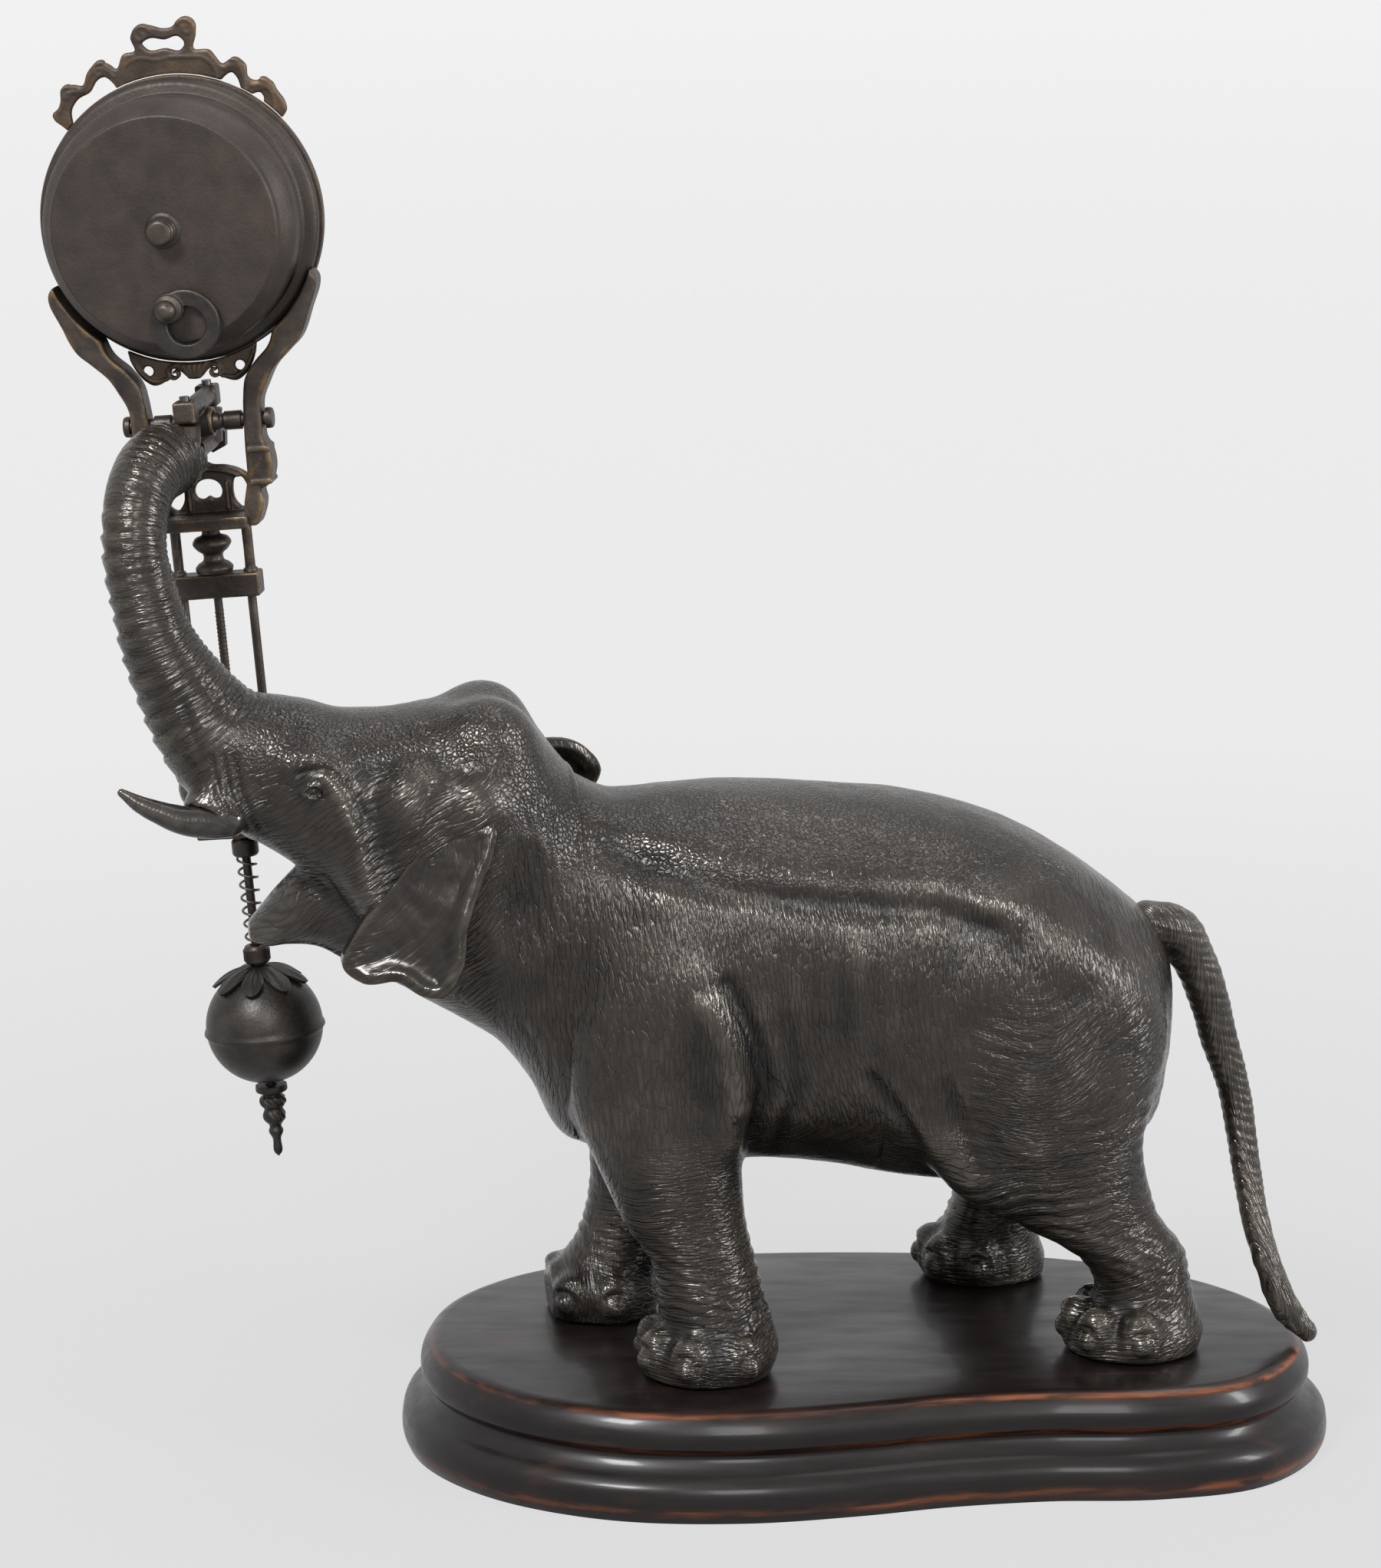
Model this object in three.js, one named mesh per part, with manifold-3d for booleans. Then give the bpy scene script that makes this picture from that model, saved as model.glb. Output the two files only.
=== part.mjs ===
// A figural table clock: a cast elephant on a shaped wooden plinth holds up, on the
// tip of its raised trunk, a swinging clock whose drum rides above two steel points
// and whose rods, spring and ball hang below them.
// Millimetres, +Z up. The origin is the centre of the plinth's underside, the
// elephant faces -X, and the dial faces +Y.

import * as THREE from 'three';
import { mergeVertices } from 'three/addons/utils/BufferGeometryUtils.js';
import Module from 'manifold-3d';

const wasm = await Module();
wasm.setup();

// Clearances
const SEAT_GAP = 0.3;        // between pieces that rest on or against each other
const RUN_GAP = 0.06;        // around a shaft in its hole
const PIVOT_SHORT = 0.15;    // how far an arbor stops short of its plate's outer face
const WELD = 0.2;            // how far joined forms of one piece run into each other
const CUT_PAST = 300;        // the reach of a cut that goes right through

// Plinth
const PLINTH_HEIGHT = 21;
const PLINTH_TOP_OUTLINE = [
  [-86, 2], [-82, -19], [-70.5, -34], [-50, -45], [-25, -47], [-3, -43], [14, -38.3],
  [35, -34.8], [58, -33.6], [74, -28.5], [84, -15.5], [87, 0], [82.5, 18], [68, 35.5],
  [41, 48], [8, 51.6], [-22, 51], [-48, 47.5], [-70, 37], [-82.5, 21],
];
const PLINTH_OUTLINE_STEPS = 44;
const UPPER_BEAD_OUT = 4.2;
const UPPER_BEAD_HEIGHT = 7;
const COVE_OUT = 2.4;
const LOWER_TORUS_OUT = 8;
const LOWER_TORUS_HEIGHT = 11;

// Foot studs that hold the casting down
const STUD_RADIUS = 2;
const STUD_IN_FOOT = 7;
const NUT_FLATS = 7;
const NUT_HEIGHT = 3;
const STUD_PAST_NUT = 0.8;
const WASHER_RADIUS = 4.6;
const WASHER_HEIGHT = 0.8;
const NUT_POCKET_RADIUS = 5.6;
const NUT_POCKET_DEPTH = 7;

// Elephant: its own frame stands on the plinth, turned about the vertical, with x
// from the head to the tail, y away from the viewer and z up
const ELEPHANT_TURN = 8;
const ELEPHANT_AT = [-12, 0];
const SKIN_WALL = 5;
const NECK_SEAM = -48.3;
const NECK_CUT_FOOT_Z = 60;
const BODY_SQUARENESS = 2.25;

// Swinging clock: its own frame has its origin on the line through the two points
const SWING_AT = [-132.7, 11, 207.9];
const SWING_TURN = -7;
const SWING_LEAN = -5.1;
const POINT_SPACING = 21;

// Wheel train, from which the drum takes its size
const ADDENDUM = 0.8;
const DEDENDUM = 1.15;
const GREAT_TEETH = 36;
const GREAT_MODULE = 0.4533;
const GREAT_TIP_RADIUS = GREAT_MODULE * (GREAT_TEETH / 2 + ADDENDUM);
const CENTRE_TEETH = 36;
const CENTRE_MODULE = 0.385;
const CENTRE_TIP_RADIUS = CENTRE_MODULE * (CENTRE_TEETH / 2 + ADDENDUM);
const BARREL_RADIUS = 7.3;
const BARREL_TO_CENTRE_WHEEL = 0.462;
const WIND_ARBOR_DROP = BARREL_RADIUS + BARREL_TO_CENTRE_WHEEL + CENTRE_TIP_RADIUS;

// Drum
const CAN_WALL = 0.8;
const GREAT_WHEEL_TO_CAN = 0.678;
const CAN_RADIUS = WIND_ARBOR_DROP + GREAT_TIP_RADIUS + GREAT_WHEEL_TO_CAN + CAN_WALL;
const CAN_BACK = -13;
const CAN_BACK_ROUND = 3;
const CAN_BAND_BACK = 0.4;
const CAN_FLANGE_OUT = 3;
const CAN_FLANGE_RADIUS = CAN_RADIUS + CAN_FLANGE_OUT;
const DRUM_FOOT_Z = 11.3;
const DRUM_CENTRE_Z = DRUM_FOOT_Z + CAN_FLANGE_RADIUS;
const DRUM_STEPS = 36;
const BEZEL_SEAT = CAN_RADIUS + SEAT_GAP;
const BEZEL_WALL = 3.1;
const BEZEL_RADIUS = BEZEL_SEAT + BEZEL_WALL;
const BEZEL_FRONT = 11.2;
const BEZEL_BACK = 4.6;
const BEZEL_LIP = 0.8;
const GLASS_SIDE_GAP = 0.7;
const GLASS_RADIUS = BEZEL_SEAT - GLASS_SIDE_GAP;
const GLASS_THICKNESS = 0.9;
const GLASS_RIM_AT = 9;
const GLASS_DOME = 1.2;
const DIAL_SIDE_GAP = 0.5;
const DIAL_RADIUS = BEZEL_SEAT - DIAL_SIDE_GAP;
const DIAL_AT = 6.2;
const DIAL_THICKNESS = 0.6;

// Movement
const PLATE_SIDE_GAP = 1.8;
const PLATE_RADIUS = CAN_RADIUS - CAN_WALL - PLATE_SIDE_GAP;
const PLATE_THICKNESS = 1;
const FRONT_PLATE_AT = 0.6;
const BACK_PLATE_AT = -9.6;
const PILLAR_RADIUS = 1.3;
const PILLAR_CIRCLE = PLATE_RADIUS - 2.1;
const PILLAR_ANGLES = [75, 165, 205, 335];
const SECOND_PINION_LEAVES = 6;
const SECOND_TEETH = 30;
const SECOND_MODULE = 0.4533;
const CENTRE_PINION_LEAVES = 6;
const THIRD_PINION_LEAVES = 6;
const THIRD_TEETH = 30;
const THIRD_MODULE = 0.406;
const ESCAPE_PINION_LEAVES = 6;
const ESCAPE_TEETH = 20;
const ESCAPE_RADIUS = 4.6;
const ANCHOR_AT = [9, 14];
const ESCAPE_BELOW_ANCHOR = 6.6;
const WHEEL_THICKNESS = 0.8;
const ARBOR_RADIUS = 0.55;
const CENTRE_ARBOR_RADIUS = 0.8;
const WIND_ARBOR_RADIUS = 1.3;
const BARREL_HEIGHT = 4.4;
const BARREL_WALL = 0.5;
const MAINSPRING_TURNS = 5;
const MAINSPRING_THICKNESS = 0.25;
const RATCHET_TEETH = 16;
const RATCHET_RADIUS = 3.9;
const RATCHET_Y = BACK_PLATE_AT - 1.1;
const CLICK_AT = [-6.4, -15.4];
const CLICK_PIN_RADIUS = 0.5;
const SHORT_PENDULUM_LENGTH = 20;
const SHORT_PENDULUM_DISC = 3.2;

// Motion work and hands
const CANNON_TEETH = 8;
const MINUTE_TEETH = 24;
const MINUTE_PINION_TEETH = 8;
const HOUR_TEETH = 32;
const MOTION_CENTRES = 7.2;
const CANNON_RADIUS = 1.15;
const HOUR_PIPE_RADIUS = 1.85;
const MINUTE_HAND_LENGTH = 19.5;
const HOUR_HAND_LENGTH = 13.5;
const HOUR_HAND_TURN = -60;
const MINUTE_HAND_TURN = 60;

// Knob and winding ring at the back
const KNOB_RADIUS = 2.7;
const KNOB_LENGTH = 3.6;
const RING_OUTER = 6.9;
const RING_HOLE = 4.2;
const RING_THICKNESS = 1.6;
const RING_OFFSET = [2.9, -3.3];
const RING_BOSS = 3;
const BALL_NUT_RADIUS = 2.2;

// Yoke and suspension
const ARM_HALF_DEPTH = 3;
const ARM_OUTLINE = [
  [26.8, 27.4], [24.8, 19.8], [22.4, 14.8], [19.6, 12.2], [16.6, 9.2], [14.9, 6.2],
  [13.6, 3.6], [13.2, -2], [13.2, -4.6], [14, -6.2], [14, -12.4], [13, -14], [11.9, -14.4],
  [12, -17], [11.4, -19.4], [9.9, -21.8], [9.1, -21.8], [9.2, -11], [9.5, -2], [10, 4],
  [10.6, 7.4], [12.8, 10.8], [16, 14], [18, 20], [23, 30],
];
const ORNAMENT_HALF_OUTLINE = [
  [0, 7.8], [1.4, 8.2], [2.9, 9.6], [4.3, 10.2], [5, 8.8], [6.2, 7.6], [8.4, 7], [10, 7.9],
  [12.2, 11], [13.2, 15.6],
];
const ORNAMENT_HOLE_RADIUS = 1;
const ORNAMENT_HOLE_AT = 9.3;
const ORNAMENT_HOLE_Z = 10;
const ORNAMENT_HALF_DEPTH = 0.7;
const ORNAMENT_AT = 1.5;
// The crest's outline and piercings, with z from the top of the bezel
const CREST_OUTLINE = [
  [-24.2, -6.3], [-22.1, -4.3], [-22.1, -2.7], [-21, -1], [-19.4, -0.5], [-17.4, -0.9],
  [-16.3, 1.5], [-15, 2.9], [-13.2, 3.5], [-11.6, 2.9], [-10.4, 1.9], [-8.6, 4.7],
  [-6.2, 5.1], [-6.8, 7.9], [-5.6, 9.6], [-3.2, 10], [0, 9.1], [1.7, 9.3], [3, 10.5],
  [4.9, 10.8], [6.3, 9.9], [6.4, 7.7], [5.6, 4.7], [8.9, 4.2], [9.9, 2.7],
  [11, 1.3], [12.6, 2.1], [14.4, 2.1], [15.7, 0.9], [16, -1.7], [17.2, -2.4], [19, -2.1],
  [20.6, -2.8], [21.4, -4.5], [22.8, -6.9], [23.2, -9.1], [18, -15.7], [-18, -15.7],
];
const CREST_GAPS = [
  [
    [-4.6, 6.5], [-3, 7.3], [0, 6.9], [2.8, 7.3], [3.9, 5.9], [3, 4.7], [0, 5.2],
    [-3.4, 5.1],
  ],
  [
    [-20, -5.3], [-18.6, -3.5], [-16, -2.3], [-14.2, 0], [-13, 0.5], [-11.4, -0.7],
    [-11, -7.7], [-19, -10.7],
  ],
  [[10.7, -1.7], [12.9, -0.6], [13.7, -1.7], [14.2, -3.6], [13.6, -7.7], [10.7, -6.7]],
  [[16.7, -5], [18.1, -4.9], [18.6, -5.8], [18.3, -7.1], [17, -9.7], [16.4, -8.7]],
];
const CREST_AT = 6.6;
const CREST_HALF_DEPTH = 0.7;
const CROSS_SHAFT_Z = -0.7;
const CROSS_SHAFT_RADIUS = 1.4;
const CROSS_SHAFT_END = 15.1;
const SHAFT_HEAD_RADIUS = 2.1;
const SHAFT_HEAD_LENGTH = 1.3;
const SHAFT_COLLAR_RADIUS = 1.9;
const PIVOT_BAR_Z = 3.1;
const PIVOT_BAR_RADIUS = 1.9;
const PIVOT_END_RADIUS = 2.2;
const PIVOT_END_LENGTH = 4.2;
const HUB_RADIUS = 3;
const HUB_HALF_LENGTH = 3.2;
const PIVOT_BAR_END = 12.6;
const POINT_RADIUS = 1;
const POINT_TOP_Z = 6.2;
const CUP_RADIUS = 2.6;
const CUP_TOP_Z = 0.5;
const BRACKET_ARM_TOP = -4.4;
const BRACKET_ARM_RADIUS = 1.8;
const BRACKET_NUT_RADIUS = 2.9;
const BRACKET_NUT_LENGTH = 2.2;

// Rod frame below the yoke
const FIRST_BAR = { z: [-21.8, -19.2], half: 8.8, y: [-5.5, 4.5] };
const SECOND_BAR = { z: [-36, -31.2], half: 9.2, y: [-2.6, 2.6] };
const THIRD_BAR = { z: [-77, -72.4], half: 9.2, y: [-2.4, 2.4] };
const FOURTH_BAR = { z: [-85.4, -82.8], half: 9.2, y: [-2.4, 2.4] };
const GALLERY_OUTLINE = [
  [-8.8, -19.6], [-8.8, -12.4], [-7, -11], [-4, -9.9], [-1.2, -9.6], [0, -9.1], [1.2, -9.6],
  [4, -9.9], [7, -11], [8.8, -12.4], [8.8, -19.6],
];
const GALLERY_ARCH = [
  [-2.8, -14.9], [-2.2, -13.4], [-1.1, -12.7], [1.1, -12.7], [2.2, -13.4], [2.8, -14.9],
  [2.3, -16.2], [1, -16.5], [0, -15.9], [-1, -16.5], [-2.3, -16.2],
];
const GALLERY_SIDE = [
  [5, -14.4], [5.6, -12.6], [6.9, -12.4], [7.8, -13.8], [7.8, -17.9], [6.6, -18.5], [5.6, -17.6],
];
const GALLERY_Y = [1.6, 3.4];
const SHORT_ROD_AT = 7.3;
const SHORT_ROD_RADIUS = 1.05;
const LONG_ROD_AT = 6.95;
const ROD_RADIUS = 0.9;
const ROD_IN_BAR = 3;
const STEM_IN_BAR = 1.6;
const STEM_RADIUS = 0.95;
const BORE_RADIUS = STEM_RADIUS + SEAT_GAP;
// The turned beads between two bars: [radius, share of the height]
const VASE_BEADS = [
  [3.6, 0], [3.8, 0.1], [3.2, 0.19], [2.1, 0.28], [2, 0.4], [3.2, 0.53], [3.9, 0.67],
  [3.4, 0.78], [1.9, 0.87], [1.8, 1],
];
const LOWER_VASE_BEADS = [[3.4, 0], [2.6, 0.2], [2, 0.5], [3.2, 0.8], [2.6, 1]];

// Spring, ball and nut at the foot of the stem, each below the one before
const COLLAR_GAP = 0.4;
const COLLAR_HEIGHT = 3.6;
const COLLAR_TOP_Z = FOURTH_BAR.z[0] - COLLAR_GAP;
const COLLAR_FOOT_Z = COLLAR_TOP_Z - COLLAR_HEIGHT;
const COLLAR_RADIUS = 2.7;
const SPRING_LENGTH = 18.1;
const SPRING_TOP_Z = COLLAR_FOOT_Z - SEAT_GAP;
const SPRING_FOOT_Z = SPRING_TOP_Z - SPRING_LENGTH;
const SPRING_COIL_RADIUS = 1.8;
const SPRING_WIRE_RADIUS = 0.26;
const SPRING_CURLS = 6.5;
const SPRING_STEPS_PER_CURL = 8;
const RING_NUT_HEIGHT = 3.8;
const RING_NUT_TOP_Z = SPRING_FOOT_Z - SEAT_GAP;
const RING_NUT_FOOT_Z = RING_NUT_TOP_Z - RING_NUT_HEIGHT;
const RING_NUT_RADIUS = 2.75;
const LEAVES = 8;
const LEAF_TIP = 44;
const LEAF_NOTCH = 30;
const LEAF_THICKNESS = 0.7;
const CAP_TO_NUT = 0.2;
const BALL_RADIUS = 11.9;
const BALL_CENTRE_Z = RING_NUT_FOOT_Z - CAP_TO_NUT - LEAF_THICKNESS - SEAT_GAP - BALL_RADIUS;
const BELT_OUT = 0.5;
const BELT_HALF_HEIGHT = 1;
const BELT_BELOW_CENTRE = 0.6;
const NUT_TO_BALL = 0.7;
const FINIAL_LENGTH = 15.3;
const STEM_IN_NUT = 4.4;
const NUT_TRAVEL_ROOM = 3.4;
const FINIAL_TOP_Z = BALL_CENTRE_Z - BALL_RADIUS - NUT_TO_BALL;
const FINIAL_TIP_Z = FINIAL_TOP_Z - FINIAL_LENGTH;
const STEM_END_Z = FINIAL_TOP_Z - STEM_IN_NUT;
const NUT_BORE_END_Z = STEM_END_Z - NUT_TRAVEL_ROOM;
// The finial's beads from its tip to its top: [radius, share of its length]
const FINIAL_BEADS = [
  [0, 0], [0.7, 0.05], [0.9, 0.26], [1.5, 0.36], [1.2, 0.42], [2.2, 0.53], [2.2, 0.61],
  [1.9, 0.67], [2.5, 0.725], [2.5, 0.82], [1.9, 0.87], [3.2, 0.92], [3.2, 1],
];

// Finishes
function finish(color, roughness, metalness) {
  return new THREE.MeshStandardMaterial({ color, roughness, metalness });
}
const FINISHES = {
  wood: () => finish(0x1b1614, 0.35, 0),
  bronze: () => finish(0x35322f, 0.45, 0.7),
  case: () => finish(0x3f3733, 0.55, 0.6),
  brown: () => finish(0x40352f, 0.5, 0.65),
  brass: () => finish(0x8a6a3a, 0.4, 0.9),
  steel: () => finish(0x5c5a58, 0.4, 0.9),
  dial: () => finish(0xe6e0d0, 0.6, 0),
  glass: () => finish(0xdfe6e8, 0.05, 0),
};

// Solids: a closed geometry becomes a solid that can be joined and cut
function toSolid(geometry) {
  const bare = new THREE.BufferGeometry();
  bare.setAttribute('position', geometry.getAttribute('position').clone());
  if (geometry.getIndex()) {
    bare.setIndex(geometry.getIndex().clone());
  }
  const merged = mergeVertices(bare, 1e-4);
  return new wasm.Manifold(new wasm.Mesh({
    numProp: 3,
    vertProperties: Float32Array.from(merged.getAttribute('position').array),
    triVerts: Uint32Array.from(merged.getIndex().array),
  }));
}

function toGeometry(solid) {
  const mesh = solid.getMesh();
  const geometry = new THREE.BufferGeometry();
  geometry.setAttribute('position', new THREE.BufferAttribute(mesh.vertProperties, 3));
  geometry.setIndex(new THREE.BufferAttribute(mesh.triVerts, 1));
  geometry.computeVertexNormals();
  return geometry;
}

function join(...geometries) {
  return geometries.map(toSolid).reduce((sum, next) => sum.add(next));
}

function cut(solid, ...geometries) {
  return geometries.map(toSolid).reduce((rest, next) => rest.subtract(next), solid);
}

function mainBody(solid) {
  // The largest body of a cut piece, without the crumbs that a cut can leave
  return solid.decompose().reduce((best, next) => (next.volume() > best.volume() ? next : best));
}

function addMesh(group, name, shape, finishName) {
  const geometry = shape.isBufferGeometry ? shape : toGeometry(shape);
  const mesh = new THREE.Mesh(geometry, FINISHES[finishName]());
  mesh.name = name;
  group.add(mesh);
  return mesh;
}

// Basic forms
function turnedY(profile, steps = 24, at = [0, 0]) {
  // A turned form on an axis along +Y: profile is [radius, y] from one end on the
  // axis to the other
  const points = profile.map(([radius, y]) => new THREE.Vector2(radius, y));
  const geometry = new THREE.LatheGeometry(points, steps);
  geometry.translate(at[0], 0, at[1]);
  return geometry;
}

function turnedZ(profile, steps = 20, at = [0, 0]) {
  // The same on an axis along +Z: profile is [radius, z]
  const points = profile.map(([radius, z]) => new THREE.Vector2(radius, z));
  const geometry = new THREE.LatheGeometry(points, steps);
  geometry.rotateX(Math.PI / 2);
  geometry.translate(at[0], at[1], 0);
  return geometry;
}

function rodY(radius, y0, y1, at = [0, 0], steps = 12) {
  return turnedY([[0, y0], [radius, y0], [radius, y1], [0, y1]], steps, at);
}

function rodZ(radius, z0, z1, at = [0, 0], steps = 12) {
  return turnedZ([[0, z0], [radius, z0], [radius, z1], [0, z1]], steps, at);
}

function rodX(radius, x0, x1, at = [0, 0], steps = 12) {
  const geometry = rodZ(radius, x0, x1, [0, 0], steps);
  geometry.rotateY(Math.PI / 2);
  geometry.translate(0, at[0], at[1]);
  return geometry;
}

function block(x, y, z) {
  const geometry = new THREE.BoxGeometry(x[1] - x[0], y[1] - y[0], z[1] - z[0]);
  geometry.translate((x[0] + x[1]) / 2, (y[0] + y[1]) / 2, (z[0] + z[1]) / 2);
  return geometry;
}

function plateXZ(points, y0, y1, holes = []) {
  // A flat plate whose outline lies in X and Z, from y0 to y1
  const toPath = (list) => list.map(([x, z]) => new THREE.Vector2(x, z));
  const shape = new THREE.Shape(toPath(points));
  holes.forEach((hole) => shape.holes.push(new THREE.Path(toPath(hole))));
  const geometry = new THREE.ExtrudeGeometry(shape, {
    depth: y1 - y0,
    bevelEnabled: false,
  });
  geometry.rotateX(Math.PI / 2);
  geometry.translate(0, y1, 0);
  return geometry;
}

function mirrored(points) {
  return points.map(([x, z]) => [-x, z]);
}

function shifted(points, at) {
  return points.map(([x, z]) => [x + at[0], z + at[1]]);
}

function smoothOutline(points, steps) {
  const corners = points.map(([x, y]) => new THREE.Vector3(x, y, 0));
  const curve = new THREE.CatmullRomCurve3(corners, true, 'centripetal');
  return curve.getSpacedPoints(steps).slice(0, steps).map((p) => [p.x, p.y]);
}

function offsetOutline(outline, distance) {
  const count = outline.length;
  return outline.map(([x, y], k) => {
    const before = outline[(k + count - 1) % count];
    const after = outline[(k + 1) % count];
    const along = new THREE.Vector2(after[0] - before[0], after[1] - before[1]).normalize();
    return [x + along.y * distance, y - along.x * distance];
  });
}

function signedVolume(points, faces) {
  let sum = 0;
  for (let k = 0; k < faces.length; k += 3) {
    const [a, b, c] = [points[faces[k]], points[faces[k + 1]], points[faces[k + 2]]];
    sum += a.dot(new THREE.Vector3().crossVectors(b, c)) / 6;
  }
  return sum;
}

function loft(rings) {
  // A closed skin over rings of equally many points, capped at both ends
  const count = rings[0].length;
  const points = rings.flat();
  const faces = [];
  for (let k = 0; k + 1 < rings.length; k += 1) {
    for (let i = 0; i < count; i += 1) {
      const a = k * count + i;
      const b = k * count + ((i + 1) % count);
      faces.push(a, b, b + count, a, b + count, a + count);
    }
  }
  const addCap = (ring, offset, turned) => {
    const centre = new THREE.Vector3();
    ring.forEach((p) => centre.add(p));
    points.push(centre.divideScalar(count));
    const last = points.length - 1;
    for (let i = 0; i < count; i += 1) {
      const a = offset + i;
      const b = offset + ((i + 1) % count);
      faces.push(...(turned ? [last, b, a] : [last, a, b]));
    }
  };
  addCap(rings[0], 0, true);
  addCap(rings[rings.length - 1], (rings.length - 1) * count, false);
  if (signedVolume(points, faces) < 0) {
    faces.reverse();
  }
  const geometry = new THREE.BufferGeometry().setFromPoints(points);
  geometry.setIndex(faces);
  return geometry;
}

function oval(centre, side, up, halfSide, halfUp, count, squareness = 2) {
  const power = 2 / squareness;
  return Array.from({ length: count }, (_, k) => {
    const angle = (k / count) * 2 * Math.PI;
    const c = Math.cos(angle);
    const s = Math.sin(angle);
    return centre.clone()
      .addScaledVector(side, Math.sign(c) * Math.abs(c) ** power * halfSide)
      .addScaledVector(up, Math.sign(s) * Math.abs(s) ** power * halfUp);
  });
}

const SIDE = new THREE.Vector3(0, 1, 0);
const AHEAD = new THREE.Vector3(1, 0, 0);
const UP = new THREE.Vector3(0, 0, 1);

function bodyLoft(stations, count, squareness, shrink = 0) {
  // Upright rings along x: [x, top z, bottom z, half width, centre y]
  return loft(stations.map(([x, top, bottom, half, y = 0]) => oval(
    new THREE.Vector3(x, y, (top + bottom) / 2), SIDE, UP,
    Math.max(half - shrink, 1), Math.max((top - bottom) / 2 - shrink, 1), count, squareness,
  )));
}

function limbLoft(stations, count) {
  // Level rings up a leg: [z, centre x, centre y, half length in x, half width in y]
  return loft(stations.map(([z, x, y, halfX, halfY]) => oval(
    new THREE.Vector3(x, y, z), AHEAD, SIDE, halfX, halfY, count, 2,
  )));
}

function taperTube(stations, count) {
  // Rings square to a curved centre line: [x, y, z, half width, half height]
  const places = stations.map(([x, y, z]) => new THREE.Vector3(x, y, z));
  return loft(stations.map(([, , , radius, rise = radius], k) => {
    const before = places[Math.max(k - 1, 0)];
    const after = places[Math.min(k + 1, places.length - 1)];
    const along = after.clone().sub(before).normalize();
    const up = new THREE.Vector3().crossVectors(SIDE, along).normalize();
    const side = new THREE.Vector3().crossVectors(along, up).normalize();
    return oval(places[k], side, up, radius, rise, count);
  }));
}

// Gears: teeth are plain trapezoids, thinner than half the pitch for backlash
const TOOTH_SHARE = 0.4;
const TIP_SHARE = 0.2;
function gearOutline(teeth, module_, phase) {
  const pitch = (2 * Math.PI) / teeth;
  const radius = (teeth * module_) / 2;
  const root = radius - DEDENDUM * module_;
  const tip = radius + ADDENDUM * module_;
  const points = [];
  for (let k = 0; k < teeth; k += 1) {
    const middle = phase + k * pitch;
    const corners = [
      [root, -TOOTH_SHARE * 0.62], [tip, -TIP_SHARE * 0.62],
      [tip, TIP_SHARE * 0.62], [root, TOOTH_SHARE * 0.62],
    ];
    corners.forEach(([r, share]) => {
      const angle = middle + share * pitch;
      points.push([r * Math.cos(angle), r * Math.sin(angle)]);
    });
  }
  return points;
}

function meshPhase(from, to, teethFrom, phaseFrom, teethTo) {
  // The turn that puts a gap of the second gear where the first has a tooth, on the
  // line between their centres
  const line = Math.atan2(to[1] - from[1], to[0] - from[0]);
  const pitchFrom = (2 * Math.PI) / teethFrom;
  const pitchTo = (2 * Math.PI) / teethTo;
  const along = (line - phaseFrom) / pitchFrom;
  const past = along - Math.round(along);
  return line + Math.PI + past * pitchTo + pitchTo / 2;
}

function crossing(a, reachA, b, reachB, side) {
  // The point at the given distances from two others, on one side of their line
  const dx = b[0] - a[0];
  const dz = b[1] - a[1];
  const apart = Math.hypot(dx, dz);
  const along = (reachA ** 2 - reachB ** 2 + apart ** 2) / (2 * apart);
  const off = side * Math.sqrt(reachA ** 2 - along ** 2);
  return [
    a[0] + (dx * along - dz * off) / apart,
    a[1] + (dz * along + dx * off) / apart,
  ];
}

const model = new THREE.Group();
const elephant = new THREE.Group();
elephant.position.set(ELEPHANT_AT[0], ELEPHANT_AT[1], 0);
elephant.rotation.z = THREE.MathUtils.degToRad(ELEPHANT_TURN);
const swing = new THREE.Group();
swing.rotation.order = 'ZYX';
swing.position.set(...SWING_AT);
swing.rotation.z = THREE.MathUtils.degToRad(SWING_TURN);
swing.rotation.y = THREE.MathUtils.degToRad(SWING_LEAN);
model.add(elephant, swing);

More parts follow.
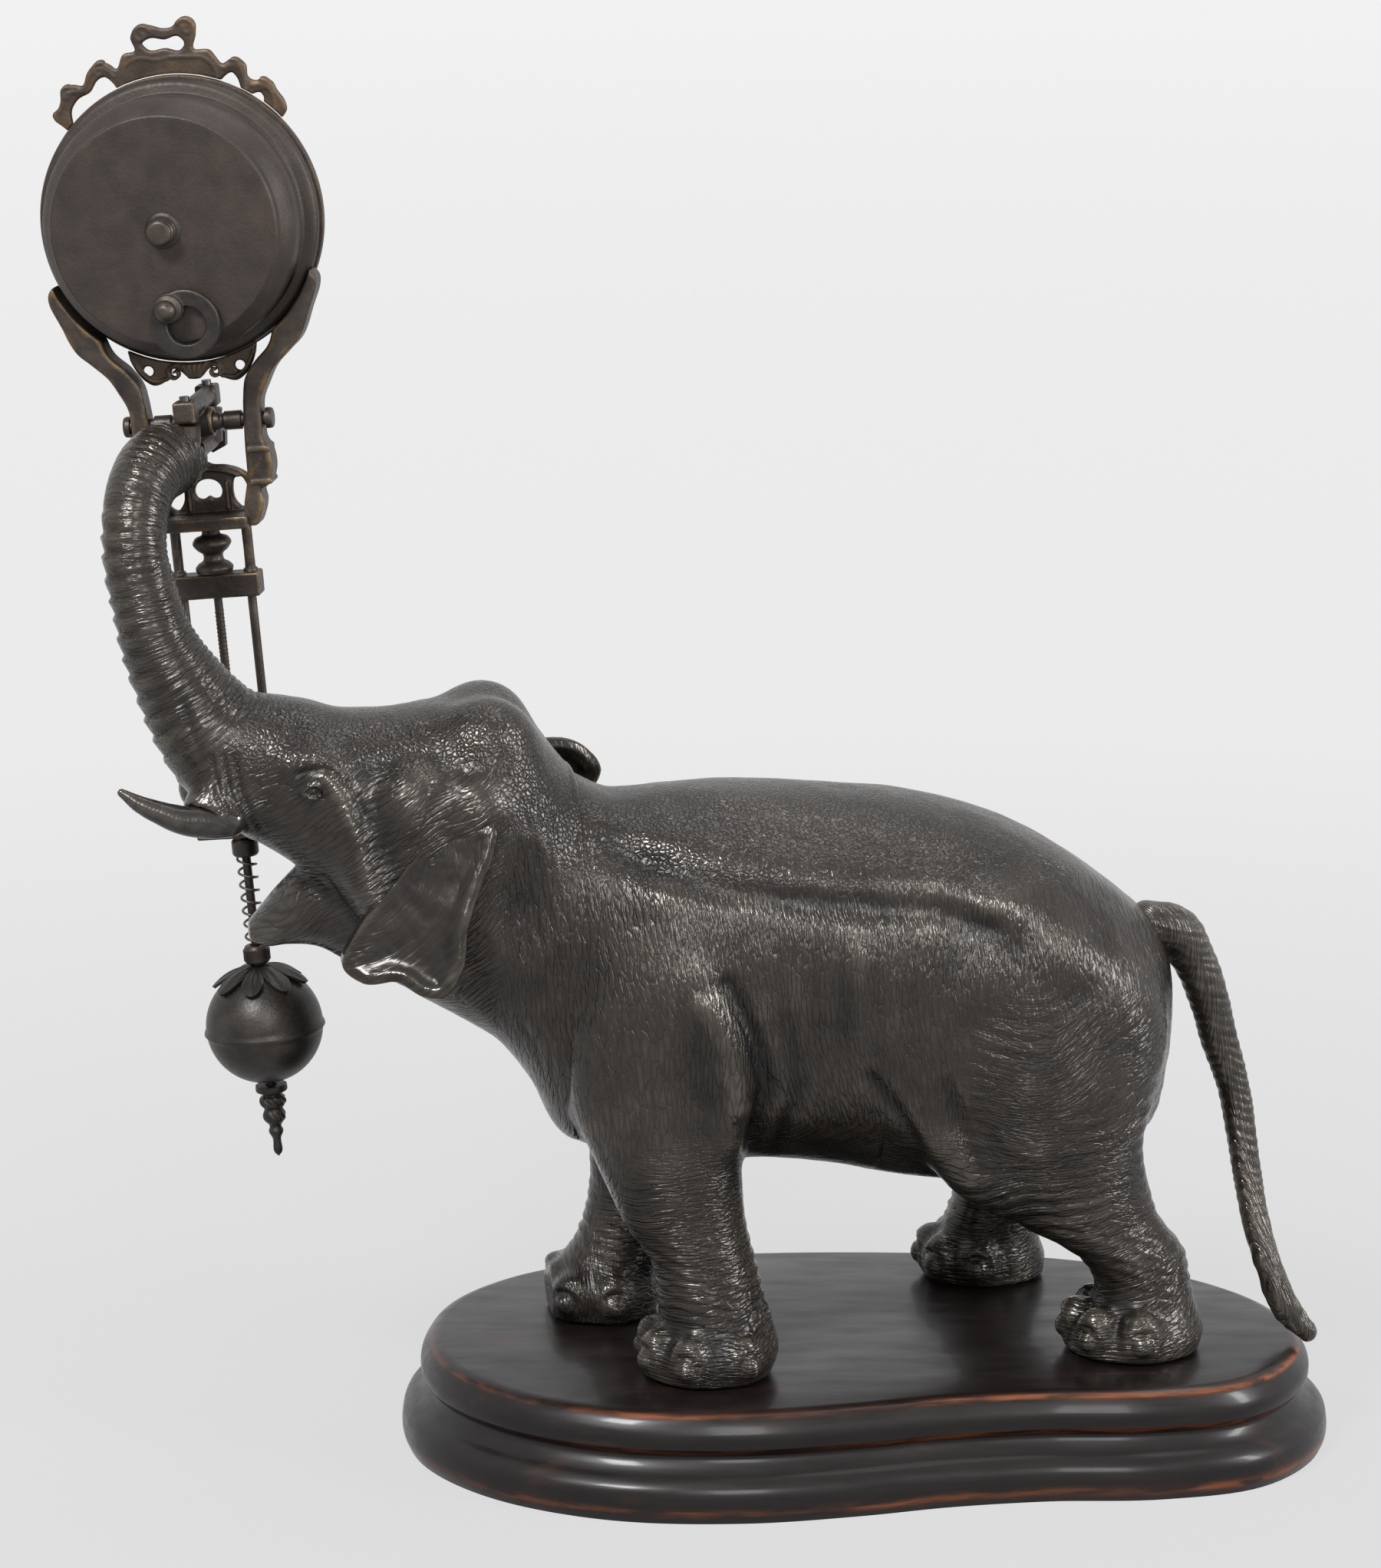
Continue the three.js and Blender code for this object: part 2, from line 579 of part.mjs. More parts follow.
// Elephant stations
const SOLE_Z = PLINTH_HEIGHT + SEAT_GAP;
const BODY_STATIONS = [
  [NECK_SEAM, 141, 69, 22.5], [-40, 136.3, 60.5, 27.5], [-28, 136.8, 58.5, 30.5],
  [-12, 136.6, 60, 31.5], [4, 135.2, 58.5, 33], [20, 133.7, 55, 34],
  [34, 130, 53.8, 33.5], [46, 124.8, 55, 31.5], [56, 118.5, 57.5, 28],
  [65, 111.5, 60, 22.5], [71, 105.5, 66, 15.5], [74, 100, 76, 8],
];
const LEG_STATIONS = {
  near_front: [
    [SOLE_Z, -23, -21, 12.9, 12.6], [25, -22.3, -21, 13.9, 13.4], [31, -21, -21, 11.6, 11.4],
    [38, -22.3, -20.6, 10.7, 10.6], [43, -23.2, -20.4, 10.3, 10.2], [52, -27, -20, 12, 10.6],
    [65, -30.4, -19.6, 14.5, 11.8], [77, -33, -19, 17, 12.8], [90, -33, -18.4, 17, 12.4],
    [106, -31, -17, 14, 10], [120, -29, -13, 8, 6],
  ],
  far_front: [
    [SOLE_Z, -39.3, 20, 11.8, 11.4], [25, -39.3, 20, 12.4, 11.8], [30, -38.8, 20, 10.8, 10.4],
    [36, -35.5, 20, 9.2, 9.2], [43, -33, 20, 9.2, 9.2], [53, -31.5, 19.6, 9.8, 9.8],
    [65, -31, 19, 12, 11], [80, -31, 18.4, 15, 12], [96, -31, 17.6, 15, 11],
    [112, -30, 14, 9, 7],
  ],
  near_hind: [
    [SOLE_Z, 64.5, -18.5, 13.4, 12.4], [25, 65, -18.5, 14, 13], [31.5, 66.8, -18, 10.2, 10.4],
    [36, 66.2, -17.8, 9.8, 9.8], [41.5, 63.4, -17.6, 11.4, 10], [48, 55.5, -17.6, 14.5, 10.4],
    [55, 50.5, -17.8, 17, 11.4], [62, 47, -18, 19, 12.6], [73, 46.5, -18, 20.6, 14],
    [86, 48, -17.6, 21, 13.4], [99, 48, -16, 16, 10.6], [110, 47, -13, 10, 7],
  ],
  far_hind: [
    [SOLE_Z, 43.7, 32, 12.6, 10.4], [25, 43.7, 32, 13.2, 11], [31, 44.5, 31.6, 10.4, 9.8],
    [37, 46, 31, 9.8, 9.4], [44, 48.5, 30, 10.4, 9.6], [53, 50, 27.6, 12.4, 10.6],
    [63, 50.5, 25, 15.4, 12], [76, 50, 21.6, 18, 13.2], [90, 50, 18.8, 18, 12.4],
    [104, 50, 15, 12, 9],
  ],
};
const HEAD_STATIONS = [
  [NECK_SEAM - SEAT_GAP, 141.5, 69.5, 22.3], [-54, 149.5, 77, 23.4], [-62, 156, 86, 24.6],
  [-72, 155.6, 92.5, 24], [-82, 154, 98.5, 22.6], [-91, 154, 108, 20], [-100, 155, 121, 16.8],
  [-108, 156, 127.5, 14], [-114, 155.5, 131, 11.8],
];
const JAW_STATIONS = [
  [-82, 131, 98.5, 15.5], [-91, 128.5, 102.5, 12.5], [-98, 125.5, 106.8, 10.4],
  [-104, 120.5, 107.4, 8.4], [-109, 114.8, 107, 5.8], [-111.8, 112, 108.4, 3.2],
];
const TRUNK_STATIONS = [
  [-104, 0, 143.5, 13.5], [-114, 0, 146.5, 12.4], [-119.6, 0, 152.8, 10.6],
  [-123.8, 0, 159.6, 8.9], [-126.4, 0, 164.4, 8], [-128.3, 0, 169, 7.3],
  [-130.6, 0, 178, 6.7], [-132.2, 0.2, 186, 6.3], [-131.9, 2.6, 193, 6.3, 6.4],
  [-130.3, 6.6, 198.4, 6.3, 7], [-127.8, 11.2, 201.2, 6, 7.8], [-124.9, 15.8, 202, 5.6, 8],
  [-122.4, 19.6, 201.4, 5.2, 7.4],
];
const TRUNK_JOINT = 3;
const TUSK_STATIONS = [
  [-115.4, -10.6, 135, 3.3], [-119, -11.4, 135, 3.3], [-124, -12.4, 135.6, 2.9],
  [-129.6, -13.2, 137.8, 2.2], [-133.4, -13.7, 139.8, 1.6], [-136.4, -14, 142, 0.8],
];
const TAIL_STATIONS = [
  [70.5, 0, 104, 5.4], [75.5, 0, 103.2, 5.2], [79.8, -0.4, 97.2, 4.5],
  [82.8, -1.2, 89.6, 4.1], [85, -2, 81, 3.8], [87.9, -3.5, 71.4, 3.3],
  [89.3, -5.5, 62, 3.1], [90.2, -8.5, 53.2, 2.9], [91.3, -12, 44.4, 2.8],
  [93.4, -16, 35.7, 2.8], [96.6, -18.6, 27.6, 2.9], [100.6, -20, 22.9, 2],
];
const NEAR_EAR_OUTLINE = [
  [-94.6, 107.2], [-91, 104.8], [-84, 105.2], [-80, 102.9], [-76, 102.5], [-71.9, 108],
  [-70.6, 116], [-67.8, 124], [-65, 130.4], [-64.6, 134.6], [-69, 134.6], [-77, 127],
  [-84, 118], [-89, 111.5],
];
const FAR_EAR_OUTLINE = [
  [-91, 107], [-86, 103.6], [-78, 101.4], [-70, 102], [-60, 108.6], [-50, 117.6],
  [-41, 127.6], [-37.8, 134], [-42.7, 140.2], [-52, 141.4], [-66, 136.6], [-76, 127.6],
  [-84, 117.6],
];
const EAR_THICKNESS = 2.2;
const EAR_ROOT_Y = 22.6;
const NEAR_EAR_FLARE = 0.42;
const FAR_EAR_FLARE = 0.2;
const EAR_ROOT_LINE = [[-94.6, 107.2], [-69, 134.6]];

function distancePastRoot(x, z) {
  // How far a point of the ear lies behind the line along which it grows
  const [[x0, z0], [x1, z1]] = EAR_ROOT_LINE;
  const length = Math.hypot(x1 - x0, z1 - z0);
  return Math.max(((x - x0) * (z1 - z0) - (z - z0) * (x1 - x0)) / length, 0);
}

function ear(outline, side, flare) {
  const geometry = plateXZ(outline, -EAR_THICKNESS / 2, EAR_THICKNESS / 2);
  const position = geometry.getAttribute('position');
  for (let k = 0; k < position.count; k += 1) {
    const out = EAR_ROOT_Y + flare * distancePastRoot(position.getX(k), position.getZ(k));
    position.setY(k, side * out + position.getY(k));
  }
  return geometry;
}

function buildPlinth() {
  const outline = smoothOutline(PLINTH_TOP_OUTLINE, PLINTH_OUTLINE_STEPS);
  const beadFoot = PLINTH_HEIGHT - 1.6 - UPPER_BEAD_HEIGHT;
  const torusMiddle = LOWER_TORUS_HEIGHT * 0.42;
  const profile = [
    [LOWER_TORUS_OUT - 0.6, 0], [LOWER_TORUS_OUT, torusMiddle],
    [LOWER_TORUS_OUT - 1.6, LOWER_TORUS_HEIGHT * 0.72], [COVE_OUT + 0.8, LOWER_TORUS_HEIGHT],
    [COVE_OUT, beadFoot - 0.2], [UPPER_BEAD_OUT - 0.5, beadFoot + 1],
    [UPPER_BEAD_OUT, beadFoot + UPPER_BEAD_HEIGHT * 0.45],
    [UPPER_BEAD_OUT - 1.1, beadFoot + UPPER_BEAD_HEIGHT * 0.85],
    [1.2, beadFoot + UPPER_BEAD_HEIGHT], [0, PLINTH_HEIGHT],
  ];
  const rings = profile.map(([out, z]) => offsetOutline(outline, out)
    .map(([x, y]) => new THREE.Vector3(x, y, z)));
  const holes = footPlaces().flatMap(([x, y]) => [
    rodZ(STUD_RADIUS + SEAT_GAP, -1, PLINTH_HEIGHT + 1, [x, y]),
    rodZ(NUT_POCKET_RADIUS, -1, NUT_POCKET_DEPTH, [x, y], 16),
  ]);
  addMesh(model, 'plinth', cut(join(loft(rings)), ...holes), 'wood');
}

function footPlaces() {
  // Where each foot stands on the plinth, in the model's own frame
  const turn = THREE.MathUtils.degToRad(ELEPHANT_TURN);
  return Object.values(LEG_STATIONS).map(([[, x, y]]) => [
    ELEPHANT_AT[0] + x * Math.cos(turn) - y * Math.sin(turn),
    ELEPHANT_AT[1] + x * Math.sin(turn) + y * Math.cos(turn),
  ]);
}

function buildFootBolts() {
  const names = Object.keys(LEG_STATIONS);
  const washerZ = NUT_POCKET_DEPTH - SEAT_GAP - WASHER_HEIGHT;
  footPlaces().forEach(([x, y], k) => addMesh(model, `${names[k]}_bolt`, join(
    rodZ(
      STUD_RADIUS, washerZ - NUT_HEIGHT - STUD_PAST_NUT, PLINTH_HEIGHT + STUD_IN_FOOT, [x, y], 8,
    ),
    rodZ(NUT_FLATS / Math.sqrt(3), washerZ - NUT_HEIGHT, washerZ, [x, y], 6),
    rodZ(WASHER_RADIUS, washerZ, washerZ + WASHER_HEIGHT, [x, y], 12),
  ), 'steel'));
}

function elephantLocal(x, y) {
  const turn = THREE.MathUtils.degToRad(ELEPHANT_TURN);
  const dx = x - ELEPHANT_AT[0];
  const dy = y - ELEPHANT_AT[1];
  return [
    dx * Math.cos(turn) + dy * Math.sin(turn),
    dy * Math.cos(turn) - dx * Math.sin(turn),
  ];
}

function buildElephant() {
  const legs = Object.values(LEG_STATIONS).map((stations) => limbLoft(stations, 12));
  const torso = bodyLoft(BODY_STATIONS, 20, BODY_SQUARENESS);
  const cavityStations = BODY_STATIONS.slice(0, -2).map((row) => [...row]);
  cavityStations[0][0] -= 1;
  const cavity = bodyLoft(cavityStations, 12, BODY_SQUARENESS, SKIN_WALL);
  const studHoles = footPlaces().map(([x, y]) => rodZ(
    STUD_RADIUS + RUN_GAP, SOLE_Z - 1, PLINTH_HEIGHT + STUD_IN_FOOT + SEAT_GAP,
    elephantLocal(x, y),
  ));
  const tailHole = taperTube(TAIL_STATIONS.map(
    ([x, y, z, radius]) => [x, y, z, radius + SEAT_GAP],
  ).slice(0, 5), 8);
  const ahead = block(
    [-CUT_PAST, NECK_SEAM], [-CUT_PAST, CUT_PAST], [NECK_CUT_FOOT_Z, CUT_PAST],
  );
  addMesh(elephant, 'body_casting', cut(
    cut(join(torso), cavity).add(join(...legs)), ahead, tailHole, ...studHoles,
  ), 'bronze');
  addMesh(elephant, 'tail', taperTube(TAIL_STATIONS, 8), 'bronze');

  const wholeTrunk = join(taperTube(TRUNK_STATIONS, 14));
  const head = join(
    bodyLoft(HEAD_STATIONS, 20, BODY_SQUARENESS),
    bodyLoft(JAW_STATIONS, 14, 2),
    taperTube([[-113.4, 9.4, 136, 4.4], [-118.6, 10.4, 135.4, 4.2]], 12),
    taperTube([[-113.4, -9.4, 136, 4.9], [-119.6, -10.6, 135.2, 4.3]], 12),
  ).add(cut(wholeTrunk, pastTrunkJoint(0)));
  const headCavity = bodyLoft([
    [NECK_SEAM + 1, 141.5, 69.5, 22.3], ...HEAD_STATIONS.slice(1, 6),
  ], 12, BODY_SQUARENESS, SKIN_WALL);
  const tuskHole = taperTube(TUSK_STATIONS.slice(0, 4).map(
    ([x, y, z, radius]) => [x, y, z, radius + SEAT_GAP],
  ), 12);
  const emptySocket = taperTube([[-114, 10, 135.9, 2.6], [-120, 11.4, 135.4, 2.6]], 12);
  addMesh(elephant, 'head_casting', cut(head, headCavity, tuskHole, emptySocket), 'bronze');
  const raisedTrunk = wholeTrunk.intersect(toSolid(pastTrunkJoint(SEAT_GAP)));
  addMesh(elephant, 'trunk_casting', mainBody(cut(raisedTrunk, ...bracketRoom())), 'bronze');
  addMesh(elephant, 'tusk', taperTube(TUSK_STATIONS, 10), 'bronze');
  const nearEar = ear(NEAR_EAR_OUTLINE, -1, NEAR_EAR_FLARE);
  const farEar = ear(FAR_EAR_OUTLINE, 1, FAR_EAR_FLARE);
  const headAgain = grownHead();
  addMesh(elephant, 'near_ear', join(nearEar).subtract(headAgain), 'bronze');
  addMesh(elephant, 'far_ear', join(farEar).subtract(headAgain), 'bronze');
}

function grownHead() {
  // The head's outer form with the seat gap added, to trim what is soldered on it
  return join(bodyLoft(HEAD_STATIONS, 24, BODY_SQUARENESS, -SEAT_GAP)).add(
    join(bodyLoft(JAW_STATIONS, 16, 2, -SEAT_GAP)),
  ).add(join(bodyLoft(BODY_STATIONS, 24, BODY_SQUARENESS, -SEAT_GAP)));
}

function pastTrunkJoint(offset) {
  // All the room on the tip's side of the trunk's joint, from offset past it
  const [before, here, after] = TRUNK_STATIONS.slice(TRUNK_JOINT - 1, TRUNK_JOINT + 2)
    .map(([x, y, z]) => new THREE.Vector3(x, y, z));
  const along = after.sub(before).normalize();
  const room = block([-CUT_PAST, CUT_PAST], [-CUT_PAST, CUT_PAST], [offset, CUT_PAST]);
  room.applyQuaternion(new THREE.Quaternion().setFromUnitVectors(UP, along));
  room.translate(here.x, here.y, here.z);
  return room;
}

// The bracket stands with the swinging clock's turn but without its lean
const swingFixed = new THREE.Group();
swingFixed.position.set(...SWING_AT);
swingFixed.rotation.z = THREE.MathUtils.degToRad(SWING_TURN);
model.add(swingFixed);

const NEAR_POINT_Y = -POINT_SPACING / 2;
const FAR_POINT_Y = POINT_SPACING / 2;
const BRACKET_ARM_Z = BRACKET_ARM_TOP - BRACKET_ARM_RADIUS;
const BRACKET_SOCKET_Z = BRACKET_ARM_Z - 4;
const BAR_SWING_ROOM = 1;

function bracketRoom() {
  // The socket in the trunk's tip for the bracket's post and arm
  const room = [
    rodZ(CUP_RADIUS + SEAT_GAP, BRACKET_SOCKET_Z - SEAT_GAP, CUT_PAST, [0, NEAR_POINT_Y], 14),
    rodY(BRACKET_ARM_RADIUS + SEAT_GAP, NEAR_POINT_Y, FAR_POINT_Y, [0, BRACKET_ARM_Z], 14),
    rodY(
      PIVOT_END_RADIUS + BAR_SWING_ROOM, -PIVOT_BAR_END - BAR_SWING_ROOM, 0,
      [0, PIVOT_BAR_Z], 14,
    ),
  ];
  swingFixed.updateMatrixWorld(true);
  elephant.updateMatrixWorld(true);
  const move = elephant.matrixWorld.clone().invert().multiply(swingFixed.matrixWorld);
  room.forEach((geometry) => geometry.applyMatrix4(move));
  return room;
}

function buildBracket() {
  const post = (y, bottom) => rodZ(CUP_RADIUS, bottom, CUP_TOP_Z, [0, y], 14);
  const cup = (y) => turnedZ([
    [0, -0.4], [1.7, CUP_TOP_Z], [1.7, CUP_TOP_Z + 1], [0, CUP_TOP_Z + 1],
  ], 14, [0, y]);
  const armEnd = FAR_POINT_Y + CUP_RADIUS + 0.4;
  const bracket = join(
    rodY(BRACKET_NUT_RADIUS, armEnd - 0.1, armEnd + BRACKET_NUT_LENGTH, [0, BRACKET_ARM_Z], 6),
    post(NEAR_POINT_Y, BRACKET_SOCKET_Z),
    rodY(BRACKET_ARM_RADIUS, NEAR_POINT_Y, armEnd, [0, BRACKET_ARM_Z], 14),
    post(FAR_POINT_Y, BRACKET_ARM_Z),
  );
  addMesh(swingFixed, 'trunk_bracket', cut(bracket, cup(NEAR_POINT_Y), cup(FAR_POINT_Y)), 'brown');
}

// Everything below is built in the swinging clock's own frame
const DRUM = [0, DRUM_CENTRE_Z];

function drumAt([x, z]) {
  return [x, z + DRUM_CENTRE_Z];
}

function buildDrum() {
  const inner = CAN_RADIUS - CAN_WALL;
  const canFront = DIAL_AT - SEAT_GAP;
  const can = turnedY([
    [0, CAN_BACK], [CAN_RADIUS - CAN_BACK_ROUND, CAN_BACK], [CAN_RADIUS - 0.8, CAN_BACK + 1],
    [CAN_RADIUS, CAN_BACK + CAN_BACK_ROUND], [CAN_RADIUS, CAN_BAND_BACK],
    [CAN_FLANGE_RADIUS - 1, CAN_BAND_BACK + 0.4], [CAN_FLANGE_RADIUS, CAN_BAND_BACK + 1.8],
    [CAN_FLANGE_RADIUS - 0.6, BEZEL_BACK - SEAT_GAP], [CAN_RADIUS, BEZEL_BACK - SEAT_GAP],
    [CAN_RADIUS, canFront], [inner, canFront], [inner, CAN_BACK + CAN_BACK_ROUND],
    [CAN_RADIUS - CAN_BACK_ROUND, CAN_BACK + CAN_WALL], [0, CAN_BACK + CAN_WALL],
  ], DRUM_STEPS, DRUM);
  const knobBoss = rodY(KNOB_RADIUS + 0.9, CAN_BACK - 0.5, CAN_BACK + 0.4, DRUM, 20);
  addMesh(swing, 'drum_can', cut(
    join(can, knobBoss),
    rodY(CENTRE_ARBOR_RADIUS + SEAT_GAP, CAN_BACK - 2, CAN_BACK + 2, DRUM),
    rodY(WIND_ARBOR_RADIUS + SEAT_GAP, CAN_BACK - 2, CAN_BACK + 2, drumAt([0, -WIND_ARBOR_DROP])),
  ), 'case');
  const lipBack = GLASS_RIM_AT + GLASS_THICKNESS + SEAT_GAP;
  addMesh(swing, 'bezel', turnedY([
    [BEZEL_SEAT, BEZEL_BACK], [BEZEL_RADIUS, BEZEL_BACK], [BEZEL_RADIUS, BEZEL_BACK + 2.8],
    [BEZEL_RADIUS - 1.2, BEZEL_FRONT - 1.6], [BEZEL_RADIUS - 2.8, BEZEL_FRONT],
    [GLASS_RADIUS - BEZEL_LIP, BEZEL_FRONT], [GLASS_RADIUS - BEZEL_LIP, lipBack],
    [BEZEL_SEAT, lipBack], [BEZEL_SEAT, BEZEL_BACK],
  ], DRUM_STEPS, DRUM), 'brass');
  const glassFront = GLASS_RIM_AT + GLASS_THICKNESS;
  addMesh(swing, 'glass', turnedY([
    [0, GLASS_RIM_AT + GLASS_DOME], [GLASS_RADIUS / 2, GLASS_RIM_AT + GLASS_DOME * 0.75],
    [GLASS_RADIUS, GLASS_RIM_AT], [GLASS_RADIUS, glassFront],
    [GLASS_RADIUS / 2, glassFront + GLASS_DOME * 0.75], [0, glassFront + GLASS_DOME],
  ], 24, DRUM), 'glass');
  const dial = rodY(DIAL_RADIUS, DIAL_AT, DIAL_AT + DIAL_THICKNESS, DRUM, 30);
  addMesh(swing, 'dial', cut(
    join(dial), rodY(HOUR_PIPE_RADIUS + SEAT_GAP, DIAL_AT - 1, DIAL_AT + 2, DRUM),
  ), 'dial');
}

function buildMovementFrame(arbors) {
  const back = BACK_PLATE_AT + PLATE_THICKNESS;
  const pillars = PILLAR_ANGLES.map((degrees) => {
    const angle = THREE.MathUtils.degToRad(degrees);
    return rodY(
      PILLAR_RADIUS, BACK_PLATE_AT + WELD, FRONT_PLATE_AT - SEAT_GAP,
      drumAt([PILLAR_CIRCLE * Math.cos(angle), PILLAR_CIRCLE * Math.sin(angle)]), 8,
    );
  });
  const frontHoles = arbors.map(({ at, radius }) => rodY(
    radius + RUN_GAP, FRONT_PLATE_AT - 1, FRONT_PLATE_AT + 2, drumAt(at), 12,
  ));
  const backHoles = arbors.map(({ at, radius }) => rodY(
    radius + RUN_GAP, BACK_PLATE_AT - 1, back + 1, drumAt(at), 12,
  ));
  const clickPin = rodY(
    CLICK_PIN_RADIUS, RATCHET_Y - WELD, BACK_PLATE_AT + WELD, drumAt(CLICK_AT), 10,
  );
  addMesh(swing, 'back_plate', cut(
    join(rodY(PLATE_RADIUS, BACK_PLATE_AT, back, DRUM, 28), ...pillars), ...backHoles,
  ).add(join(clickPin)), 'brass');
  const frontRadius = CAN_RADIUS - CAN_WALL - SEAT_GAP;
  const stud = rodY(
    ARBOR_RADIUS, FRONT_PLATE_AT + WELD, HOUR_WHEEL_AT + WHEEL_THICKNESS, drumAt(MINUTE_WHEEL_AT),
  );
  addMesh(swing, 'front_plate', cut(
    join(rodY(frontRadius, FRONT_PLATE_AT, FRONT_PLATE_AT + PLATE_THICKNESS, DRUM, 28)),
    ...frontHoles,
  ).add(join(stud)), 'brass');
}

function gear(teeth, module_, phase, at, y0, y1) {
  return plateXZ(shifted(gearOutline(teeth, module_, phase), drumAt(at)), y0, y1);
}

// Where the arbors stand, from the drum's centre, and the planes of their wheels
const WIND_AT = [0, -WIND_ARBOR_DROP];
const GREAT_REACH = ((GREAT_TEETH + SECOND_PINION_LEAVES) * GREAT_MODULE) / 2;
const SECOND_REACH = ((SECOND_TEETH + CENTRE_PINION_LEAVES) * SECOND_MODULE) / 2;
const CENTRE_REACH = ((CENTRE_TEETH + THIRD_PINION_LEAVES) * CENTRE_MODULE) / 2;
const THIRD_REACH = ((THIRD_TEETH + ESCAPE_PINION_LEAVES) * THIRD_MODULE) / 2;
const CENTRE_AT = [0, 0];
const ESCAPE_AT = [ANCHOR_AT[0], ANCHOR_AT[1] - ESCAPE_BELOW_ANCHOR];
const SECOND_AT = crossing(CENTRE_AT, SECOND_REACH, WIND_AT, GREAT_REACH, -1);
const THIRD_AT = crossing(CENTRE_AT, CENTRE_REACH, ESCAPE_AT, THIRD_REACH, 1);
const MINUTE_WHEEL_AT = [-MOTION_CENTRES * Math.SQRT1_2, -MOTION_CENTRES * Math.SQRT1_2];
const GREAT_WHEEL_AT = -8.2;
const SECOND_WHEEL_AT = -2;
const CENTRE_WHEEL_AT = -6.2;
const THIRD_WHEEL_AT = -4.4;
const ESCAPE_WHEEL_AT = -2;
const MINUTE_WHEEL_PLANE = 2.2;
const HOUR_WHEEL_AT = 3.7;
const HOUR_HAND_AT = 7.2;
const MINUTE_HAND_AT = 8.1;
const HAND_THICKNESS = 0.35;
const PINION_EXTRA = 0.25;
const ARBOR_FRONT = FRONT_PLATE_AT + PLATE_THICKNESS - PIVOT_SHORT;

function wheelAndPinion(name, at, radius, wheel, pinion) {
  const arbor = rodY(
    radius, BACK_PLATE_AT + PIVOT_SHORT, ARBOR_FRONT, drumAt(at), 10,
  );
  addMesh(swing, name, join(
    arbor,
    gear(wheel.teeth, wheel.module, wheel.phase, at, wheel.y, wheel.y + WHEEL_THICKNESS),
    gear(
      pinion.teeth, pinion.module, pinion.phase, at,
      pinion.y - PINION_EXTRA, pinion.y + WHEEL_THICKNESS + PINION_EXTRA,
    ),
  ), 'brass');
}

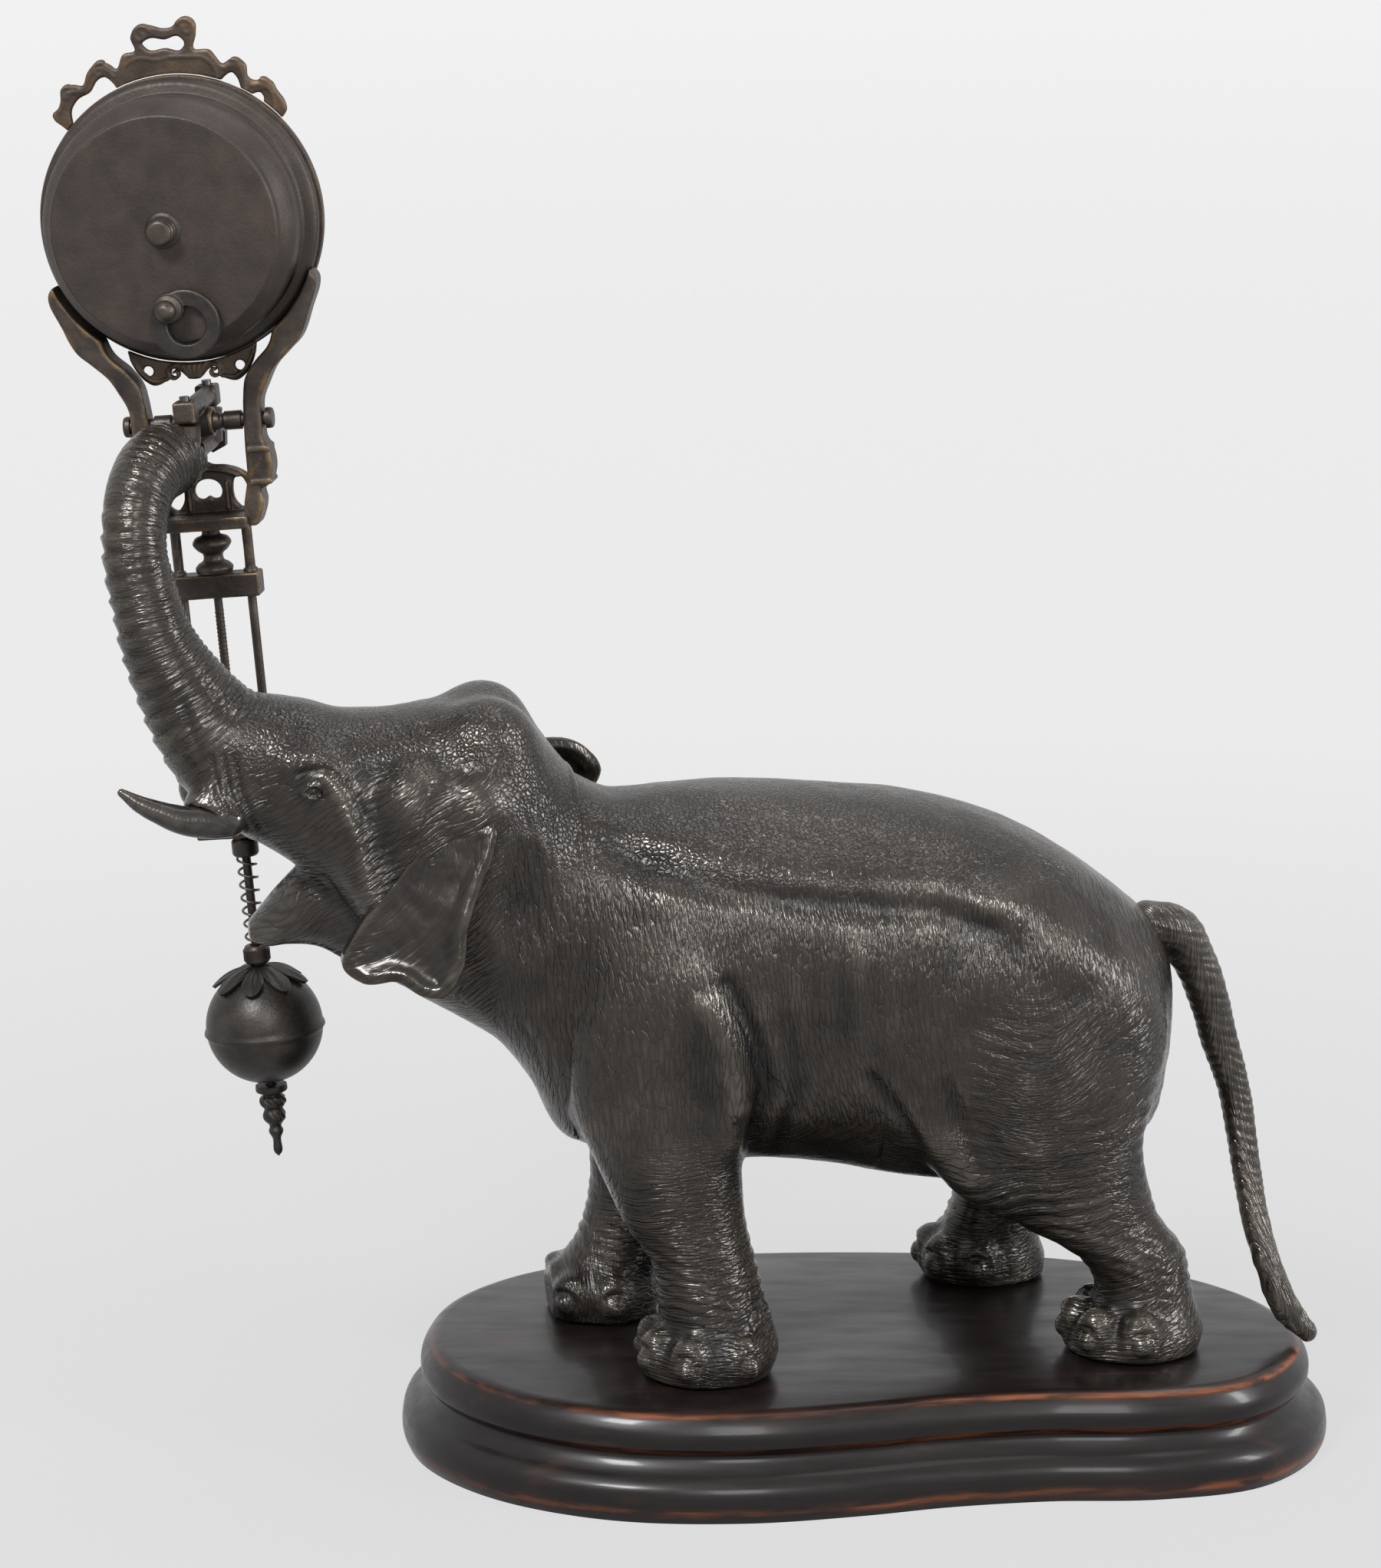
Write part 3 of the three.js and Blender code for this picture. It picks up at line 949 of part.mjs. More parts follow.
function buildTrain() {
  const greatPhase = 0;
  const secondPinion = meshPhase(
    WIND_AT, SECOND_AT, GREAT_TEETH, greatPhase, SECOND_PINION_LEAVES,
  );
  const secondPhase = 0;
  const centrePinion = meshPhase(
    SECOND_AT, CENTRE_AT, SECOND_TEETH, secondPhase, CENTRE_PINION_LEAVES,
  );
  const centrePhase = 0;
  const thirdPinion = meshPhase(
    CENTRE_AT, THIRD_AT, CENTRE_TEETH, centrePhase, THIRD_PINION_LEAVES,
  );
  const thirdPhase = 0;
  const escapePinion = meshPhase(
    THIRD_AT, ESCAPE_AT, THIRD_TEETH, thirdPhase, ESCAPE_PINION_LEAVES,
  );
  const barrelTop = GREAT_WHEEL_AT + WHEEL_THICKNESS + BARREL_HEIGHT;
  const barrelFoot = GREAT_WHEEL_AT + WHEEL_THICKNESS - BARREL_WALL;
  const barrelBore = WIND_ARBOR_RADIUS + RUN_GAP;
  const barrelInside = BARREL_RADIUS - BARREL_WALL;
  const barrel = turnedY([
    [barrelBore, barrelFoot], [BARREL_RADIUS, barrelFoot], [BARREL_RADIUS, barrelTop],
    [barrelBore, barrelTop], [barrelBore, barrelTop - BARREL_WALL],
    [barrelInside, barrelTop - BARREL_WALL], [barrelInside, GREAT_WHEEL_AT + WHEEL_THICKNESS],
    [barrelBore, GREAT_WHEEL_AT + WHEEL_THICKNESS], [barrelBore, barrelFoot],
  ], 20, drumAt(WIND_AT));
  const great = gear(
    GREAT_TEETH, GREAT_MODULE, greatPhase, WIND_AT, GREAT_WHEEL_AT,
    GREAT_WHEEL_AT + WHEEL_THICKNESS,
  );
  const arborHole = rodY(barrelBore, -CUT_PAST, CUT_PAST, drumAt(WIND_AT), 14);
  addMesh(swing, 'barrel', cut(join(great, barrel), arborHole), 'brass');
  buildMainspring(barrelTop);

  wheelAndPinion('second_wheel', SECOND_AT, ARBOR_RADIUS, {
    teeth: SECOND_TEETH, module: SECOND_MODULE, phase: secondPhase, y: SECOND_WHEEL_AT,
  }, {
    teeth: SECOND_PINION_LEAVES, module: GREAT_MODULE, phase: secondPinion, y: GREAT_WHEEL_AT,
  });
  wheelAndPinion('third_wheel', THIRD_AT, ARBOR_RADIUS, {
    teeth: THIRD_TEETH, module: THIRD_MODULE, phase: thirdPhase, y: THIRD_WHEEL_AT,
  }, {
    teeth: THIRD_PINION_LEAVES, module: CENTRE_MODULE, phase: thirdPinion, y: CENTRE_WHEEL_AT,
  });
  const knobFoot = CAN_BACK - 0.5 - SEAT_GAP;
  addMesh(swing, 'centre_arbor', join(
    rodY(CENTRE_ARBOR_RADIUS, knobFoot - KNOB_LENGTH + 0.7, MINUTE_HAND_AT + 0.7, DRUM, 12),
    gear(
      CENTRE_TEETH, CENTRE_MODULE, centrePhase, CENTRE_AT, CENTRE_WHEEL_AT,
      CENTRE_WHEEL_AT + WHEEL_THICKNESS,
    ),
    gear(
      CENTRE_PINION_LEAVES, SECOND_MODULE, centrePinion, CENTRE_AT,
      SECOND_WHEEL_AT - PINION_EXTRA, SECOND_WHEEL_AT + WHEEL_THICKNESS + PINION_EXTRA,
    ),
  ), 'steel');
  const knobEnd = knobFoot - KNOB_LENGTH;
  const arborSeat = CENTRE_ARBOR_RADIUS + RUN_GAP;
  const knob = turnedY([
    [0, knobEnd], [KNOB_RADIUS - 0.7, knobEnd], [KNOB_RADIUS - 0.2, knobEnd + 0.4],
    [KNOB_RADIUS - 0.5, knobFoot - 2], [KNOB_RADIUS, knobFoot - 1.6], [KNOB_RADIUS, knobFoot],
    [arborSeat, knobFoot], [arborSeat, knobEnd + 0.4], [0, knobEnd + 0.4],
  ], 16, DRUM);
  addMesh(swing, 'hand_set_knob', knob, 'brown');

  const escapePoints = [];
  for (let k = 0; k < ESCAPE_TEETH; k += 1) {
    const angle = Math.PI / 2 + (k / ESCAPE_TEETH) * 2 * Math.PI;
    const pitch = (2 * Math.PI) / ESCAPE_TEETH;
    escapePoints.push([ESCAPE_RADIUS * Math.cos(angle), ESCAPE_RADIUS * Math.sin(angle)]);
    const root = ESCAPE_RADIUS - 0.8;
    escapePoints.push([
      root * Math.cos(angle + pitch * 0.45), root * Math.sin(angle + pitch * 0.45),
    ]);
  }
  addMesh(swing, 'escape_wheel', join(
    rodY(
      ARBOR_RADIUS, BACK_PLATE_AT + PIVOT_SHORT, ARBOR_FRONT, drumAt(ESCAPE_AT), 10,
    ),
    plateXZ(
      shifted(escapePoints, drumAt(ESCAPE_AT)), ESCAPE_WHEEL_AT, ESCAPE_WHEEL_AT + 0.6,
    ),
    gear(
      ESCAPE_PINION_LEAVES, THIRD_MODULE, escapePinion, ESCAPE_AT,
      THIRD_WHEEL_AT - PINION_EXTRA, THIRD_WHEEL_AT + WHEEL_THICKNESS + PINION_EXTRA,
    ),
  ), 'brass');
}

function buildMainspring(barrelTop) {
  // A flat strip wound between the arbor and the barrel's wall
  const steps = 50;
  const inner = WIND_ARBOR_RADIUS + RUN_GAP + BARREL_WALL;
  const outer = BARREL_RADIUS - 2 * BARREL_WALL;
  const side = (offset) => Array.from({ length: steps + 1 }, (_, k) => {
    const share = k / steps;
    const radius = inner + (outer - inner) * share + offset;
    const angle = share * MAINSPRING_TURNS * 2 * Math.PI;
    return [radius * Math.cos(angle), radius * Math.sin(angle)];
  });
  const outline = [...side(0), ...side(MAINSPRING_THICKNESS).reverse()];
  addMesh(swing, 'mainspring', plateXZ(
    shifted(outline, drumAt(WIND_AT)), GREAT_WHEEL_AT + WHEEL_THICKNESS + SEAT_GAP,
    barrelTop - BARREL_WALL - SEAT_GAP,
  ), 'steel');
}

function buildEscapement() {
  const half = [
    [0, 1.4], [1.2, 0.7], [4.3, -1.5], [4, -2.3], [2.96, -2.72], [2.6, -2.1], [0.9, -0.9],
  ];
  const outline = [...half, ...half.slice(1).reverse().map(([x, z]) => [-x, z])];
  const rodPlane = BACK_PLATE_AT - 1.2;
  const discAt = [ANCHOR_AT[0], ANCHOR_AT[1] - SHORT_PENDULUM_LENGTH];
  const [x, z] = drumAt(ANCHOR_AT);
  addMesh(swing, 'anchor', join(
    plateXZ(
      shifted(outline, drumAt(ANCHOR_AT)), ESCAPE_WHEEL_AT - 0.1, ESCAPE_WHEEL_AT + 0.7,
    ),
    rodY(ARBOR_RADIUS, rodPlane, ARBOR_FRONT, [x, z], 10),
    rodY(1.3, rodPlane, rodPlane + 0.6, [x, z], 12),
    block([x - 0.3, x + 0.3], [rodPlane, rodPlane + 0.6], [z - SHORT_PENDULUM_LENGTH, z - 1]),
    rodY(SHORT_PENDULUM_DISC, rodPlane - 0.3, rodPlane + 0.8, drumAt(discAt), 18),
  ), 'steel');
}

function buildWinding() {
  const at = drumAt(WIND_AT);
  const teeth = [];
  for (let k = 0; k < RATCHET_TEETH; k += 1) {
    const angle = (k / RATCHET_TEETH) * 2 * Math.PI;
    const next = ((k + 0.85) / RATCHET_TEETH) * 2 * Math.PI;
    const root = RATCHET_RADIUS - 0.7;
    teeth.push([RATCHET_RADIUS * Math.cos(angle), RATCHET_RADIUS * Math.sin(angle)]);
    teeth.push([root * Math.cos(next), root * Math.sin(next)]);
  }
  const ringFront = CAN_BACK - 0.8;
  const ringBack = ringFront - RING_THICKNESS;
  addMesh(swing, 'winding_arbor', join(
    rodY(WIND_ARBOR_RADIUS, ringBack - 1, ARBOR_FRONT, at, 14),
    plateXZ(shifted(teeth, at), RATCHET_Y, RATCHET_Y + 0.7),
  ), 'steel');
  const centre = [at[0] + RING_OFFSET[0], at[1] + RING_OFFSET[1]];
  const hole = [centre[0] + 0.5, centre[1] - 0.6];
  const ring = join(
    rodY(RING_OUTER, ringBack, ringFront, centre, 24),
  );
  const withHole = cut(ring, rodY(RING_HOLE, ringBack - 1, ringFront + 1, hole, 18));
  const boss = rodY(RING_BOSS, ringBack, ringFront, at, 14);
  addMesh(swing, 'winding_ring', cut(
    withHole.add(join(boss)), rodY(WIND_ARBOR_RADIUS + RUN_GAP, ringBack - 1, ringFront + 1, at, 14),
  ), 'brown');
  const nutFoot = ringBack - SEAT_GAP;
  const ball = BALL_NUT_RADIUS;
  const nutBore = WIND_ARBOR_RADIUS + RUN_GAP;
  addMesh(swing, 'ball_nut', turnedY([
    [0, nutFoot - 4.6], [ball - 0.5, nutFoot - 3.8], [ball, nutFoot - 2.4],
    [ball - 0.6, nutFoot - 1.4], [ball + 0.6, nutFoot - 1], [ball + 0.6, nutFoot],
    [nutBore, nutFoot], [nutBore, nutFoot - 1.1], [0, nutFoot - 1.1],
  ], 14, at), 'brown');
  const click = [
    [-7.4, -15.2], [-6.9, -16.5], [-5.7, -16.3], [-5, -15], [-4.1, -13.9], [-3.76, -13.62],
    [-4.6, -13.3], [-6.4, -14.3],
  ];
  addMesh(swing, 'click', cut(
    join(plateXZ(shifted(click, DRUM), RATCHET_Y, RATCHET_Y + 0.7)),
    rodY(CLICK_PIN_RADIUS + RUN_GAP, RATCHET_Y - 1, RATCHET_Y + 2, drumAt(CLICK_AT), 10),
  ), 'steel');
}

function addHand(name, length, boss, hole, width, y, turn) {
  // A spade hand: a round boss, a slim shank and a leaf-shaped end
  const blade = plateXZ([
    [-width, 0], [width, 0], [width * 0.7, length * 0.55], [width * 2, length * 0.72],
    [0, length], [-width * 2, length * 0.72], [-width * 0.7, length * 0.55],
  ], y, y + HAND_THICKNESS);
  blade.rotateY(THREE.MathUtils.degToRad(turn));
  blade.translate(0, 0, DRUM_CENTRE_Z);
  addMesh(swing, name, cut(
    join(blade, rodY(boss, y, y + HAND_THICKNESS, DRUM, 20)), rodY(hole, y - 1, y + 1.5, DRUM, 18),
  ), 'steel');
}

function buildMotionWork() {
  const cannonModule = (2 * MOTION_CENTRES) / (CANNON_TEETH + MINUTE_TEETH);
  const hourModule = (2 * MOTION_CENTRES) / (MINUTE_PINION_TEETH + HOUR_TEETH);
  const minutePhase = meshPhase(CENTRE_AT, MINUTE_WHEEL_AT, CANNON_TEETH, 0, MINUTE_TEETH);
  const hourPhase = meshPhase(
    MINUTE_WHEEL_AT, CENTRE_AT, MINUTE_PINION_TEETH, 0, HOUR_TEETH,
  );
  const bore = rodY(CENTRE_ARBOR_RADIUS + RUN_GAP, -CUT_PAST, CUT_PAST, DRUM, 12);
  addMesh(swing, 'cannon_pinion', cut(join(
    gear(CANNON_TEETH, cannonModule, 0, CENTRE_AT, 2, 3.3),
    rodY(CANNON_RADIUS, 2, MINUTE_HAND_AT + HAND_THICKNESS, DRUM, 14),
  ), bore), 'steel');
  addMesh(swing, 'minute_wheel', cut(join(
    gear(
      MINUTE_TEETH, cannonModule, minutePhase, MINUTE_WHEEL_AT, MINUTE_WHEEL_PLANE,
      MINUTE_WHEEL_PLANE + WHEEL_THICKNESS,
    ),
    gear(
      MINUTE_PINION_TEETH, hourModule, 0, MINUTE_WHEEL_AT,
      MINUTE_WHEEL_PLANE + WHEEL_THICKNESS - 0.1, HOUR_WHEEL_AT + WHEEL_THICKNESS,
    ),
  ), rodY(ARBOR_RADIUS + RUN_GAP, -CUT_PAST, CUT_PAST, drumAt(MINUTE_WHEEL_AT), 10)), 'brass');
  const pipeBore = rodY(CANNON_RADIUS + RUN_GAP, -CUT_PAST, CUT_PAST, DRUM, 14);
  addMesh(swing, 'hour_wheel', cut(join(
    gear(
      HOUR_TEETH, hourModule, hourPhase, CENTRE_AT, HOUR_WHEEL_AT,
      HOUR_WHEEL_AT + WHEEL_THICKNESS,
    ),
    rodY(HOUR_PIPE_RADIUS, HOUR_WHEEL_AT, HOUR_HAND_AT + HAND_THICKNESS, DRUM, 18),
  ), pipeBore), 'brass');
  addHand(
    'hour_hand', HOUR_HAND_LENGTH, HOUR_PIPE_RADIUS + 1.1, HOUR_PIPE_RADIUS + RUN_GAP, 0.8,
    HOUR_HAND_AT, HOUR_HAND_TURN,
  );
  addHand(
    'minute_hand', MINUTE_HAND_LENGTH, CANNON_RADIUS + 1.1, CANNON_RADIUS + RUN_GAP, 0.6,
    MINUTE_HAND_AT, MINUTE_HAND_TURN,
  );
}

function buildCrestAndOrnament() {
  const bezelTop = [0, DRUM_CENTRE_Z + BEZEL_RADIUS];
  const crestRoom = rodY(BEZEL_RADIUS + SEAT_GAP, -CUT_PAST, CUT_PAST, DRUM, DRUM_STEPS);
  const crest = join(plateXZ(
    shifted(CREST_OUTLINE, bezelTop), CREST_AT - CREST_HALF_DEPTH, CREST_AT + CREST_HALF_DEPTH,
  ));
  const gaps = CREST_GAPS.map((gap) => plateXZ(
    shifted(gap, bezelTop), CREST_AT - 2 * CREST_HALF_DEPTH, CREST_AT + 2 * CREST_HALF_DEPTH,
  ));
  addMesh(swing, 'crest', cut(crest, crestRoom, ...gaps), 'brown');
  const ornament = join(plateXZ(
    [...mirrored(ORNAMENT_HALF_OUTLINE.slice(1)).reverse(), ...ORNAMENT_HALF_OUTLINE],
    ORNAMENT_AT - ORNAMENT_HALF_DEPTH, ORNAMENT_AT + ORNAMENT_HALF_DEPTH,
  ));
  const holes = [-1, 1].map((side) => rodY(
    ORNAMENT_HOLE_RADIUS, ORNAMENT_AT - 2 * ORNAMENT_HALF_DEPTH,
    ORNAMENT_AT + 2 * ORNAMENT_HALF_DEPTH,
    [side * ORNAMENT_HOLE_AT, ORNAMENT_HOLE_Z],
  ));
  const ornamentRoom = rodY(
    CAN_FLANGE_RADIUS + SEAT_GAP, -CUT_PAST, CUT_PAST, DRUM, DRUM_STEPS,
  );
  addMesh(swing, 'lower_ornament', cut(ornament, ornamentRoom, ...holes), 'brown');
}

function buildYoke() {
  const drumRoom = rodY(
    CAN_FLANGE_RADIUS + SEAT_GAP, -CUT_PAST, CUT_PAST, DRUM, DRUM_STEPS,
  );
  const shaftAt = [0, CROSS_SHAFT_Z];
  const shaftHole = rodX(CROSS_SHAFT_RADIUS + SEAT_GAP, -CUT_PAST, CUT_PAST, shaftAt);
  const right = plateXZ(ARM_OUTLINE, -ARM_HALF_DEPTH, ARM_HALF_DEPTH);
  const left = plateXZ(mirrored(ARM_OUTLINE), -ARM_HALF_DEPTH, ARM_HALF_DEPTH);
  addMesh(swing, 'right_arm', cut(join(right), drumRoom, shaftHole), 'brown');
  addMesh(swing, 'left_arm', cut(join(left), drumRoom, shaftHole), 'brown');
  const headAt = CROSS_SHAFT_END - SHAFT_HEAD_LENGTH;
  const innerEnd = FIRST_BAR.half;
  addMesh(swing, 'cross_shaft', join(
    rodX(CROSS_SHAFT_RADIUS, -headAt - WELD, headAt + WELD, shaftAt),
    rodX(SHAFT_COLLAR_RADIUS, -innerEnd, innerEnd, shaftAt),
    rodX(SHAFT_HEAD_RADIUS, headAt, CROSS_SHAFT_END, shaftAt),
    rodX(SHAFT_HEAD_RADIUS, -CROSS_SHAFT_END, -headAt, shaftAt),
  ), 'brown');
  const barAt = [0, PIVOT_BAR_Z];
  const barStart = PIVOT_BAR_END - PIVOT_END_LENGTH;
  const pivotBar = join(
    rodY(PIVOT_BAR_RADIUS, -PIVOT_BAR_END, PIVOT_BAR_END, barAt, 14),
    rodY(PIVOT_END_RADIUS, -PIVOT_BAR_END, -barStart, barAt, 16),
    rodY(PIVOT_END_RADIUS, barStart, PIVOT_BAR_END, barAt, 16),
    rodX(HUB_RADIUS, -HUB_HALF_LENGTH, HUB_HALF_LENGTH, shaftAt, 20),
  );
  const pointHole = (y) => rodZ(POINT_RADIUS + SEAT_GAP, 0, POINT_TOP_Z + 2, [0, y]);
  addMesh(swing, 'pivot_bar', cut(
    pivotBar, rodX(SHAFT_COLLAR_RADIUS + SEAT_GAP, -CUT_PAST, CUT_PAST, shaftAt),
    pointHole(NEAR_POINT_Y), pointHole(FAR_POINT_Y),
  ), 'brown');
  [['near_point', NEAR_POINT_Y], ['far_point', FAR_POINT_Y]].forEach(([name, y]) => {
    addMesh(swing, name, turnedZ([
      [0, 0], [POINT_RADIUS, POINT_RADIUS * 1.2], [POINT_RADIUS, POINT_TOP_Z], [0, POINT_TOP_Z],
    ], 12, [0, y]), 'steel');
  });
}

function bar({ z, half, y }) {
  return block([-half, half], y, z);
}

function vase(below, above, beads) {
  // A turned piece on the stem, between the bar below it and the bar above it
  const foot = below + SEAT_GAP;
  const height = above - SEAT_GAP - foot;
  const outside = beads.map(([radius, share]) => [radius, foot + share * height]);
  return turnedZ([
    [BORE_RADIUS, foot], ...outside, [BORE_RADIUS, foot + height], [BORE_RADIUS, foot],
  ], 16);
}

function buildRodFrame() {
  const gallery = plateXZ(GALLERY_OUTLINE, ...GALLERY_Y);
  const galleryHoles = [GALLERY_ARCH, GALLERY_SIDE, mirrored(GALLERY_SIDE)].map(
    (hole) => plateXZ(hole, GALLERY_Y[0] - 1, GALLERY_Y[1] + 1),
  );
  const stemHole = () => rodZ(BORE_RADIUS, -CUT_PAST, 0, [0, 0], 14);
  const stemTop = FIRST_BAR.z[0] + STEM_IN_BAR;
  addMesh(swing, 'gallery_bar', cut(
    cut(join(gallery), ...galleryHoles).add(join(bar(FIRST_BAR))),
    rodZ(BORE_RADIUS, FIRST_BAR.z[0] - 1, stemTop + SEAT_GAP, [0, 0], 14),
  ), 'brown');
  addMesh(swing, 'upper_vase', vase(SECOND_BAR.z[1], FIRST_BAR.z[0], VASE_BEADS), 'brown');
  const postTop = FIRST_BAR.z[0] - SEAT_GAP;
  const post = (x) => rodZ(SHORT_ROD_RADIUS, SECOND_BAR.z[1] - 0.4, postTop, [x, 0]);
  const rodTop = SECOND_BAR.z[0] + ROD_IN_BAR;
  const rodFoot = FOURTH_BAR.z[0] + SEAT_GAP;
  const rodHoles = [-LONG_ROD_AT, LONG_ROD_AT].map((x) => rodZ(
    ROD_RADIUS + SEAT_GAP, -CUT_PAST, rodTop + SEAT_GAP, [x, 0],
  ));
  addMesh(swing, 'second_bar', cut(
    join(bar(SECOND_BAR), post(-SHORT_ROD_AT), post(SHORT_ROD_AT)), stemHole(),
    ...rodHoles,
  ), 'brown');
  addMesh(swing, 'third_bar', cut(
    join(bar(THIRD_BAR)), stemHole(), ...rodHoles,
  ), 'brown');
  addMesh(swing, 'lower_vase', vase(FOURTH_BAR.z[1], THIRD_BAR.z[0], LOWER_VASE_BEADS), 'brown');
  addMesh(swing, 'fourth_bar', cut(
    join(bar(FOURTH_BAR)), stemHole(), ...rodHoles,
  ), 'brown');
  addMesh(swing, 'left_rod', rodZ(ROD_RADIUS, rodFoot, rodTop, [-LONG_ROD_AT, 0]), 'brown');
  addMesh(swing, 'right_rod', rodZ(ROD_RADIUS, rodFoot, rodTop, [LONG_ROD_AT, 0]), 'brown');
  addMesh(swing, 'stem', join(
    rodZ(STEM_RADIUS, STEM_END_Z, stemTop, [0, 0], 14),
    rodZ(COLLAR_RADIUS, COLLAR_FOOT_Z, COLLAR_TOP_Z, [0, 0], 20),
  ), 'brown');
}

function tubeAlong(points, radius, sides) {
  // A closed round tube through the points, its rings held square to their line and
  // turned against the stem's axis
  const axis = new THREE.Vector3(0, 0, 1);
  return loft(points.map((place, k) => {
    const before = points[Math.max(k - 1, 0)];
    const after = points[Math.min(k + 1, points.length - 1)];
    const along = after.clone().sub(before).normalize();
    const out = new THREE.Vector3().crossVectors(along, axis).normalize();
    const up = new THREE.Vector3().crossVectors(out, along).normalize();
    return oval(place, out, up, radius, radius, sides);
  }));
}

function springPoints() {
  const [foot, top] = [
    SPRING_FOOT_Z + SPRING_WIRE_RADIUS, SPRING_TOP_Z - SPRING_WIRE_RADIUS,
  ];
  const steps = Math.round(SPRING_CURLS * SPRING_STEPS_PER_CURL);
  const turned = Array.from({ length: steps + 1 }, (_, k) => {
    const angle = (k / SPRING_STEPS_PER_CURL) * 2 * Math.PI;
    return new THREE.Vector3(
      SPRING_COIL_RADIUS * Math.cos(angle), SPRING_COIL_RADIUS * Math.sin(angle),
      foot + ((top - foot) * k) / steps,
    );
  });
  // Both ends run on straight for one wire's thickness
  const straight = (from, to) => to.clone().add(
    to.clone().sub(from).setLength(2 * SPRING_WIRE_RADIUS),
  );
  return [
    straight(turned[1], turned[0]), ...turned,
    straight(turned[steps - 1], turned[steps]),
  ];
}

function leastSelfGap(points, radius, apart) {
  // The least clear distance between two stretches of a tube more than apart points away
  let least = Infinity;
  const fine = points.slice(0, -1).flatMap((p, k) => [0, 0.25, 0.5, 0.75].map(
    (share) => p.clone().lerp(points[k + 1], share),
  ));
  fine.forEach((p, i) => fine.slice(i + apart * 4).forEach((q) => {
    least = Math.min(least, p.distanceTo(q) - 2 * radius);
  }));
  return least;
}

function leafCap() {
  // A thin cap whose lower edge is cut into pointed leaves
  const around = LEAVES * 4;
  const steps = [0, 0.5, 1];
  const ring = (radius, share) => Array.from({ length: around }, (_, k) => {
    const azimuth = (k / around) * 2 * Math.PI;
    const leaf = Math.abs(Math.cos((azimuth * LEAVES) / 2));
    const reach = THREE.MathUtils.degToRad(LEAF_NOTCH + (LEAF_TIP - LEAF_NOTCH) * leaf);
    const start = Math.asin(STEM_RADIUS / radius) * 1.6;
    const polar = start + (reach - start) * share;
    return new THREE.Vector3(
      radius * Math.sin(polar) * Math.cos(azimuth), radius * Math.sin(polar) * Math.sin(azimuth),
      BALL_CENTRE_Z + radius * Math.cos(polar),
    );
  });
  const inner = BALL_RADIUS + SEAT_GAP;
  return loft([
    ...steps.map((share) => ring(inner + LEAF_THICKNESS, share)),
    ...steps.toReversed().map((share) => ring(inner, share)),
  ]);
}

function buildBob() {
  const points = springPoints();
  const gap = leastSelfGap(points, SPRING_WIRE_RADIUS, SPRING_STEPS_PER_CURL / 2);
  console.log(`least gap between the spring's own curls: ${gap.toFixed(2)} mm`);
  addMesh(swing, 'spring', tubeAlong(points, SPRING_WIRE_RADIUS, 5), 'steel');
  const [ringFoot, ringTop] = [RING_NUT_FOOT_Z, RING_NUT_TOP_Z];
  addMesh(swing, 'ring_nut', turnedZ([
    [BORE_RADIUS, ringFoot], [RING_NUT_RADIUS - 0.5, ringFoot], [RING_NUT_RADIUS, ringFoot + 0.6],
    [RING_NUT_RADIUS, ringTop - 0.8], [RING_NUT_RADIUS - 0.6, ringTop], [BORE_RADIUS, ringTop],
    [BORE_RADIUS, ringFoot],
  ], 16), 'brown');
  const bore = rodZ(BORE_RADIUS, FINIAL_TIP_Z, RING_NUT_TOP_Z, [0, 0], 14);
  addMesh(swing, 'leaf_cap', cut(join(leafCap()), bore), 'brown');
  const ballProfile = [[0, BALL_CENTRE_Z - BALL_RADIUS]];
  const ballSteps = 10;
  for (let k = 1; k < ballSteps; k += 1) {
    const polar = Math.PI - (k / ballSteps) * Math.PI;
    ballProfile.push([
      BALL_RADIUS * Math.sin(polar), BALL_CENTRE_Z + BALL_RADIUS * Math.cos(polar),
    ]);
  }
  ballProfile.push([0, BALL_CENTRE_Z + BALL_RADIUS]);
  const beltZ = BALL_CENTRE_Z - BELT_BELOW_CENTRE;
  const beltInside = BALL_RADIUS - 2;
  const belt = turnedZ([
    [beltInside, beltZ - BELT_HALF_HEIGHT], [BALL_RADIUS, beltZ - BELT_HALF_HEIGHT],
    [BALL_RADIUS + BELT_OUT, beltZ], [BALL_RADIUS, beltZ + BELT_HALF_HEIGHT],
    [beltInside, beltZ + BELT_HALF_HEIGHT], [beltInside, beltZ - BELT_HALF_HEIGHT],
  ], 24);
  addMesh(swing, 'ball', cut(join(turnedZ(ballProfile, 24), belt), bore), 'brown');
  addMesh(swing, 'rating_nut', turnedZ([
    ...FINIAL_BEADS.map(([radius, share]) => [radius, FINIAL_TIP_Z + share * FINIAL_LENGTH]),
    [BORE_RADIUS, FINIAL_TOP_Z], [BORE_RADIUS, NUT_BORE_END_Z], [0, NUT_BORE_END_Z],
  ], 14), 'brown');
}

buildPlinth();
buildFootBolts();
buildElephant();
buildBracket();
buildDrum();
buildMovementFrame([
  { at: [0, -WIND_ARBOR_DROP], radius: WIND_ARBOR_RADIUS },
  { at: CENTRE_AT, radius: CENTRE_ARBOR_RADIUS },
  { at: SECOND_AT, radius: ARBOR_RADIUS },
  { at: THIRD_AT, radius: ARBOR_RADIUS },
  { at: ESCAPE_AT, radius: ARBOR_RADIUS },
  { at: ANCHOR_AT, radius: ARBOR_RADIUS },
]);
buildTrain();
buildEscapement();
buildWinding();
buildMotionWork();
buildCrestAndOrnament();
buildYoke();
buildRodFrame();
buildBob();

export default model;
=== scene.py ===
import math

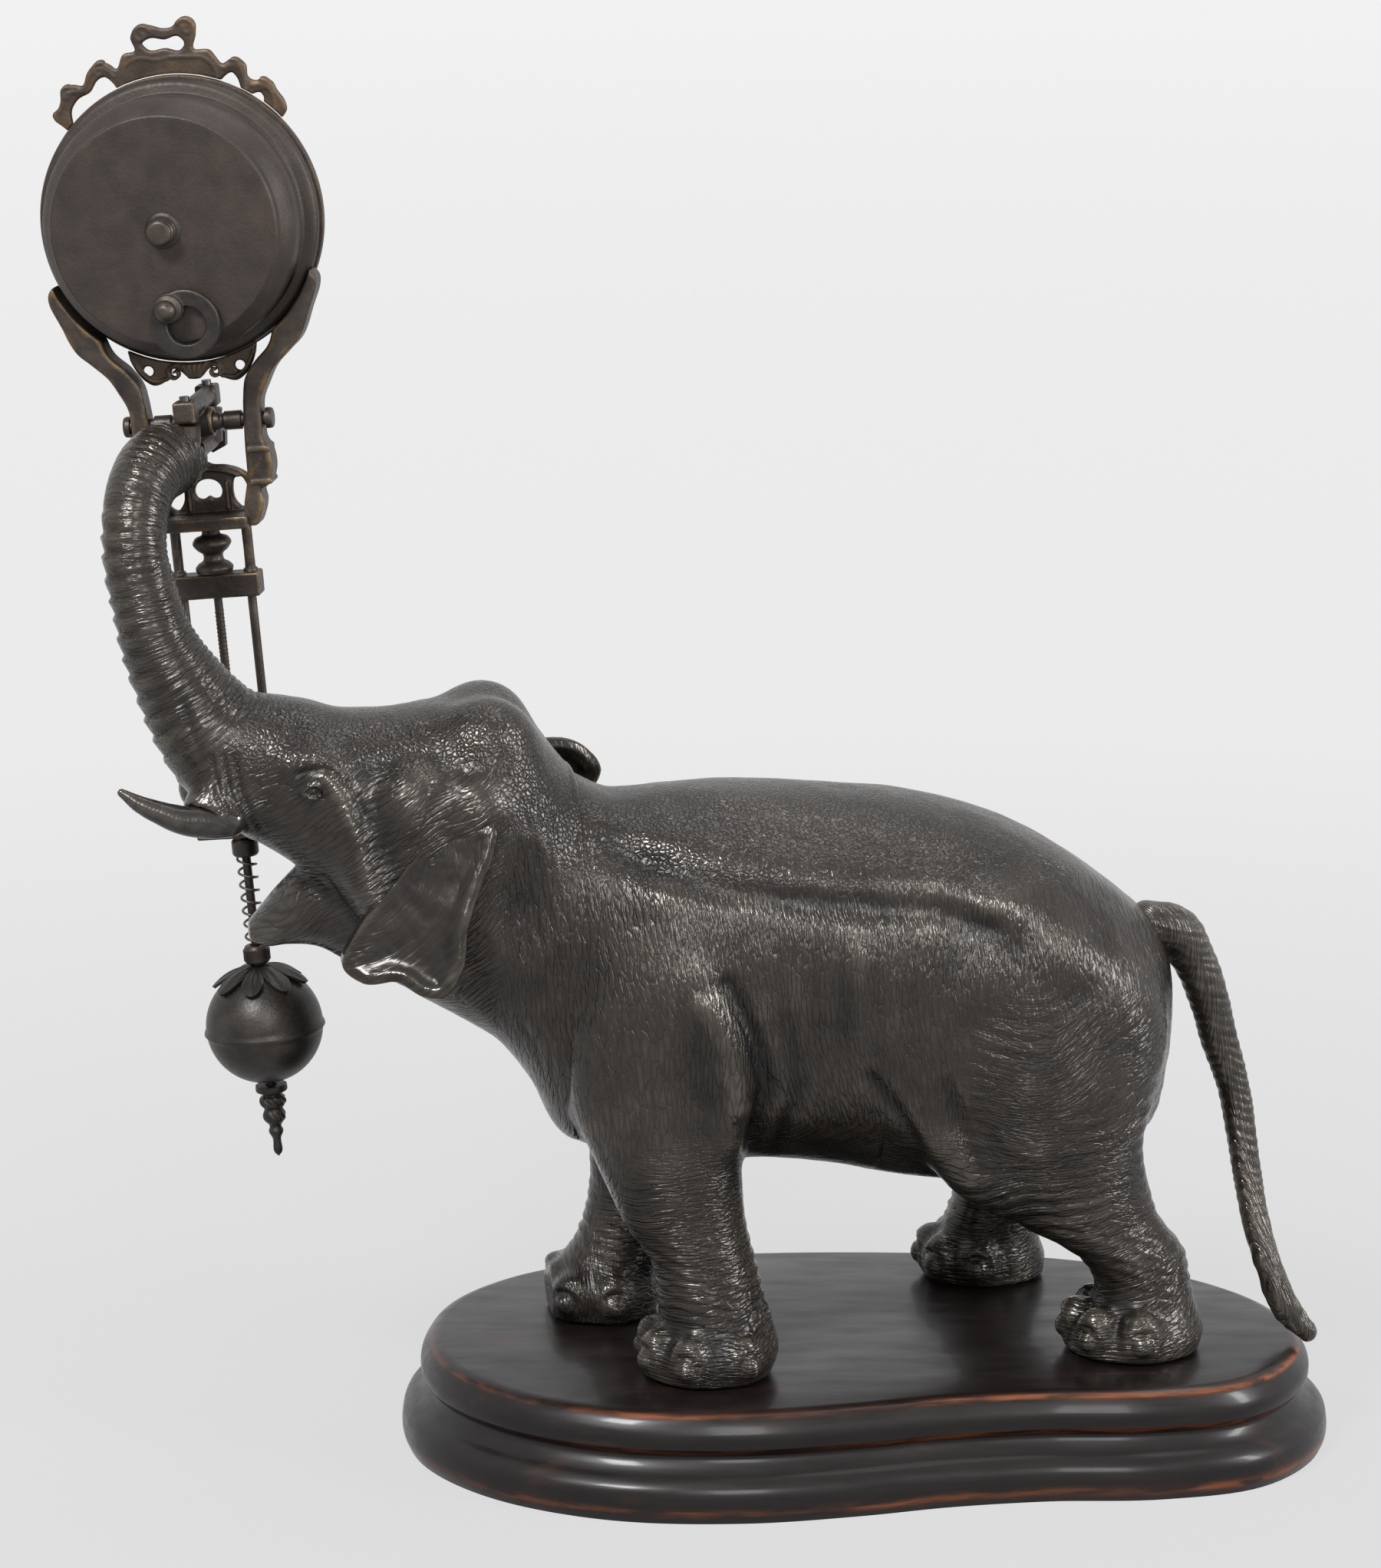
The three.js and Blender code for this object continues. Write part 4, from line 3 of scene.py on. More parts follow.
import bmesh
import bpy
import numpy as np
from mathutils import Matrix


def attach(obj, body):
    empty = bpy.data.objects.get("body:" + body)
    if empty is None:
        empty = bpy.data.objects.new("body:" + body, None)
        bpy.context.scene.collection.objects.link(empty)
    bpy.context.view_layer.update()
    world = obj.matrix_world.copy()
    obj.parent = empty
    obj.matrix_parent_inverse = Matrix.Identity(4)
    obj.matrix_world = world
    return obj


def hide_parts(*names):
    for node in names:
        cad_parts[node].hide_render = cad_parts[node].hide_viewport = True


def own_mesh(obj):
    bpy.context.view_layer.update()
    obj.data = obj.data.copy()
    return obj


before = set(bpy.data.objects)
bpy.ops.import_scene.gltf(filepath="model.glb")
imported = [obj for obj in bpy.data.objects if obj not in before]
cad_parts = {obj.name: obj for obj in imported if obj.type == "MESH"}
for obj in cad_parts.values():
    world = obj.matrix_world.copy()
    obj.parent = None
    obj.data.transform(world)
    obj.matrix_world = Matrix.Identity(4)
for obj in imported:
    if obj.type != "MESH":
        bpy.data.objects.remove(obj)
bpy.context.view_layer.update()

import openvdb
from bpy.props import FloatProperty, FloatVectorProperty, IntProperty, PointerProperty
from mathutils import Matrix, Vector

bl_info = {
    "name": "Figural Elephant Clock",
    "version": (1, 0, 0),
    "blender": (4, 5, 0),
    "location": "3D View > Sidebar > Elephant Clock",
    "description": "Dresses the packed elephant clock with its sculpted and painted pieces",
    "category": "Object",
}

# Lengths are millimetres in this file, and become metres where a mesh is made
MM = 0.001

# Camera: where the photograph was taken from
CAMERA_AT = (-35, -1070, 389)
CAMERA_PITCH_TO = 136
CAMERA_FOCAL_PIXELS = 7180
PHOTO_SIZE = (1800, 2044)
SENSOR_WIDTH = 36

# The elephant's own frame, as in the CAD model: x from head to tail, y away, z up
ELEPHANT_TURN = math.radians(8)
ELEPHANT_AT = (-12, 0)
SOLE_Z = 21.3
NECK_SEAM = -48.3
SEAM_LAP = 1.6
RELIEF_FADE = 6

# The swinging clock's frame has its origin on the line through its two points
SWING_AT = (-132.7, 11, 207.9)
SWING_TURN = math.radians(-7)
SWING_LEAN = math.radians(-5.1)
DRUM_CENTRE_Z = 39.3
PIVOT_BAR_Z = 3.1
CROSS_SHAFT_Z = -0.7


def elephant_matrix():
    """From elephant millimetres to metres in the row frame."""
    place = Matrix.Translation((ELEPHANT_AT[0], ELEPHANT_AT[1], 0))
    return Matrix.Scale(MM, 4) @ place @ Matrix.Rotation(ELEPHANT_TURN, 4, "Z")


def swing_matrix():
    """From swinging-clock millimetres to metres in the row frame."""
    turn = Matrix.Rotation(SWING_TURN, 4, "Z") @ Matrix.Rotation(SWING_LEAN, 4, "Y")
    return Matrix.Scale(MM, 4) @ Matrix.Translation(SWING_AT) @ turn


def moved(points, matrix):
    """Points as rows, put through a 4 by 4 matrix."""
    array = np.array(matrix)
    return np.asarray(points, float) @ array[:3, :3].T + array[:3, 3]


# Numbers on curves and grids
def read_rows(rows, at):
    """Rows of [place, values] read at each place, on a smooth curve through them."""
    table = np.array(rows, float)
    x, y = table[:, 0], table[:, 1:]
    slope = np.gradient(y, x, axis=0)
    k = np.clip(np.searchsorted(x, at) - 1, 0, len(x) - 2)
    h = (x[k + 1] - x[k])[:, None]
    t = np.clip((at - x[k])[:, None] / h, 0, 1)
    t2, t3 = t * t, t * t * t
    return (
        (2 * t3 - 3 * t2 + 1) * y[k]
        + (t3 - 2 * t2 + t) * h * slope[k]
        + (3 * t2 - 2 * t3) * y[k + 1]
        + (t3 - t2) * h * slope[k + 1]
    )


def run_along(points):
    """How far along a line of points each of them lies."""
    steps = np.linalg.norm(np.diff(points, axis=0), axis=1)
    return np.concatenate([[0], np.cumsum(steps)])


def smooth_path(points, count):
    """Rows of points and values, resampled evenly on a smooth curve through them."""
    table = np.array(points, float)
    along = run_along(table[:, :3])
    return read_rows(np.column_stack([along, table]), np.linspace(0, along[-1], count))


# Large primes that scramble a lattice place and a seed into a number
PLACE_PRIMES = np.array([73856093, 19349663, 83492791])
SEED_PRIME = 2654435761
MIXING_PRIME = 1274126177


def lattice_noise(places, seed):
    """Smooth noise from -1 to 1 at each row of places, one lump to a unit."""
    base = np.floor(places).astype(np.int64)
    part = places - base
    part = part * part * (3 - 2 * part)
    total = np.zeros(len(places))
    for corner in range(8):
        step = np.array([corner & 1, corner >> 1 & 1, corner >> 2 & 1])
        key = (base + step) @ PLACE_PRIMES + seed * SEED_PRIME
        key = (key ^ (key >> 13)) * MIXING_PRIME & 0xFFFFFFFF
        key = (key ^ (key >> 16)) & 0xFFFF
        weight = np.prod(np.where(step, part, 1 - part), axis=1)
        total += weight * (key / 32767.5 - 1)
    return total


def rough_noise(places, seed):
    """Noise with two finer and weaker layers added."""
    return sum(lattice_noise(places * 2**k, seed + k) * 0.5**k for k in range(3))


def bell(value, middle, width):
    """1 at the middle, falling to nothing over the width on each side."""
    return np.exp(-(((value - middle) / width) ** 2))


def ease(value, start, end):
    """0 before start and 1 after end, smooth between them."""
    t = np.clip((value - start) / (end - start), 0, 1)
    return t * t * (3 - 2 * t)


# Clay: signed distances on a grid, from which a skin is drawn
def soft_least(a, b, blend):
    """The lesser of two distances, with a fillet where they are alike."""
    share = np.clip(0.5 + 0.5 * (b - a) / blend, 0, 1)
    return b * (1 - share) + a * share - blend * share * (1 - share)


def meet(rounding, *sides):
    """The distance from a form where several sides meet, their edges rounded."""
    sides = np.broadcast_arrays(*(side + rounding for side in sides))
    past = np.sqrt(sum(np.maximum(side, 0) ** 2 for side in sides))
    return past + np.minimum(np.max(sides, axis=0), 0) - rounding


class Clay:
    """A block of clay that forms are added to and cut from."""

    FAR = 12.0

    def __init__(self, low, high, step):
        self.low, self.high, self.step = low, high, step
        self.axes = [np.arange(a, b, step, dtype=np.float32) for a, b in zip(low, high)]
        self.value = np.full([len(axis) for axis in self.axes], self.FAR, np.float32)

    def within(self, room):
        """The block's slices in a room of (low, high), and the places in them."""
        low, high = room or (self.low, self.high)
        slices = tuple(
            slice(int(np.searchsorted(axis, a)), int(np.searchsorted(axis, b)))
            for axis, a, b in zip(self.axes, low, high)
        )
        axes = [axis[part] for axis, part in zip(self.axes, slices)]
        return slices, np.meshgrid(*axes, indexing="ij", sparse=True)

    def add(self, form, blend, room=None):
        where, places = self.within(room)
        self.value[where] = soft_least(self.value[where], form(*places), blend)

    def cut(self, form, blend, room=None):
        where, places = self.within(room)
        self.value[where] = -soft_least(-self.value[where], form(*places), blend)

    def keep(self, form):
        """Keeps only what is inside a form."""
        places = np.meshgrid(*self.axes, indexing="ij", sparse=True)
        self.value = np.maximum(self.value, form(*places))

    def skin(self):
        """The surface as (vertices, quads), with faces outwards."""
        edge = 3 * self.step
        grid = openvdb.FloatGrid(edge)
        grid.copyFromArray(np.clip(self.value, -edge, edge).astype(np.float32))
        points, quads = grid.convertToQuads(isovalue=0.0)
        points = points.astype(float) * self.step + np.array(self.low)
        a, b, c = (points[quads[:, k]] for k in (0, 1, 2))
        if np.einsum("ij,ij->i", a, np.cross(b, c)).sum() < 0:
            quads = quads[:, ::-1]
        return points, quads


def oval_bar(oval, reach, past):
    """The distance from a bar of ovals: the share and the reach across, and how far past."""
    side = reach * (1 - 1 / np.maximum(oval, 1e-3))
    return np.where(past > 0, np.sqrt(np.maximum(side, 0) ** 2 + past**2), side)


def upright_form(rows, power):
    """A form of upright ovals along x: rows of [x, top, bottom, half width, middle y]."""
    table = sorted(list(row) + [0] * (5 - len(row)) for row in rows)
    first, last = table[0][0], table[-1][0]

    def distance(x, y, z):
        values = read_rows(table, np.clip(x.ravel(), first, last))
        top, bottom, half, middle = (v[:, None, None] for v in values.T.astype(np.float32))
        rise = np.maximum((top - bottom) / 2, 0.5)
        dy, dz = y - middle, z - (top + bottom) / 2
        oval = (np.abs(dy / half) ** power + np.abs(dz / rise) ** power) ** (1 / power)
        past = np.maximum(np.maximum(first - x, x - last), 0)
        return oval_bar(oval, np.sqrt(dy * dy + dz * dz) + 1e-6, past)

    return distance


def level_form(rows):
    """A form of level ovals up z: rows of [z, middle x, middle y, half x, half y]."""
    first, last = rows[0][0], rows[-1][0]

    def distance(x, y, z):
        values = read_rows(rows, np.clip(z.ravel(), first, last))
        mx, my, hx, hy = (v[None, None, :] for v in values.T.astype(np.float32))
        dx, dy = x - mx, y - my
        oval = np.sqrt((dx / hx) ** 2 + (dy / hy) ** 2)
        past = np.maximum(np.maximum(first - z, z - last), 0)
        return oval_bar(oval, np.sqrt(dx * dx + dy * dy) + 1e-6, past)

    return distance


def path_form(points, count=40):
    """A round tube along a smooth curve: points of [x, y, z, radius]."""
    path = smooth_path(points, count).astype(np.float32)

    def distance(x, y, z):
        least = None
        for (ax, ay, az, ar), (bx, by, bz, br) in zip(path[:-1], path[1:]):
            ex, ey, ez = bx - ax, by - ay, bz - az
            length = ex * ex + ey * ey + ez * ez
            t = np.clip(((x - ax) * ex + (y - ay) * ey + (z - az) * ez) / length, 0, 1)
            dx, dy, dz = x - ax - t * ex, y - ay - t * ey, z - az - t * ez
            here = np.sqrt(dx * dx + dy * dy + dz * dz) - (ar + (br - ar) * t)
            least = here if least is None else np.minimum(least, here)
        return least

    return distance


def lump(middle, half, tilt=0):
    """A rounded lump with half sizes along x, y and z, tilted in the side view."""
    ct, st = math.cos(math.radians(tilt)), math.sin(math.radians(tilt))

    def distance(x, y, z):
        dx, dy, dz = x - middle[0], y - middle[1], z - middle[2]
        dx, dz = dx * ct + dz * st, dz * ct - dx * st
        oval = np.sqrt((dx / half[0]) ** 2 + (dy / half[1]) ** 2 + (dz / half[2]) ** 2)
        reach = np.sqrt(dx * dx + dy * dy + dz * dz) + 1e-6
        return reach * (1 - 1 / np.maximum(oval, 1e-3))

    return distance


def lump_room(middle, half, blend):
    """The corners of the room that a lump and its fillet can reach."""
    reach = max(half) + blend + 2
    return [c - reach for c in middle], [c + reach for c in middle]


def add_lump(clay, middle, half, blend, tilt=0):
    clay.add(lump(middle, half, tilt), blend, lump_room(middle, half, blend))


def cut_lump(clay, middle, half, blend, tilt=0):
    clay.cut(lump(middle, half, tilt), blend, lump_room(middle, half, blend))


def add_cord(clay, side, rows, count, blend, room):
    """A tube on one side, in a room of x, y outwards and z, each from and to."""
    rows = [[x, side * y, z, radius] for x, y, z, radius in rows]
    (x0, x1), outwards, (z0, z1) = room
    y0, y1 = sorted(side * y for y in outwards)
    clay.add(path_form(rows, count), blend, ((x0, y0, z0), (x1, y1, z1)))


# The elephant's forms, in its own millimetres
TORSO_ROWS = [
    [-64, 147, 92, 16], [-56, 145.4, 79, 20], [NECK_SEAM, 140.6, 69.6, 22.6],
    [-40, 136.2, 61.6, 26.4], [-28, 136.6, 59, 29.8], [-12, 136.8, 60.4, 31.2],
    [4, 135.4, 58.8, 32.6], [20, 133.6, 55.4, 33.4], [34, 130, 54, 33],
    [46, 124.8, 55, 31], [56, 118.5, 57.5, 27.6], [65, 111.5, 60.5, 22],
    [71, 105.5, 66, 15], [74, 100, 76, 7.6],
]
LEG_ROWS = {
    "near_front": [
        [SOLE_Z, -23, -21, 12.9, 12.6], [25, -22.3, -21, 13.7, 13.2], [31, -21, -21, 11.6, 11.4],
        [38, -22.3, -20.6, 10.7, 10.6], [43, -23.2, -20.4, 10.3, 10.2], [52, -27, -20, 12, 10.6],
        [65, -30.4, -19.6, 14.5, 11.8], [77, -33, -19, 16.6, 12.8], [90, -33, -18.4, 16.6, 12.4],
        [106, -31, -17, 13, 10], [120, -29, -13, 8, 6],
    ],
    "far_front": [
        [SOLE_Z, -39.3, 20, 11.8, 11.4], [25, -39.3, 20, 12.2, 11.8], [30, -38.8, 20, 10.8, 10.4],
        [36, -35.5, 20, 9.2, 9.2], [43, -33, 20, 9.2, 9.2], [53, -31.5, 19.6, 9.8, 9.8],
        [65, -31, 19, 12, 11], [80, -31, 18.4, 15, 12], [96, -31, 17.6, 15, 11],
        [112, -30, 14, 9, 7],
    ],
    "near_hind": [
        [SOLE_Z, 64.5, -18.5, 13.4, 12.4], [25, 65, -18.5, 13.8, 12.8],
        [31.5, 66.8, -18, 10.2, 10.4], [36, 66.2, -17.8, 9.8, 9.8], [41.5, 63.4, -17.6, 11.4, 10],
        [48, 55.5, -17.6, 14.5, 10.4], [55, 50.5, -17.8, 17, 11.4], [62, 47, -18, 19, 12.6],
        [73, 46.5, -18, 20.6, 14], [86, 48, -17.6, 21, 13.4], [99, 48, -16, 16, 10.6],
        [110, 47, -13, 10, 7],
    ],
    "far_hind": [
        [SOLE_Z, 43.7, 32, 12.6, 10.4], [25, 43.7, 32, 13, 10.8], [31, 44.5, 31.6, 10.4, 9.8],
        [37, 46, 31, 9.8, 9.4], [44, 48.5, 30, 10.4, 9.6], [53, 50, 27.6, 12.4, 10.6],
        [63, 50.5, 25, 15.4, 12], [76, 50, 21.6, 18, 13.2], [90, 50, 18.8, 18, 12.4],
        [104, 50, 15, 12, 9],
    ],
}
HEAD_ROWS = [
    [-116, 155.4, 134, 9.6], [-113, 155.8, 130.4, 11.4], [-108, 156, 127.6, 13.4],
    [-100, 155, 121.4, 16.2], [-91, 154, 108.4, 19], [-82, 154, 98.8, 21.4],
    [-72, 155.4, 92.6, 23], [-62, 155.6, 86, 23.4], [-54, 149.5, 77, 22.8], [-48, 141, 70, 21],
]
JAW_ROWS = [
    [-82, 131, 98.8, 15.5], [-91, 128.5, 102.5, 12.5], [-98, 125.3, 106.6, 10.2],
    [-104, 120.3, 107.2, 8], [-109, 114.8, 107, 5.4], [-111.4, 112, 108, 3],
]
TRUNK_POINTS = [
    [-104, 0, 143.5, 13], [-114, 0, 146.5, 12], [-119.6, 0, 152.8, 10.4],
    [-123.8, 0, 159.6, 8.9], [-126.4, 0, 164.4, 8], [-128.3, 0, 169, 7.3],
    [-130.6, 0, 178, 6.7], [-132.2, 0.2, 186, 6.3], [-131.9, 2.6, 193, 6.4],
    [-130.3, 6.6, 198.4, 6.7], [-127.8, 11.2, 201.2, 7.2], [-124.9, 15.8, 202, 7.2],
    [-123.2, 18.4, 201.6, 6.4],
]
TUSK_POINTS = [
    [-115.4, -10.6, 135, 3.3], [-119, -11.4, 135, 3.3], [-124, -12.4, 135.6, 2.9],
    [-129.6, -13.2, 137.8, 2.2], [-133.4, -13.7, 139.8, 1.6], [-136.4, -14, 142, 0.8],
]
TAIL_POINTS = [
    [70.5, 0, 104, 5.4], [75.5, 0, 103.2, 5.2], [79.8, -0.4, 97.2, 4.5],
    [82.8, -1.2, 89.6, 4.1], [85, -2, 81, 3.8], [87.9, -3.5, 71.4, 3.3],
    [89.3, -5.5, 62, 3.1], [90.2, -8.5, 53.2, 2.9], [91.3, -12, 44.4, 2.8],
    [93.4, -16, 35.7, 2.8], [96.6, -18.6, 27.6, 2.9], [100.6, -20, 22.9, 2],
]
NEAR, FAR = -1, 1
SHOULDER_RIDGE = [
    [-27, 28, 104, 3.4], [-22, 29.4, 93, 4], [-19.4, 28.6, 82, 4.2], [-20.6, 26, 72, 4],
]
FLANK_FOLD = [[18, 26.4, 76, 3], [24, 26.2, 68, 4], [30, 23.6, 60, 4.4], [36, 21, 56, 4.4]]


def add_torso(clay):
    """The trunk of the body, which the head's clay shares across the neck seam."""
    clay.add(upright_form(TORSO_ROWS, 2.25), 3, ((-75, -45, 48), (84, 45, 146)))


def add_shoulders(clay):
    for side in (NEAR, FAR):
        add_lump(clay, (-31, side * 21, 98), (12, 10, 24), 7, -12)
        add_cord(clay, side, SHOULDER_RIDGE, 10, 5, ((-36, -8), (14, 40), (60, 116)))
    add_lump(clay, (-43, 0, 78), (8, 15, 13), 8, -25)


TOE_ANGLES = {
    "near_front": (155, 199, 243, 297), "near_hind": (125, 171, 217, 265),
    "far_front": (140, 185, 230, 277), "far_hind": (120, 165, 210, 255),
}


def add_toes(clay, rows, angles):
    """Domed nails round the front of a foot, each ringed by a groove in the skin."""
    z, x, y, half_x, half_y = rows[1]
    for degrees in angles:
        angle = math.radians(degrees)
        out = np.array([math.cos(angle), math.sin(angle)])
        rim = np.array([x, y]) + out * [half_x * 0.84, half_y * 0.84]
        add_lump(clay, (*rim, z + 1.8), (4.3, 4.3, 5), 2)
        cut_lump(clay, (*(rim + out * 6), z + 0.8), (4.2, 4.2, 4.2), 0.5)
        add_lump(clay, (*(rim + out * 2.1), z + 0.6), (2.5, 2.5, 2.6), 0.2)


def add_hips(clay):
    for side in (NEAR, FAR):
        add_lump(clay, (34, side * 23.6, 114.6), (5.4, 5, 4), 6)
        add_lump(clay, (47, side * 22, 105), (8, 6, 5), 6, -36)
        add_lump(clay, (61, side * 16.6, 92), (7, 8, 12), 7, 18)
        add_cord(clay, side, FLANK_FOLD, 10, 6, ((6, 46), (10, 42), (46, 90)))


def build_body_clay():
    step = bpy.context.scene.elephant_settings.body_step / MM
    clay = Clay((NECK_SEAM - 4, -52, SOLE_Z - 2), (84, 52, 144), step)
    add_torso(clay)
    add_shoulders(clay)
    for name, rows in LEG_ROWS.items():
        y0, y1 = (-52, 0) if name.startswith("near") else (0, 52)
        x0, x1 = min(r[1] - r[3] for r in rows) - 8, max(r[1] + r[3] for r in rows) + 8
        clay.add(level_form(rows), 5, ((x0, y0, SOLE_Z - 2), (x1, y1, rows[-1][0] + 10)))
        add_toes(clay, rows, TOE_ANGLES[name])
    add_hips(clay)
    clay.keep(lambda x, y, z: np.maximum(SOLE_Z - z, NECK_SEAM - SEAM_LAP - x) + 0 * y)
    return clay


def swing_room(y0, y1, z, radius, upright=False):
    """The room that a piece of the swinging clock needs in the trunk's tip."""
    into = (elephant_matrix().inverted() @ Matrix.Scale(MM, 4)
            @ Matrix.Translation(SWING_AT) @ Matrix.Rotation(SWING_TURN, 4, "Z")).inverted()
    m = np.array(into)

    def distance(x, y, z_here):
        px = m[0, 0] * x + m[0, 1] * y + m[0, 3]
        py = m[1, 0] * x + m[1, 1] * y + m[1, 3]
        pz = z_here + m[2, 3]
        if upright:
            across = np.sqrt(px * px + (py - y0) ** 2) - radius
            return np.maximum(across, z - pz)
        across = np.sqrt(px * px + (pz - z) ** 2) - radius
        return np.maximum(across, np.maximum(y0 - py, py - y1))

    return distance


CHEEK_CORD = [
    [-94.6, 15.2, 143, 2], [-92, 16.2, 134, 2.8], [-89.4, 17.2, 124, 3.2], [-84, 18, 116, 3.4],
]
UPPER_LID = [
    [-101.6, 16.2, 141.1, 0.3], [-100.2, 16.8, 142.9, 0.42], [-98.6, 17.1, 142.8, 0.42],
    [-97.1, 17, 141.2, 0.3],
]
LOWER_LID = [
    [-101.6, 16.2, 141.1, 0.3], [-100.2, 16.6, 140.3, 0.32], [-98.4, 17, 140.2, 0.32],
    [-97.1, 17, 141.2, 0.3],
]
TUSK_SHEATH = [[-112, 7.6, 138, 5.6], [-118.6, 9, 137.2, 5.2], [-119.6, 9.3, 137, 4.8]]
EYE = (-99.4, 141.6)
ARM_Z, POST_Y = -6.2, -10.5


def build_head_clay():
    step = bpy.context.scene.elephant_settings.head_step / MM
    clay = Clay((-143, -31, 66), (NECK_SEAM + 4, 31, 213), step)
    add_torso(clay)
    clay.add(upright_form(HEAD_ROWS, 2.3), 4, ((-125, -31, 66), (-40, 31, 165)))
    add_shoulders(clay)
    clay.add(upright_form(JAW_ROWS, 2.1), 2, ((-120, -24, 90), (-70, 24, 140)))
    for side in (NEAR, FAR):
        # Crown, brow, temple, the hollow behind the cheek, and the cheek's bones
        add_lump(clay, (-64, side * 8.6, 148.6), (9, 9, 8.4), 4)
        add_lump(clay, (-99, side * 13.4, 146.4), (6, 3, 2.6), 4, -8)
        cut_lump(clay, (-84, side * 26.4, 147.6), (9, 5.4, 4.4), 5, 8)
        cut_lump(clay, (-58, side * 27, 120), (3.4, 4, 15), 7, -6)
        add_lump(clay, (-81, side * 17.6, 139), (5.4, 4.6, 7), 4, -14)
        add_lump(clay, (-68, side * 19.6, 138), (4.4, 3.4, 4.2), 5)
        add_cord(clay, side, CHEEK_CORD, 12, 5, ((-106, -76), (6, 28), (98, 152)))
        cut_lump(clay, (EYE[0], side * 17.5, EYE[1]), (2.6, 1.5, 1.7), 1, -14)
        add_lump(clay, (EYE[0], side * 15.7, EYE[1]), (1.25, 1.15, 1.15), 0.3)
        for lid in (UPPER_LID, LOWER_LID):
            add_cord(clay, side, lid, 10, 0.6, ((-106, -92), (13, 20), (136, 147)))
        add_cord(clay, side, TUSK_SHEATH, 6, 3, ((-130, -104), (0, 20), (126, 150)))
    clay.add(path_form(TRUNK_POINTS, 48), 3.5, ((-143, -26, 118), (-72, 31, 213)))
    cut_lump(clay, (-121, 11.4, 135.4), (5.4, 2.4, 2.4), 0.6)
    cut_lump(clay, (-121.4, -11.6, 135.2), (5, 3.5, 3.5), 0.6)
    for form in (
        swing_room(POST_Y, 0, ARM_Z - 4.3, 2.9, upright=True),
        swing_room(POST_Y, 14, ARM_Z, 2.1),
        swing_room(-13.6, 0, PIVOT_BAR_Z, 3.2),
    ):
        clay.cut(form, 0.4, ((-143, -20, 180), (-98, 31, 213)))
    clay.keep(lambda x, y, z: x - NECK_SEAM - SEAM_LAP + 0 * y + 0 * z)
    return clay


def mesh_normals(points, quads):
    """Smooth normals of a quad mesh."""
    cross = np.cross(points[quads[:, 2]] - points[quads[:, 0]],
                     points[quads[:, 3]] - points[quads[:, 1]])
    total = np.zeros_like(points)
    for k in range(4):
        np.add.at(total, quads[:, k], cross)
    return total / np.maximum(np.linalg.norm(total, axis=1, keepdims=True), 1e-12)


def neighbour_mean(values, quads):
    """Each vertex's mean of its neighbours' values along the quads' edges."""
    total = np.zeros_like(values)
    count = np.zeros(len(values))
    for k in range(4):
        a, b = quads[:, k], quads[:, (k + 1) % 4]
        np.add.at(total, a, values[b])
        np.add.at(total, b, values[a])
        np.add.at(count, a, 1)
        np.add.at(count, b, 1)
    return total / (count[:, None] if values.ndim > 1 else count)


def bulge(points, quads, normals, rounds):
    """How far each vertex stands proud of its surroundings, positive on ridges."""
    away = np.einsum("ij,ij->i", points - neighbour_mean(points, quads), normals)
    for _ in range(rounds):
        away = neighbour_mean(away, quads)
    return away


def crease(side_view, line, width):
    """1 on a line drawn in the side view, fading over the width."""
    line = np.array(line, float)
    least = np.full(len(side_view), 1e9)
    for a, b in zip(line[:-1], line[1:]):
        along = b - a
        t = np.clip((side_view - a) @ along / (along @ along), 0, 1)
        least = np.minimum(least, np.linalg.norm(side_view - a - t[:, None] * along, axis=1))
    return np.exp(-((least / width) ** 2))


def linked(name, data):
    """A new object in the scene."""
    made = bpy.data.objects.new(name, data)
    bpy.context.scene.collection.objects.link(made)
    return made


def make_mesh(name, points, faces, smooth=True, **attributes):
    """An object from points in metres in the row frame."""
    mesh = bpy.data.meshes.new(name)
    mesh.from_pydata(np.asarray(points).tolist(), [], faces)
    for key, values in attributes.items():
        kind, part = ("FLOAT_VECTOR", "vector") if values.ndim > 1 else ("FLOAT", "value")
        layer = mesh.attributes.new(key, kind, "POINT")
        layer.data.foreach_set(part, values.astype(np.float32).ravel())
    mesh.polygons.foreach_set("use_smooth", [smooth] * len(mesh.polygons))
    mesh.update()
    return linked(name, mesh)


def make_loose(name, points, faces, smooth=True):
    """An object from faces of mixed sizes, turned outwards."""
    made = make_mesh(name, points, faces, smooth)
    work = bmesh.new()
    work.from_mesh(made.data)
    bmesh.ops.recalc_face_normals(work, faces=work.faces)
    work.to_mesh(made.data)
    work.free()
    return made


def final_mesh(made):
    """The mesh that an object gives with its modifiers."""
    bpy.context.view_layer.update()
    graph = bpy.context.evaluated_depsgraph_get()
    return bpy.data.meshes.new_from_object(made.evaluated_get(graph))


def ripple(value, length):
    """Waves of a length, from -1 to 1."""
    return np.sin(value / length * 2 * math.pi)


